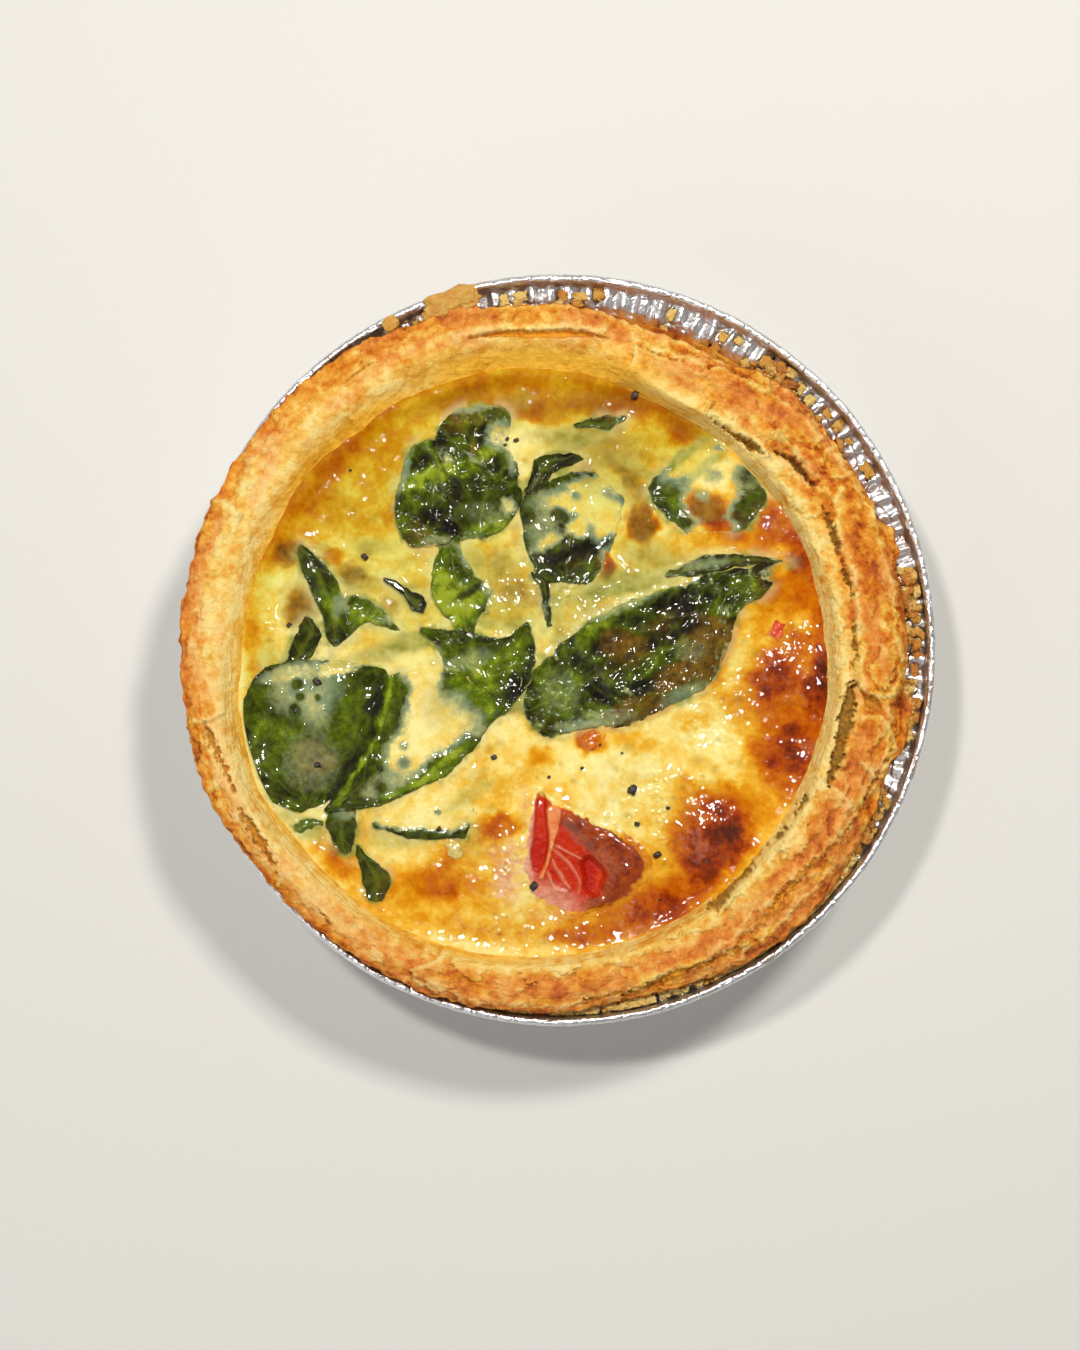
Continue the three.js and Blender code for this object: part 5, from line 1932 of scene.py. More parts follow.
        # the toasting, with painted highlights on the ledges' edges and painted shade in the hollows
        toast = (
            toast
            + 0.04 * crumbly
            - 0.3 * edges
            + 0.26 * hollow
            + 0.05 * over(angle, 250, 330, 12) * smooth(0.3, 0.6, across)
        )
        blush = (
            smooth(-0.25, 0.4, along(9.0, 4.0, 170.0) + 0.4 * over(angle, 225, 335, 15))
            * smooth(0.12, 0.5, across)
        )
        return z, {
            "toast": toast,
            "crack_shade": crack_shade,
            "glow": glow,
            "blush": blush,
            "damp": self.damp(angle, across),
        }

    @staticmethod
    def toast(angle: Array, across: Array) -> Array:
        """How brown the rim is before its blotches, from 0 to 1, with painted light on the inner slope at the
        top.

        Args:
            angle: degrees round the pie.
            across: the place across the rim.

        Returns:
            The brownness at each place.
        """
        base = lerp(0.14, 0.32, smooth(0.2, 0.5, across)) + 0.22 * smooth(0.55, 0.98, across)
        base = (
            base
            + 0.19 * over(angle, 236, 424, 14) * (1 - smooth(0.55, 0.85, across)) * smooth(0.1, 0.3, across)
        )
        base = base - 0.1 * over(angle, 318, 424, 10) * (1 - smooth(0.15, 0.34, across))
        base = (
            base
            - 0.12 * over(angle, 135, 225, 15) * smooth(0.1, 0.4, across) * (1 - smooth(0.75, 1.0, across))
        )
        base = base + 0.2 * over(angle, 205, 245, 6) * smooth(0.86, 1.0, across)
        base = base + 0.1 * over(angle, 8, 60, 10) * smooth(0.4, 0.8, across)
        base = (
            base
            - 0.3 * over(angle, 14, 106, 8) * smooth(0.86, 1.0, across)
            - 0.2 * over(angle, 276, 302, 6) * smooth(0.82, 1.0, across)
        )
        # painted light: the inner slope at the top faces away from the lamps, and is painted paler
        return base - 0.16 * over(angle, 62, 118, 8) * (1 - smooth(0.2, 0.44, across))

    @staticmethod
    def damp(angle: Array, across: Array) -> Array:
        """How much custard and butter has soaked into the pastry beside the filling, from 0 to 1.

        Args:
            angle: degrees round the pie.
            across: the place across the rim.

        Returns:
            The dampness at each place.
        """
        near = 1.0 - smooth(0.0, 0.2, across)
        near = np.maximum(near, 0.9 * over(angle, 70, 118, 8) * (1 - smooth(0.24, 0.56, across)))
        near = np.maximum(near, 0.9 * over(angle, 118, 156, 10) * (1 - smooth(0.12, 0.34, across)))
        return near * (0.2 + 0.8 * over(angle, 62, 262, 14))

    def build(self) -> bpy.types.Object:
        """Makes the crust.

        Returns:
            The crust.
        """
        angle = np.arange(self.columns) * 360.0 / self.columns
        ones = np.ones(self.columns)
        inner, outline, hang = FILLING.edge(angle), self.outline(angle), self.hang(angle)
        bottom = lerp(self.seat + 0.3, self.overhang + 0.1, hang)
        noise = Noise(43)
        a = np.radians(angle)
        ring_x, ring_y = RIM_MIDDLE * np.cos(a), RIM_MIDDLE * np.sin(a)
        edge = outline + 0.42 * noise.rough(ring_x / 2.0, ring_y / 2.0, 0.0, 4)
        edge = np.where(hang > 0.5, edge, np.minimum(edge, self.inside_lip))
        radius = lerp(inner - 0.8, edge, np.linspace(0, 0.985, self.rows_across)[:, None] * ones)
        across = (radius - inner) / (self.plain_outline(angle) - inner)
        degrees = np.broadcast_to(angle, radius.shape)
        extra, paint = self.relief(degrees, radius, across)
        z = self.body(degrees, across) + extra * smooth(-0.06, 0.05, across)
        z = np.maximum(z, bottom + 0.5 - 9.0 * (1 - smooth(0.4, 0.8, across)))
        above = (z - self.highest) / self.easing
        z = np.where(above > 0, self.highest + self.easing * (1 - np.exp(-above)), z)
        rows_r = [
            0.6 * ones,
            44 * ones,
            47.1 * ones,
            56.3 * ones,
            57.1 * ones,
            lerp(edge - 1.2, 61.0, hang),
            edge - 0.35,
        ]
        rows_z = [
            1.4 * ones,
            1.4 * ones,
            4 * ones,
            24 * ones,
            self.seat * ones,
            lerp(self.seat, self.overhang, hang),
            bottom - 0.1,
        ]
        for k in range(self.rows_side):
            share = (k + 0.5) / self.rows_side
            side_z = lerp(bottom, z[-1], share)
            strata = 0.34 * noise.rough(ring_x / 2.4, ring_y / 2.4, side_z * 2.4, 3)
            belly = edge + 0.25 * math.sin(math.pi * share) - 0.1
            rows_r.append(belly + strata * math.sin(math.pi * min(1, share + 0.15)))
            rows_z.append(side_z)
        before = len(rows_r)
        rows_r += list(radius[::-1])
        rows_z += list(z[::-1])
        after = [
            (inner - 0.9, 27.5 * ones),
            (inner - 1.2, 24.0 * ones),
            (41.5 * ones, 4.9 * ones),
            (0.6 * ones, 4.9 * ones),
        ]
        for r_row, z_row in after:
            rows_r.append(r_row)
            rows_z.append(z_row)
        all_r, all_z = np.array(rows_r), np.array(rows_z)
        full = {}
        side_toast = 0.6 + 0.2 * noise.rough(ring_x / 3.0, ring_y / 3.0, all_z[:before] * 0.9, 3)
        for key, values in paint.items():
            first = side_toast if key == "toast" else np.zeros((before, self.columns))
            last = np.repeat(values[:1], len(after), axis=0)
            full[key] = np.vstack([first, values[::-1], last])
        skin = round_skin("pastry_crust_piece", all_r, all_z, angle, full)
        return skin.build(PastryFinish().build(), "crust", ("pastry_crust",))


# ---------------------------------------------------------------------------- spinach leaves


@dataclass
class Leaf:
    """A wilted leaf, drawn as ribs on the plan: x and y of one edge, then of the other, from stalk to tip."""

    name: str
    ribs: tuple[tuple[float, float, float, float], ...]
    light: float = 0.5
    crumple: float = 0.3
    lift: float = 0.3
    folded: float = 0.0
    lapped: float = 0.9
    spacing: float = 0.3
    thickness: float = 0.32

    @property
    def size(self) -> tuple[float, float]:
        """Its length along the midrib and its greatest width, in mm.

        Returns:
            The length and the width.
        """
        drawn = np.array(self.ribs, float)
        length = np.hypot(*np.diff((drawn[:, :2] + drawn[:, 2:]) / 2, axis=0).T).sum() * PLAN.unit
        return length, np.hypot(*(drawn[:, 2:] - drawn[:, :2]).T).max() * PLAN.unit

    def lattice(self) -> tuple[Array, Array, Array, Array, Array]:
        """Points of the leaf in mm, with their place along it and across it, and mm in from its border.

        Returns:
            x, y, the place along it, the place across it, and the distance in from its border.
        """
        drawn = np.array(self.ribs, float)
        length, width = self.size
        rows, columns = max(9, round(length / self.spacing)), max(7, round(width / self.spacing))
        t, v = np.linspace(0, 1, rows), np.linspace(0, 1, columns)[None, :]
        one, other = through(drawn[:, :2], t), through(drawn[:, 2:], t)
        px = lerp(one[:, :1], other[:, :1], v)
        py = lerp(one[:, 1:], other[:, 1:], v)
        x, y = PLAN.to_mm(px, py)
        noise = Noise(61)
        x = x + 0.34 * noise.rough(x / 2.2, y / 2.2, 1.0, 4)
        y = y + 0.34 * noise.rough(x / 2.2, y / 2.2, 5.0, 4)
        share = np.minimum(1, (FILLING.edge(np.degrees(np.arctan2(y, x))) - 0.5) / np.hypot(x, y))
        x, y = x * share, y * share
        across = np.hypot(*(other - one).T)[:, None] * PLAN.unit / 2 * (1 - np.abs(2 * v - 1))
        inset = np.minimum(across, np.minimum(t, 1 - t)[:, None] * length)
        return x, y, np.broadcast_to(t[:, None], x.shape), np.broadcast_to(2 * v - 1, x.shape), inset

    def lap(self, x: Array, y: Array, within: Array) -> Array:
        """Where custard laps over the leaves' border, from 0 to 1; within is 0.5 on it and 1 inside.

        Args:
            x: the places' x.
            y: the places' y.
            within: how far inside the border they are.

        Returns:
            How far custard covers each place.
        """
        noise = Noise(68)
        far = (
            0.2
            + 0.42 * smooth(0.1, 0.5, np.array(self.lapped))
            + self.lapped
            * (0.5 * noise.at(x / 5.0, y / 5.0, 3.0) + 0.26 * noise.rough(x / 1.3, y / 1.3, 5.0, 3))
        )
        return 1 - smooth(far - 0.2, far + 0.2, within)

    def height(
        self, x: Array, y: Array, along: Array, side: Array, ground: Array, film: Array, inset: Array
    ) -> Array:
        """How high the leaf's upper face is: its edges curl up, or sink where custard lies over them.

        Args:
            x: the places' x.
            y: the places' y.
            along: their place along the leaf, from 0 to 1.
            side: their place across it, from -1 to 1.
            ground: the height of what the leaf lies on.
            film: how thickly custard covers it, from 0 to 1.
            inset: mm in from its border.

        Returns:
            The height at each place, in mm.
        """
        noise = Noise(67)
        ends = np.minimum(along, 1 - along)
        rim = np.minimum(1 - np.abs(side), ends * 4)
        edge = 1 - smooth(0.0, 0.5, rim)
        ruffle = 0.5 + 0.5 * noise.at(x / 2.6, y / 2.6, 11.0)
        z = ground + 0.22 + self.lift * edge * ruffle * 1.4 * (1 - smooth(0.2, 0.6, film))
        z = z + 1.1 * self.crumple * (noise.ridged(*self.askew(x, y), 2.0) - 0.35)
        z = z + 0.16 * self.crumple * noise.rough(x / 1.4, y / 1.4, 7.0, 2)
        z = z + self.folded * np.exp(-((side / 0.16) ** 2)) - 0.16 * np.exp(-((side / 0.05) ** 2))
        covered = ground + 0.12 + 0.1 * noise.rough(x / 1.8, y / 1.8, 9.0, 2)
        z = lerp(z, covered, 0.75 * smooth(0.45, 0.95, film))
        return z - 0.6 * smooth(0.4, 0.85, film) * (1 - smooth(0.0, 0.7, inset))

    @staticmethod
    def askew(x: Array, y: Array) -> tuple[Array, Array]:
        """The place turned by a third of a right angle, in widths of a fold."""
        return (0.86 * x + 0.5 * y) / 4.6, (0.86 * y - 0.5 * x) / 4.6

    def crests(self, x: Array, y: Array) -> Array:
        """Painted light and shade: how much lighter it is painted on its crests than in its folds."""
        return self.crumple * (Noise(67).ridged(*self.askew(x, y), 2.0) - 0.45)

    def veins(self, x: Array, y: Array, along: Array, side: Array) -> Array:
        """Where its midrib and side veins run, from 0 to 1.

        Args:
            x: the places' x.
            y: the places' y.
            along: their place along the leaf, from 0 to 1.
            side: their place across it, from -1 to 1.

        Returns:
            The veins' strength at each place.
        """
        length, width = self.size
        mid = np.exp(-((side * width / 2 / 0.45) ** 2))
        bent = along * length - np.abs(side) * width * 0.42 + 0.35 * np.sin(x * 1.3 + y)
        ribs = np.abs((bent / 3.1) % 1.0 - 0.5) * 3.1
        return np.clip(mid + 0.6 * np.exp(-((ribs / 0.3) ** 2)) * smooth(0.0, 0.15, np.abs(side)), 0, 1)

    def skin(self, x: Array, y: Array, z: Array, paint: dict[str, Array]) -> Skin:
        """A closed blade with the upper face at z.

        Args:
            x: the places' x.
            y: the places' y.
            z: the height of the upper face.
            paint: the values painted on it, by their names.

        Returns:
            The blade.
        """
        rows, columns = x.shape
        top = np.stack([x, y, z], axis=-1).reshape(-1, 3)
        low = top - [0, 0, self.thickness]
        faces = grid_faces(rows, columns, False)
        ring = border(rows, columns)
        after = np.roll(ring, -1)
        total = rows * columns
        wall = np.stack([ring, after, after + total, ring + total], axis=-1)
        if self.left_handed(x, y):
            faces, wall = faces[:, ::-1], wall[:, ::-1]
        skin = Skin(f"{self.name}_piece", np.vstack([top, low]), [faces, faces[:, ::-1] + total, wall])
        skin.paint = {key: np.tile(values.reshape(-1), 2) for key, values in paint.items()}
        return skin

    @staticmethod
    def left_handed(x: Array, y: Array) -> bool:
        """Whether the lattice is left-handed, so that its faces would look down.

        Args:
            x: the lattice's x.
            y: the lattice's y.

        Returns:
            True when it is left-handed.
        """
        r, c = x.shape[0] // 2, x.shape[1] // 2
        ux, uy = x[r + 1, c] - x[r, c], y[r + 1, c] - y[r, c]
        vx, vy = x[r, c + 1] - x[r, c], y[r, c + 1] - y[r, c]
        return bool(ux * vy - uy * vx < 0)


LEAVES = (
    Leaf(
        "leaf_low_curl",
        ((289, 830, 294, 838), (300, 819, 303, 833), (314, 819, 314, 829), (323, 822, 323, 827)),
        0.7, 0.3, 0.2, 0.3,
    ),
    Leaf(
        "leaf_low_spear",
        ((355, 845, 358, 845), (359, 864, 376, 863), (363, 884, 391, 878), (370, 902, 383, 901)),
        0.5, 0.15, 0.3, 0.0, 0.3,
    ),
    Leaf(
        "leaf_low_wedge",
        ((330, 808, 358, 806), (326, 824, 357, 822), (333, 844, 353, 843), (340, 856, 350, 856)),
        0.5, 0.2, 0.2, 0.0, 0.6,
    ),
    Leaf(
        "leaf_low_veiled",
        (
            (372, 823, 372, 827), (394, 820, 394, 833), (418, 812, 416, 838), (444, 800, 440, 839),
            (474, 806, 466, 839),
        ),
        0.5, 0.15, 0.15, 0.0, 0.3,
    ),
    Leaf(
        "leaf_stalk",
        ((530, 572, 548, 574), (540, 590, 550, 588), (543, 610, 551, 608), (546, 630, 553, 628)),
        0.35, 0.3, 0.2, 0.3,
    ),
    Leaf("leaf_middle_bright", (
        (444, 536, 458, 537), (436, 553, 466, 556), (431, 572, 476, 574), (432, 592, 494, 586),
        (440, 609, 488, 606), (452, 626, 478, 620), (464, 636, 471, 636),
    ), 0.66, 0.55, 0.3, 0.0, 0.7),
    Leaf(
        "leaf_left_sliver",
        (
            (378, 574, 377, 577), (393, 580, 391, 586), (408, 589, 405, 597), (418, 593, 411, 609),
            (426, 603, 422, 613),
        ),
        0.3, 0.15, 0.4, 0.0, 0.3,
    ),
    Leaf(
        "leaf_left_scrap",
        ((284, 660, 300, 664), (293, 641, 314, 652), (300, 624, 322, 636), (304, 614, 313, 618)),
        0.34, 0.2, 0.15,
    ),
    Leaf("leaf_left_curl", (
        (343, 600, 344, 640), (354, 594, 350, 637), (364, 598, 366, 622), (378, 606, 376, 625),
        (390, 617, 388, 629), (404, 629, 402, 632),
    ), 0.62, 0.5, 0.35, 0.0, 0.5),
    Leaf("leaf_left_spear", (
        (298, 541, 301, 542), (298, 556, 318, 556), (303, 576, 333, 573), (312, 595, 341, 592),
        (321, 614, 347, 610), (325, 633, 346, 634), (331, 649, 336, 650),
    ), 0.44, 0.2, 0.3, 0.12, 0.5),
    Leaf(
        "leaf_top_small",
        (
            (574, 425, 576, 429), (588, 419, 592, 427), (604, 416, 606, 434), (618, 415, 618, 426),
            (630, 414, 630, 418),
        ),
        0.5, 0.2, 0.35,
    ),
    Leaf("leaf_right_veiled", (
        (644, 486, 656, 508), (664, 470, 676, 524), (688, 455, 694, 536), (710, 443, 714, 534),
        (734, 449, 740, 532), (756, 470, 758, 514), (769, 490, 768, 496),
    ), 0.5, 0.2, 0.25, 0.0, 0.6),
    Leaf("leaf_cluster_left", (
        (410, 546, 424, 550), (400, 530, 450, 541), (394, 512, 466, 518), (397, 488, 470, 496),
        (403, 468, 470, 474), (409, 450, 462, 452), (424, 440, 448, 442),
    ), 0.44, 0.8, 0.3, 0.0, 0.6),
    Leaf("leaf_cluster_top", (
        (456, 498, 516, 490), (448, 474, 519, 470), (436, 450, 512, 449), (438, 430, 512, 430),
        (452, 412, 510, 414), (476, 404, 500, 406),
    ), 0.46, 0.95, 0.25, 0.0, 0.9),
    Leaf(
        "leaf_cluster_right",
        (
            (462, 541, 490, 538), (452, 524, 507, 526), (449, 506, 518, 506), (450, 492, 522, 491),
            (466, 482, 516, 482),
        ),
        0.44, 0.3, 0.4, 0.0, 0.4,
    ),
    Leaf("leaf_middle_veiled", (
        (545, 581, 586, 586), (533, 567, 600, 571), (525, 545, 612, 548), (521, 520, 622, 520),
        (521, 499, 622, 497), (538, 487, 606, 480), (556, 478, 586, 470),
    ), 0.45, 0.3, 0.3, 0.0, 0.5),
    Leaf(
        "leaf_middle_folded",
        (
            (524, 492, 528, 495), (531, 474, 545, 484), (536, 458, 558, 470), (553, 455, 572, 464),
            (572, 452, 584, 458),
        ),
        0.36, 0.25, 0.4, 0.2, 0.2,
    ),
    Leaf("leaf_middle_dark", (
        (418, 627, 419, 632), (446, 629, 440, 654), (474, 632, 450, 686), (504, 638, 474, 712),
        (528, 622, 500, 716), (536, 655, 506, 713), (526, 688, 507, 712),
    ), 0.42, 0.6, 0.25, 0.0, 0.5),
    Leaf("leaf_top_edge", (
        (640, 575, 640, 578), (672, 570, 672, 577), (700, 557, 700, 574), (728, 553, 729, 568),
        (756, 556, 757, 563), (795, 562, 795, 565),
    ), 0.36, 0.2, 0.4),
    Leaf("leaf_big_right", (
        (523, 703, 526, 720), (534, 672, 548, 738), (552, 652, 576, 730), (576, 631, 604, 727),
        (600, 614, 632, 726), (630, 600, 662, 710), (662, 591, 700, 692), (695, 579, 724, 662),
        (722, 571, 738, 615), (748, 567, 764, 594), (769, 562, 776, 588),
    ), 0.36, 0.8, 0.3),
    Leaf("leaf_big_round", (
        (300, 812, 318, 806), (268, 800, 338, 790), (243, 772, 353, 763), (236, 736, 366, 738),
        (243, 701, 379, 707), (258, 674, 389, 680), (276, 664, 380, 668), (300, 658, 345, 662),
    ), 0.48, 0.4, 0.25, 0.0, 0.1),
    Leaf("leaf_big_left", (
        (325, 809, 327, 812), (338, 783, 354, 810), (352, 754, 387, 803), (366, 720, 416, 790),
        (380, 690, 446, 774), (396, 672, 470, 752), (426, 668, 492, 724), (462, 676, 506, 704),
    ), 0.5, 0.25, 0.35, 0.0, 0.12),
)

# lighter green on the leaves: partly their own paler patches, partly painted light on the crests and rims of
# their folds
LIGHT = Stain(
    blots(
        (425, 478, 34, 9, 12, 0.9), (489, 450, 10, 16, -25, 1, 0.4), (490, 528, 24, 8, 20, 0.7),
        (458, 605, 14, 22, 20, 0.9), (440, 585, 10, 20, 0, 0.4), (392, 690, 14, 40, -30, 0.35, 0.4),
        (376, 740, 18, 30, -30, 0.25, 0.4), (340, 600, 8, 24, 0, 0.6), (368, 612, 16, 12, 0, 0.4),
        (350, 715, 22, 30, 0, 0.35), (440, 772, 30, 8, 40, 0.6, 0.4), (275, 730, 22, 40, 0, 0.25),
        (565, 690, 22, 26, 30, 0.35), (600, 630, 40, 8, 30, 0.4), (740, 585, 26, 8, 15, 0.4),
        # painted light on the rims of the two big left leaves, and the bright patch beside them
        (386, 703, 3, 33, -13, 0.9, 0.4), (364, 759, 3, 27, -31, 0.9, 0.4),
        (341, 796, 3, 17, -38, 0.8, 0.4), (472, 672, 24, 24, 0, 0.9), (484, 708, 10, 14, 30, 0.6),
        (420, 782, 40, 4, 22, 0.8), (446, 760, 26, 4, 38, 0.8), (620, 606, 60, 4, 22, 0.7),
        (540, 660, 4, 24, -30, 0.6), (596, 716, 30, 5, 0, 0.5), (474, 470, 16, 5, 30, 0.6),
        (500, 528, 5, 18, -10, 0.5), (676, 498, 8, 16, 30, 0.6), (327, 600, 5, 30, 24, 0.5),
        (508, 662, 14, 20, -20, 0.5, 0.6), (690, 640, 60, 8, 35, 0.3, 0.6), (560, 700, 20, 20, 0, 0.3, 0.6),
        soft=0.5,
    ),
    seed=71,
)

# painted shade on the leaves: their folds, holes, and the shadows along their edges
DARK = Stain(
    blots(
        (439, 438, 8, 7, 0, 0.9), (433, 514, 13, 10, 0, 0.95), (450, 527, 11, 7, -20, 1, 0.4),
        (490, 465, 12, 8, 10, 0.8), (372, 704, 8, 13, -20, 0.9), (360, 735, 4, 22, -28, 0.5),
        (641, 687, 14, 10, 20, 0.9, 0.4), (684, 611, 20, 6, 35, 0.8), (515, 690, 10, 16, -25, 0.9),
        (597, 545, 26, 8, 30, 0.7), (566, 560, 34, 6, 28, 0.5), (565, 464, 12, 5, 20, 0.6),
        (470, 592, 20, 4, 30, 0.8, 0.4), (770, 578, 6, 14, 0, 0.8), (688, 630, 22, 4, 20, 0.6),
        (548, 610, 5, 18, 0, 0.6), (425, 605, 6, 8, -20, 0.8, 0.4), (500, 650, 22, 6, 0, 0.15),
        (516, 668, 8, 14, -20, 0.2), (670, 606, 26, 5, 30, 0.4), (405, 640, 20, 3, 0, 0.4),
        (530, 670, 5, 30, -20, 0.7), (740, 568, 34, 3, 8, 0.6), (620, 622, 40, 5, 28, 0.3),
        # folds and shadows
        (378, 703, 4, 33, -13, 0.8, 0.6), (355, 757, 4, 27, -31, 0.8, 0.6),
        (333, 793, 3, 17, -38, 0.7, 0.6), (320, 740, 2, 30, -20, 0.35, 0.6),
        (290, 720, 2, 24, 20, 0.3, 0.6), (270, 752, 20, 2, -20, 0.3, 0.6), (595, 650, 60, 3, 34, 0.5, 0.6),
        (650, 640, 44, 3, 40, 0.6, 0.6), (690, 624, 12, 8, 20, 0.8), (612, 690, 34, 3, 20, 0.5, 0.6),
        (574, 700, 3, 20, -40, 0.5, 0.6), (700, 600, 30, 3, 20, 0.7, 0.6), (452, 476, 22, 2, -30, 0.5, 0.6),
        (478, 440, 2, 20, 20, 0.5, 0.6), (424, 500, 3, 20, -14, 0.5, 0.6), (410, 476, 3, 20, -20, 0.4, 0.6),
        (496, 486, 20, 3, -12, 0.4, 0.6), (566, 553, 34, 5, 25, 0.9), (455, 500, 3, 24, -10, 0.6, 0.6),
        (522, 530, 3, 34, 6, 0.5, 0.6), (452, 570, 3, 26, 10, 0.3, 0.6),
        soft=0.5,
    ),
    seed=72,
    wander=4.0,
    wander_size=10.0,
)


class Spinach:
    """All the leaves, laid one over another on the custard."""

    def __init__(self, relief: Relief) -> None:
        """Starts with the bare custard as the ground.

        Args:
            relief: the maps that the leaves are laid out on.
        """
        self.relief = relief
        self.ground = FILLING.top(relief.x, relief.y)
        self.top = np.full(self.ground.shape, -1.0)
        self.mask = np.zeros(self.ground.shape)
        self.shown = np.zeros(self.ground.shape)
        self.bare = np.zeros(self.ground.shape)

    def build(self) -> None:
        """Makes the leaves from the lowest to the highest, and keeps a map of their upper faces."""
        finish = LeafFinish().build()
        for leaf in LEAVES:
            x, y, *_ = leaf.lattice()
            self.relief.stamp(self.mask, x, y, np.ones(x.shape))
        near = self.relief.blur(self.mask, 0.5)
        for leaf in LEAVES:
            x, y, along, side, inset = leaf.lattice()
            pile = np.maximum(self.ground, self.relief.blur(np.maximum(self.top, self.ground), 0.5) + 0.04)
            paint = topping_paint(x, y)
            within = self.relief.sample(near, x, y)
            paint["film"] = np.maximum(paint["film"], leaf.lap(x, y, within))
            inset = np.minimum(inset, 2.4 * (within - 0.45))
            z = leaf.height(x, y, along, side, self.relief.sample(pile, x, y), paint["film"], inset)
            self.relief.stamp(self.bare, x, y, 1 - smooth(0.5, 0.9, FILM.at(x, y)))
            self.relief.stamp(
                self.shown, x, y, 1 - smooth(0.5, 0.85, paint["film"]) * (1 - smooth(0.2, 0.7, inset))
            )
            # how light each leaf is painted: painted light on its crests and fold rims, and its own paler
            # patches
            paint["light"] = leaf.light + 0.55 * LIGHT.at(x, y) - 0.12 + leaf.crests(x, y)
            paint["wet"] = np.maximum(paint["wet"], 0.3)
            # painted shade in the folds and holes and along the leaves' edges
            paint["painted_shade"] = DARK.at(x, y)
            paint["vein"] = leaf.veins(x, y, along, side)
            leaf.skin(x, y, z, paint).build(finish, "spinach", (leaf.name,))
            self.relief.stamp(self.top, x, y, z)


# ---------------------------------------------------------------------------- the custard filling


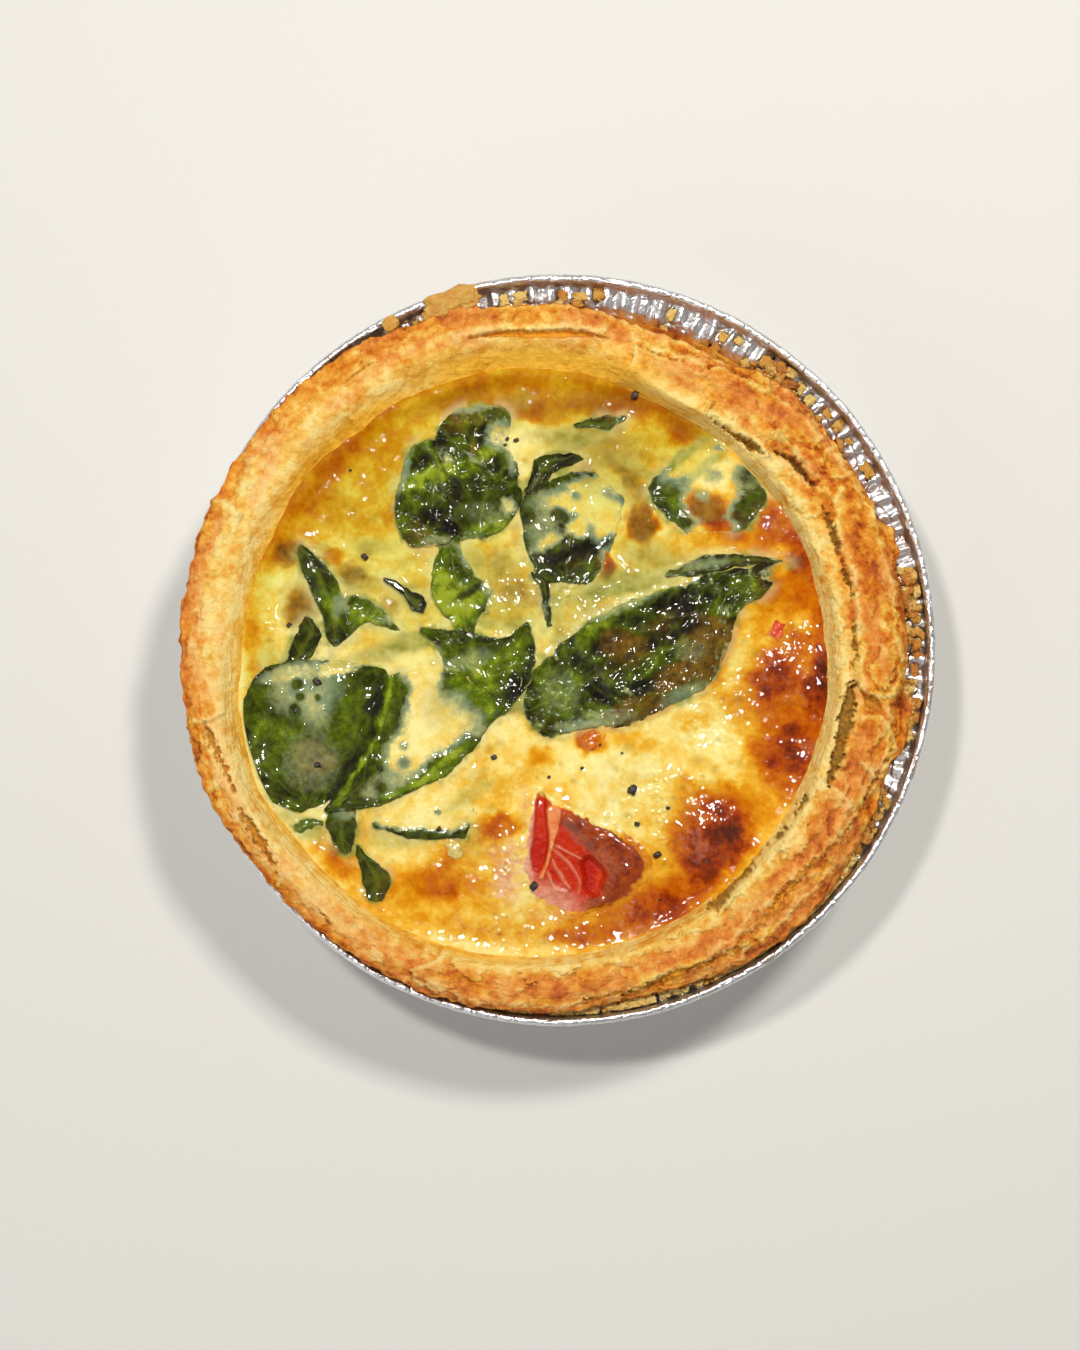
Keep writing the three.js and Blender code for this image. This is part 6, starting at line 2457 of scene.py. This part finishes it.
@dataclass
class CustardFilling:
    """The baked custard: a lumpy top with bubbles and pits, raised over the leaves that it veils."""

    relief: Relief
    leaves_top: Array
    leaves_shown: Array
    leaves_bare: Array
    count: int = 304
    bubbles: int = 900

    def disc(self) -> tuple[Array, Array, Array]:
        """A square of points squeezed evenly into the custard's outline, with how far out each lies in mm.

        Returns:
            The points' x and y, and that distance.
        """
        line = np.linspace(-1, 1, self.count)
        u, v = np.meshgrid(line, line)
        wide = np.abs(u) > np.abs(v)
        share = np.where(wide, np.abs(u), np.abs(v))
        with np.errstate(divide="ignore", invalid="ignore"):
            turn = np.where(
                wide,
                np.pi / 4 * v / u + np.where(u < 0, np.pi, 0),
                np.pi / 2 - np.pi / 4 * u / v + np.where(v < 0, np.pi, 0),
            )
        turn = np.nan_to_num(turn)
        out = FILLING.edge(np.degrees(np.arctan2(np.sin(turn), np.cos(turn)))) + 0.9
        return share * out * np.cos(turn), share * out * np.sin(turn), share * out

    @staticmethod
    def swell(x: Array, y: Array, wet: Array) -> Array:
        """The custard's low lumps, rougher where it is wet.

        Args:
            x: the places' x.
            y: the places' y.
            wet: how wet the custard is there.

        Returns:
            The height at each place, in mm.
        """
        noise = Noise(81)
        z = (
            0.3 * noise.rough(x / 7.0, y / 7.0, 0.0, 3)
            + (0.07 + 0.12 * wet) * noise.rough(x / 2.6, y / 2.6, 4.0, 2)
        )
        return z + (0.02 + 0.07 * wet) * noise.rough(x / 1.1, y / 1.1, 6.0, 2)

    def lumps(self, x: Array, y: Array, wet: Array) -> tuple[Array, Array]:
        """Lumps, small bubbles, and the pits that bubbles left, which also come back by themselves.

        Args:
            x: the places' x.
            y: the places' y.
            wet: how wet the custard is there.

        Returns:
            The height at each place, in mm, and the pits, from 0 to 1.
        """
        z = self.swell(x, y, wet)
        rng = np.random.default_rng(82)
        pits = np.zeros(x.shape)
        for _ in range(self.bubbles):
            turn, far = rng.uniform(0, 2 * np.pi), 47 * math.sqrt(rng.uniform())
            bx, by = FILLING.cx + far * math.cos(turn), FILLING.cy + far * math.sin(turn)
            size, pit = rng.uniform(0.4, 0.95), rng.uniform() < 0.22
            near = (np.abs(x - bx) < 2.2 * size) & (np.abs(y - by) < 2.2 * size)
            q = np.hypot(x[near] - bx, y[near] - by) / size
            rise = (
                -0.2 * np.exp(-(q**2) * 1.6) + 0.07 * np.exp(-((q - 1.1) ** 2) * 9)
                if pit
                else 0.17 * np.exp(-(q**2) * 1.3)
            )
            z[near] = z[near] + rise * (0.25 + 0.75 * wet[near])
            if pit:
                pits[near] = np.maximum(pits[near], np.exp(-(q**2) * 1.2))
        return z, pits

    def build(self) -> bpy.types.Object:
        """Makes the filling.

        Returns:
            The filling.
        """
        x, y, far = self.disc()
        paint = topping_paint(x, y)
        base = FILLING.top(x, y)
        noise, relief = Noise(83), self.relief
        lifted = np.where(self.leaves_top > 0, self.leaves_top - FILLING.top(relief.x, relief.y), -0.4)
        under = base + relief.sample(relief.blur(lifted, 0.2), x, y) - 0.16
        inner = smooth(0.55, 0.9, relief.sample(relief.blur(self.leaves_shown, 0.25), x, y))
        soft = relief.sample(relief.blur(self.leaves_bare, 0.8), x, y)
        lumps, pits = self.lumps(x, y, paint["wet"])
        # painted shade in the pits that bubbles left, laid on the pale custard with the scorched colour
        paint["scorch_and_pit_shade"] = np.maximum(paint["scorch_and_pit_shade"], 0.34 * pits * (1 - smooth(0.35, 0.6, paint["brown"])))
        z = base + lumps + 0.16 * smooth(0.1, 0.5, soft)
        z = lerp(z, np.minimum(z, under), inner)
        z = z - 3.2 * TOMATO.bed(x, y)
        inset = FILLING.edge(np.degrees(np.arctan2(y, x))) - far
        z = lerp(base - 0.1, z, smooth(-0.9, 0.9, inset))
        paint["milk"] = np.clip(
            4 * soft * (1 - soft) * 0.9 * smooth(0.0, 0.4, noise.rough(x / 5.0, y / 5.0, 9.0, 2) + 0.2), 0, 1
        )
        ragged = 0.3 * noise.rough(x / 1.6, y / 1.6, 12.0, 4) + 0.3 * noise.at(x / 6.0, y / 6.0, 14.0)
        paint["green"] = np.maximum(
            paint["green"],
            0.85 * smooth(0.16, 0.62, soft + ragged) * smooth(0.02, 0.2, soft) * (1 - paint["milk"]),
        )
        rows, columns = x.shape
        top = np.stack([x, y, z], axis=-1).reshape(-1, 3)
        ring = border(rows, columns)
        rim = top[ring]
        skirts = []
        for height, out in ((27.0, 0.99), (22.0, 0.955), (12.0, 0.9), (5.2, 0.84)):
            skirts.append(np.column_stack([rim[:, :2] * out, np.full(len(rim), height)]))
        points = np.vstack([top, *skirts, [[0, 0, 5.2]]])
        total, n = rows * columns, len(ring)
        faces = [grid_faces(rows, columns, False)[:, ::-1]]
        previous = ring
        for k in range(len(skirts)):
            current = total + k * n + np.arange(n)
            faces.append(
                np.stack([previous, np.roll(previous, -1), np.roll(current, -1), current], axis=-1)[:, ::-1]
            )
            previous = current
        faces.append(
            np.stack([previous, np.roll(previous, -1), np.full(n, len(points) - 1)], axis=-1)[:, ::-1]
        )
        extra = len(points) - total
        skin = Skin("custard_filling_piece", points, faces)
        skin.paint = {key: np.concatenate([v.reshape(-1), np.zeros(extra)]) for key, v in paint.items()}
        return skin.build(CustardFinish().build(), "custard", ("custard_filling",))


# ---------------------------------------------------------------------------- the tomato


@dataclass(frozen=True)
class TomatoHalf:
    """Half a cherry tomato, cut face up: a narrow and a wide seed hollow, and custard run over one side."""

    px: float = 580.0
    py: float = 861.0
    outline: tuple[tuple[float, float], ...] = (
        (541, 790), (553, 801), (574, 811), (597, 821), (621, 834), (641, 850), (648, 868), (637, 889),
        (617, 903), (595, 912), (570, 916), (547, 908), (530, 893),
        (522, 870), (524, 845), (525, 820), (531, 798),
    )
    margin: float = 1.14
    rings: int = 90
    columns: int = 300
    slot: Stroke = Stroke(((541, 797, 4), (541, 815, 5), (541, 835, 6.5), (539, 850, 7.5), (538, 866, 5)))
    membrane: Stroke = Stroke(
        ((554, 812, 7), (553, 828, 5), (551, 845, 2), (548, 857, 1.8), (545, 866, 1.8), (541, 877, 1.6))
    )
    hollow: Stroke = Stroke(((588, 864, 5), (595, 875, 9), (594, 888, 7)))
    wall: Stroke = Stroke(
        (
            (568, 819, 7), (590, 832, 14), (612, 847, 19), (625, 862, 20), (622, 882, 15), (606, 899, 9),
            (588, 908, 6),
        ),
    )
    ridges: tuple[Stroke, ...] = (
        Stroke(((568, 817, 1.5), (582, 831, 1.5), (595, 844, 1.5))),
        Stroke(((601, 839, 1.8), (610, 852, 1.8), (620, 870, 1.2))),
    )
    # low ridges across the wide hollow, with painted highlights along them
    threads: tuple[Stroke, ...] = (
        Stroke(((553, 844, 1.0), (568, 852, 0.9), (582, 859, 0.6))),
        Stroke(((551, 847, 1.0), (566, 860, 1.1), (576, 872, 1.0), (581, 884, 0.8), (579, 893, 0.5))),
        Stroke(((553, 861, 0.8), (560, 873, 1.2), (570, 888, 0.8))),
        Stroke(((547, 872, 1.0), (555, 888, 1.4), (566, 893, 1.4))),
    )
    milk: Stroke = Stroke(((530, 800, 4), (526, 822, 7), (525, 850, 8), (520, 878, 13), (512, 890, 10)))

    def loop(self, turn: Array) -> tuple[Array, Array]:
        """Its outline on the plan, for shares of the way round from 0 to 1.

        Args:
            turn: the shares.

        Returns:
            The outline's points, across the plan and down it.
        """
        drawn = np.array(self.outline)
        line = through(np.vstack([drawn, drawn[:1]]), turn)
        return line[:, 0], line[:, 1]

    def bed(self, x: Array, y: Array) -> Array:
        """How deep the custard gives way under it, from 0 to 1.

        Args:
            x: the places' x.
            y: the places' y.

        Returns:
            The depth at each place.
        """
        px, py = PLAN.from_mm(x, y)
        lx, ly = self.loop(np.linspace(0, 1, 200, endpoint=False))
        turn = np.arctan2(ly - self.py, lx - self.px)
        order = np.argsort(turn)
        far = np.interp(
            np.arctan2(py - self.py, px - self.px),
            turn[order],
            np.hypot(lx - self.px, ly - self.py)[order],
            period=2 * np.pi,
        )
        return 1 - smooth(0.88, 1.0, np.hypot(px - self.px, py - self.py) / far)

    def face(self, px: Array, py: Array) -> tuple[Array, dict[str, Array]]:
        """The cut face's height over the custard, and the values painted on it.

        Args:
            px: how far across the plan the places are.
            py: how far down the plan they are.

        Returns:
            The height at each place, in mm, and the values, by their names.
        """
        slot, deep = self.slot.shade(px, py, 3.0), self.hollow.shade(px, py, 5.0)
        rib, wall = self.membrane.shade(px, py, 2.5), self.wall.shade(px, py, 6.0)
        # the threads: low ridges, with painted highlights along them
        fibre_and_highlight = sum(thread.shade(px, py, 1.4) for thread in self.threads)
        milk = (
            np.maximum(
                self.milk.shade(px, py, 7.0), 0.8 * Blot(545, 900, 34, 16, -20, 1.0, 0.6).shade(px, py)
            )
            * (1 - slot)
        )
        bottom = Blot(572, 905, 22, 9, -6, 1.0, 0.5).shade(px, py)
        flank = self.wall.outside(px, py)
        crest = 0.4 * np.exp(-((np.minimum(flank + 12, 12) / 9.0) ** 2))
        streaks = sum(ridge.shade(px, py, 5.0) for ridge in self.ridges)
        z = (
            0.45
            + wall * (0.2 + crest)
            + 0.3 * streaks
            - 1.1 * slot
            - 1.4 * deep * (1 - 0.5 * wall)
            + 0.5 * rib
            + 0.25 * fibre_and_highlight
            - 0.35 * bottom
        )
        # how red the flesh is: painted shade deepens it on the left side of the wide hollow, and painted
        # highlights make the threads paler
        seeds = (
            0.5
            + 0.16 * slot * smooth(820, 850, py)
            + 0.3 * deep * (1 - smooth(590, 598, px))
            - 0.06 * deep
            - 0.42 * rib
            - 0.22 * fibre_and_highlight
        )
        return z, {
            "flesh": np.clip(seeds, 0, 1),
            "wall": wall * (1 - deep),
            # the milky skin, and the pale painted highlights along the threads
            "skin": np.clip(0.8 * milk + 0.3 * fibre_and_highlight, 0, 1),
        }

    def build(self) -> bpy.types.Object:
        """Makes the tomato.

        Returns:
            The tomato.
        """
        share = np.linspace(0.02, self.margin, self.rings)[:, None]
        lx, ly = self.loop(np.linspace(0, 1, self.columns, endpoint=False))
        px, py = lerp(self.px, lx, share), lerp(self.py, ly, share)
        noise = Noise(91)
        x, y = PLAN.to_mm(px, py)
        shift_x, shift_y = (1.2 * noise.at(px / 12, py / 12, layer) for layer in (2.0, 5.0))
        rise, flesh = self.face(px + shift_x, py + shift_y)
        rim = share + 0.05 * noise.rough(x / 2.4, y / 2.4, 5.0, 3)
        edge = smooth(0.86, 1.04, rim)
        base = topping_paint(x, y)
        outside = CustardFilling.swell(x, y, base["wet"]) + 0.05
        z = (
            FILLING.top(x, y)
            + lerp(rise + 0.06 * noise.rough(x / 1.4, y / 1.4, 3.0, 2), outside, edge)
            - 0.7 * smooth(1.06, self.margin, share)
        )
        film = smooth(0.86, 1.02, rim + 0.03 * noise.rough(x / 0.9, y / 0.9, 9.0, 2))
        base["brown"] = np.maximum(base["brown"], 0.5 * Blot(634, 858, 34, 40, -28, 1.0, 0.6).shade(px, py))
        paint = {**base, **flesh, "film": np.broadcast_to(film, x.shape)}
        belly_share = np.array([0.9, 0.7, 0.4, 0.1])[:, None]
        centre_x, centre_y = PLAN.to_mm(self.px, self.py)
        low_x = centre_x + (x[-1] - centre_x) * belly_share
        low_y = centre_y + (y[-1] - centre_y) * belly_share
        low_z = np.broadcast_to(FILLING.level - np.array([3.0, 5.0, 6.2, 6.6])[:, None], low_x.shape)
        all_x, all_y, all_z = np.vstack([x, low_x]), np.vstack([y, low_y]), np.vstack([z, low_z])
        points = np.stack([all_x, all_y, all_z], axis=-1).reshape(-1, 3)
        ends = np.array([[centre_x, centre_y, z[0].mean()], [centre_x, centre_y, FILLING.level - 6.6]])
        faces = [face[:, ::-1] for face in tube_faces(len(all_x), self.columns)]
        skin = Skin("tomato_half_piece", np.vstack([points, ends]), faces)
        for key, values in paint.items():
            flat = np.vstack([values, np.repeat(values[-1:], 4, axis=0)]).reshape(-1)
            skin.paint[key] = np.concatenate([flat, [flat[0], flat[-1]]])
        return skin.build(TomatoFinish().build(), "tomato", ("tomato_half",))


TOMATO = TomatoHalf()


# ---------------------------------------------------------------------------- small pieces


def lump(
    rng: np.random.Generator, size: tuple[float, float, float], square: float, rough: float, detail: int = 10
) -> tuple[Array, Array]:
    """A small uneven lump round the origin.

    Args:
        rng: where its unevenness comes from.
        size: half its length, width and height.
        square: 1 for round, and less for a squarer lump.
        rough: how uneven it is.
        detail: how many rings it has.

    Returns:
        Its points and its faces.
    """
    rows, columns = detail, detail * 2
    up = np.linspace(-np.pi / 2, np.pi / 2, rows + 2)[1:-1, None]
    turn = np.linspace(0, 2 * np.pi, columns, endpoint=False)[None, :]

    def power(v: Array) -> Array:
        """A sine or cosine pushed out towards a box."""
        return np.sign(v) * np.abs(v) ** square

    x, y = power(np.cos(up)) * power(np.cos(turn)), power(np.cos(up)) * power(np.sin(turn))
    z = power(np.sin(up)) + 0 * turn
    noise = Noise(int(rng.integers(1, 10000)))
    swell = 1 + rough * noise.rough(x * 1.4, y * 1.4, z * 1.4, 3)
    points = np.stack([x * swell * size[0], y * swell * size[1], z * swell * size[2]], axis=-1).reshape(-1, 3)
    poles = np.array([[0, 0, -size[2]], [0, 0, size[2]]])
    quads, low, high = (face[:, ::-1] for face in tube_faces(rows, columns))
    return np.vstack([points, poles]), np.vstack([quads[:, [0, 1, 2]], quads[:, [0, 2, 3]], low, high])


class Heap:
    """Many small lumps in one mesh."""

    # mm: the inside of the tin's lip and the top of it, and where its flange begins and how high it is
    LIP = 61.8
    LIP_TOP = 29.0
    FLANGE = 57.0
    FLANGE_TOP = 26.72

    def __init__(self, name: str, seed: int) -> None:
        """Starts an empty heap.

        Args:
            name: the heap's name.
            seed: the seed of its random draws.
        """
        self.name = name
        self.rng = np.random.default_rng(seed)
        self.points: list[Array] = []
        self.faces: list[Array] = []
        self.toast: list[Array] = []
        self.count = 0

    def add(
        self,
        x: float,
        y: float,
        z: float,
        size: tuple[float, float, float],
        turn: float,
        square: float = 0.7,
        rough: float = 0.25,
        toast: float = 0.4,
        detail: int = 8,
    ) -> None:
        """Adds a lump at a place, turned by an angle in degrees.

        Args:
            x: the place's x.
            y: the place's y.
            z: the place's z.
            size: half its length, width and height.
            turn: the angle.
            square: 1 for round, and less for a squarer lump.
            rough: how uneven it is.
            toast: how brown it is.
            detail: how many rings it has.
        """
        points, faces = lump(self.rng, size, square, rough, detail)
        self.points.append(turned(points, turn) + [x, y, z])
        self.faces.append(faces + self.count)
        self.toast.append(np.full(len(points), toast))
        self.count += len(points)

    def build(self, finish: bpy.types.Material, slot: str) -> bpy.types.Object:
        """Makes the heap, with whatever lies in the tin's rim kept inside its lip and on its flange.

        Args:
            finish: its material.
            slot: passed on to Skin.build, which does not use it.

        Returns:
            The heap.
        """
        points = np.vstack(self.points)
        radius, z = np.hypot(points[:, 0], points[:, 1]), points[:, 2]
        points[:, :2] *= np.where(z < self.LIP_TOP, np.minimum(1, self.LIP / radius), 1.0)[:, None]
        points[:, 2] = np.where(radius > self.FLANGE, np.maximum(z, self.FLANGE_TOP), z)
        skin = Skin(self.name, points, [np.vstack(self.faces)], {"toast": np.concatenate(self.toast)})
        return skin.build(finish, slot)


@dataclass
class Scraps:
    """Dough squares between the tin's flutes, crumbs on its flange, and cracked pepper on the custard."""

    crust: PastryCrust
    flutes: int = 120
    flange: float = 26.65
    bead: float = 29.85

    def dough(self) -> bpy.types.Object:
        """Squares of dough pressed between the flutes where the flange shows.

        Returns:
            The heap of squares.
        """
        heap = Heap("dough_squares", 101)
        rng = heap.rng
        bare_arcs = ((7, 16), (19, 55), (57, 76), (82, 119), (352, 362))
        for k in range(self.flutes):
            angle = k * 360.0 / self.flutes
            shown = max(float(over(np.array(angle), a, b, 0.5)) for a, b in bare_arcs)
            if shown < 0.5 or rng.uniform() < 0.24:
                continue
            edge = float(self.crust.outline(np.array(angle)))
            angle += rng.normal(0, 0.35)
            far, long = rng.uniform(59.8, 60.9), rng.uniform(0.55, 1.15)
            x, y = polar(far, angle)
            size = (long, rng.uniform(0.55, 1.3), rng.uniform(0.25, 0.42))
            heap.add(
                x,
                y,
                self.flange,
                size,
                angle + rng.normal(0, 14),
                rng.uniform(0.4, 0.75),
                0.5,
                rng.uniform(0.0, 0.7),
                16,
            )
            if far - long - edge > 0.3 and rng.uniform() < 0.7:
                near = lerp(edge, far - long, rng.uniform(0.3, 0.7))
                x, y = polar(near, angle + 0.5)
                size = (rng.uniform(0.4, 0.9), rng.uniform(0.5, 1.1), 0.35)
                heap.add(
                    x, y, self.flange, size, angle + rng.normal(0, 20), 0.7, 0.5, rng.uniform(0.1, 0.8), 14
                )
        return heap.build(CrumbFinish().build(), "crust")

    def crumbs(self) -> bpy.types.Object:
        """Crumbs that lie on the flange, in the crumbly part of the rim and on the bead.

        Returns:
            The heap of crumbs.
        """
        heap = Heap("crust_crumbs", 102)
        rng = heap.rng
        broken_off = (
            (107.3, 61.9, (4.7, 1.6, 0.8), 0.62),
            (110.2, 60.7, (2.4, 1.3, 0.9), 0.8),
            (105.0, 60.9, (1.9, 1.2, 0.8), 0.8),
            (117.4, 62.0, (1.3, 1.2, 0.7), 0.8),
        )
        for turn, far, size, square in broken_off:
            x, y = polar(far, turn)
            heap.add(x, y, self.bead, size, turn + 90, square, 0.3, 0.42, 34)
        clumps = [-12.0, -7.0, 3.0, 9.0, -40.0, -30.0, 52.0]
        for k in range(330):
            clump = k % 3 == 0
            angle = rng.choice(clumps) + rng.normal(0, 1.8) if clump else rng.uniform(-95, -22)
            edge = float(self.crust.outline(np.array(angle)))
            far = rng.uniform(edge - 0.3, max(edge + 0.5, 61.6))
            size = rng.uniform(0.5, 1.05) if clump else rng.uniform(0.22, 0.65)
            z = 26.9 + size * 0.6 if far < 61.4 else 27.6
            x, y = polar(far, angle)
            heap.add(
                x,
                y,
                z,
                (size, size * rng.uniform(0.6, 1), size * 0.7),
                rng.uniform(0, 180),
                0.75,
                0.6,
                rng.uniform(0.1, 0.8),
                9,
            )
        for _ in range(90):
            angle = rng.uniform(-100, -34)
            edge = float(self.crust.outline(np.array(angle)))
            far = rng.uniform(max(edge + 0.1, 59.6), 61.5)
            x, y = polar(far, angle)
            size = (rng.uniform(0.6, 1.3), rng.uniform(0.5, 0.9), rng.uniform(0.8, 1.15))
            heap.add(x, y, 27.2, size, angle + 90 + rng.normal(0, 25), 0.6, 0.55, rng.uniform(-0.1, 0.3), 9)
        return heap.build(bpy.data.materials["crumbs"], "crust")

    def pepper(self) -> bpy.types.Object:
        """Grains of pepper, each at its place on the plan with its size.

        Returns:
            The heap of grains.
        """
        heap = Heap("cracked_pepper", 103)
        grains = (
            (633, 790, 5), (657, 855, 3.6), (637, 824, 2.6), (494, 757, 2.8), (534, 886, 4.5), (317, 682, 4),
            (295, 711, 2.6), (365, 557, 3.4), (635, 395, 4), (507, 439, 2), (516, 440, 2.4), (505, 445, 1.8),
            (668, 808, 2), (289, 625, 2.4), (317, 765, 3.4),
            (549, 777, 1.6), (439, 829, 2.6), (582, 768, 1.8),
            (622, 753, 1.4), (616, 640, 1.6), (380, 768, 3),
            (660, 900, 1.6), (600, 745, 1.4), (350, 470, 1.4),
        )
        for px, py, size in grains:
            x, y = PLAN.to_mm(px, py)
            half = size * PLAN.unit
            z = float(FILLING.top(x, y)) + half * 0.35 + 0.15
            heap.add(
                float(x), float(y), z, (half, half * 0.8, half * 0.6), heap.rng.uniform(0, 180), 0.6, 0.4, 0.0
            )
        return heap.build(PepperFinish().build(), "custard")


@dataclass(frozen=True)
class Chunk:
    """A small piece half sunk in the custard, that stands for a solid of its own."""

    name: str
    slot: str
    px: float
    py: float
    size: tuple[float, float, float]
    turn: float
    finish: MorselFinish

    def build(self) -> bpy.types.Object:
        """Makes the piece.

        Returns:
            The piece.
        """
        rng = np.random.default_rng(int(self.px))
        points, faces = lump(rng, self.size, 0.85, 0.2, 26)
        x, y = PLAN.to_mm(self.px, self.py)
        points = turned(points, self.turn) + [x, y, FILLING.top(x, y)]
        points[:, 2] += 0.4 - self.size[2]
        rise = points[:, 2] - FILLING.top(points[:, 0], points[:, 1])
        paint = topping_paint(points[:, 0], points[:, 1])
        paint["film"] = 1 - smooth(-0.1, 0.3, rise)
        skin = Skin(f"{self.name}_piece", points, [faces], paint)
        return skin.build(self.finish.build(), self.slot, (self.name,))


CHUNKS = (
    Chunk(
        "tomato_bit", "tomato", 777.0, 632.0, (2.3, 1.6, 1.2), 70.0,
        MorselFinish("tomato_morsel", (206, 52, 20), (226, 110, 66)),
    ),
    Chunk(
        "browned_bit", "browned", 592.0, 741.0, (2.3, 2.1, 1.2), 20.0,
        MorselFinish("browned_morsel", (176, 70, 4), (226, 132, 16)),
    ),
    Chunk(
        "onion_bit", "onion", 453.0, 848.0, (2.2, 1.5, 1.1), -50.0,
        MorselFinish("onion_morsel", (196, 170, 84), (232, 214, 140)),
    ),
)


# ---------------------------------------------------------------------------- the studio


@dataclass(frozen=True)
class Lamp:
    """A soft square light: where it is, its size, power and colour."""

    name: str
    place: tuple[float, float, float]
    size: float
    power: float
    colour: Colour = (1.0, 1.0, 1.0)

    def build(self) -> None:
        """Makes the light, aimed at the quiche."""
        data = bpy.data.lights.new(self.name, "AREA")
        data.shape, data.size, data.energy, data.color = "SQUARE", self.size, self.power, self.colour
        lamp = bpy.data.objects.new(self.name, data)
        lamp.location = self.place
        aim = Vector((0, 0, 0.02)) - Vector(self.place)
        lamp.rotation_euler = aim.to_track_quat("-Z", "Y").to_euler()
        bpy.context.scene.collection.objects.link(lamp)


@dataclass(frozen=True)
class Studio:
    """A pale floor, soft lights and a camera that looks straight down."""

    distance: float = 0.42
    aim: tuple[float, float] = (-0.00338, -0.00422)
    frame_height: float = 0.228
    rim_height: float = 0.029
    low_sky: float = 0.44
    high_sky: float = 0.13
    lamps: tuple[Lamp, ...] = (
        Lamp("key", (0.2, 0.31, 0.66), 0.09, 2.8, (1.0, 0.97, 0.9)),
        Lamp("sparkle", (-0.16, 0.2, 0.72), 0.05, 2.1, (1.0, 0.98, 0.94)),
        Lamp("fill", (-0.5, -0.5, 0.6), 0.8, 1.3, (1.0, 0.99, 0.96)),
    )

    def build(self) -> None:
        """Makes the floor, the lights and the camera."""
        scene = bpy.context.scene
        scene.view_settings.view_transform = "Standard"
        scene.view_settings.look = "None"
        mesh = bpy.data.meshes.new("floor")
        half = 3.0
        mesh.from_pydata(
            [(-half, -half, 0), (half, -half, 0), (half, half, 0), (-half, half, 0)], [], [(0, 1, 2, 3)]
        )
        floor = bpy.data.objects.new("floor", mesh)
        scene.collection.objects.link(floor)
        s = Shader("floor")
        s.set(Base_Color=tint(226, 224, 220), Roughness=0.7)
        mesh.materials.append(s.material)
        for lamp in self.lamps:
            lamp.build()
        world = bpy.data.worlds.new("studio")
        scene.world = world
        world.use_nodes = True
        nodes, links = world.node_tree.nodes, world.node_tree.links
        kinds = ("TexCoord", "SeparateXYZ", "MapRange")
        place, split, fade = (nodes.new(f"ShaderNode{kind}") for kind in kinds)
        fade.inputs["From Min"].default_value, fade.inputs["From Max"].default_value = 0.2, 0.95
        fade.inputs["To Min"].default_value, fade.inputs["To Max"].default_value = self.low_sky, self.high_sky
        nodes["Background"].inputs[0].default_value = (1.0, 0.99, 0.97, 1.0)
        links.new(place.outputs["Generated"], split.inputs[0])
        links.new(split.outputs["Z"], fade.inputs["Value"])
        links.new(fade.outputs[0], nodes["Background"].inputs[1])
        data = bpy.data.cameras.new("camera")
        data.lens = data.sensor_width * self.distance / self.frame_height
        data.clip_start, data.clip_end = 0.01, 10
        camera = bpy.data.objects.new("camera", data)
        camera.location = (*self.aim, self.rim_height + self.distance)
        scene.collection.objects.link(camera)
        scene.camera = camera


def main() -> None:
    """Builds the quiche, part by part, and the studio round it."""
    logging.basicConfig(level=logging.INFO, format="%(name)s %(message)s")
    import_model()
    Studio().build()
    FoilTin().build()
    crust = PastryCrust()
    crust.build()
    relief = Relief()
    spinach = Spinach(relief)
    spinach.build()
    CustardFilling(relief, spinach.top, spinach.shown, spinach.bare).build()
    TOMATO.build()
    scraps = Scraps(crust)
    scraps.dough()
    scraps.crumbs()
    scraps.pepper()
    for chunk in CHUNKS:
        chunk.build()


if __name__ == "__main__":
    main()
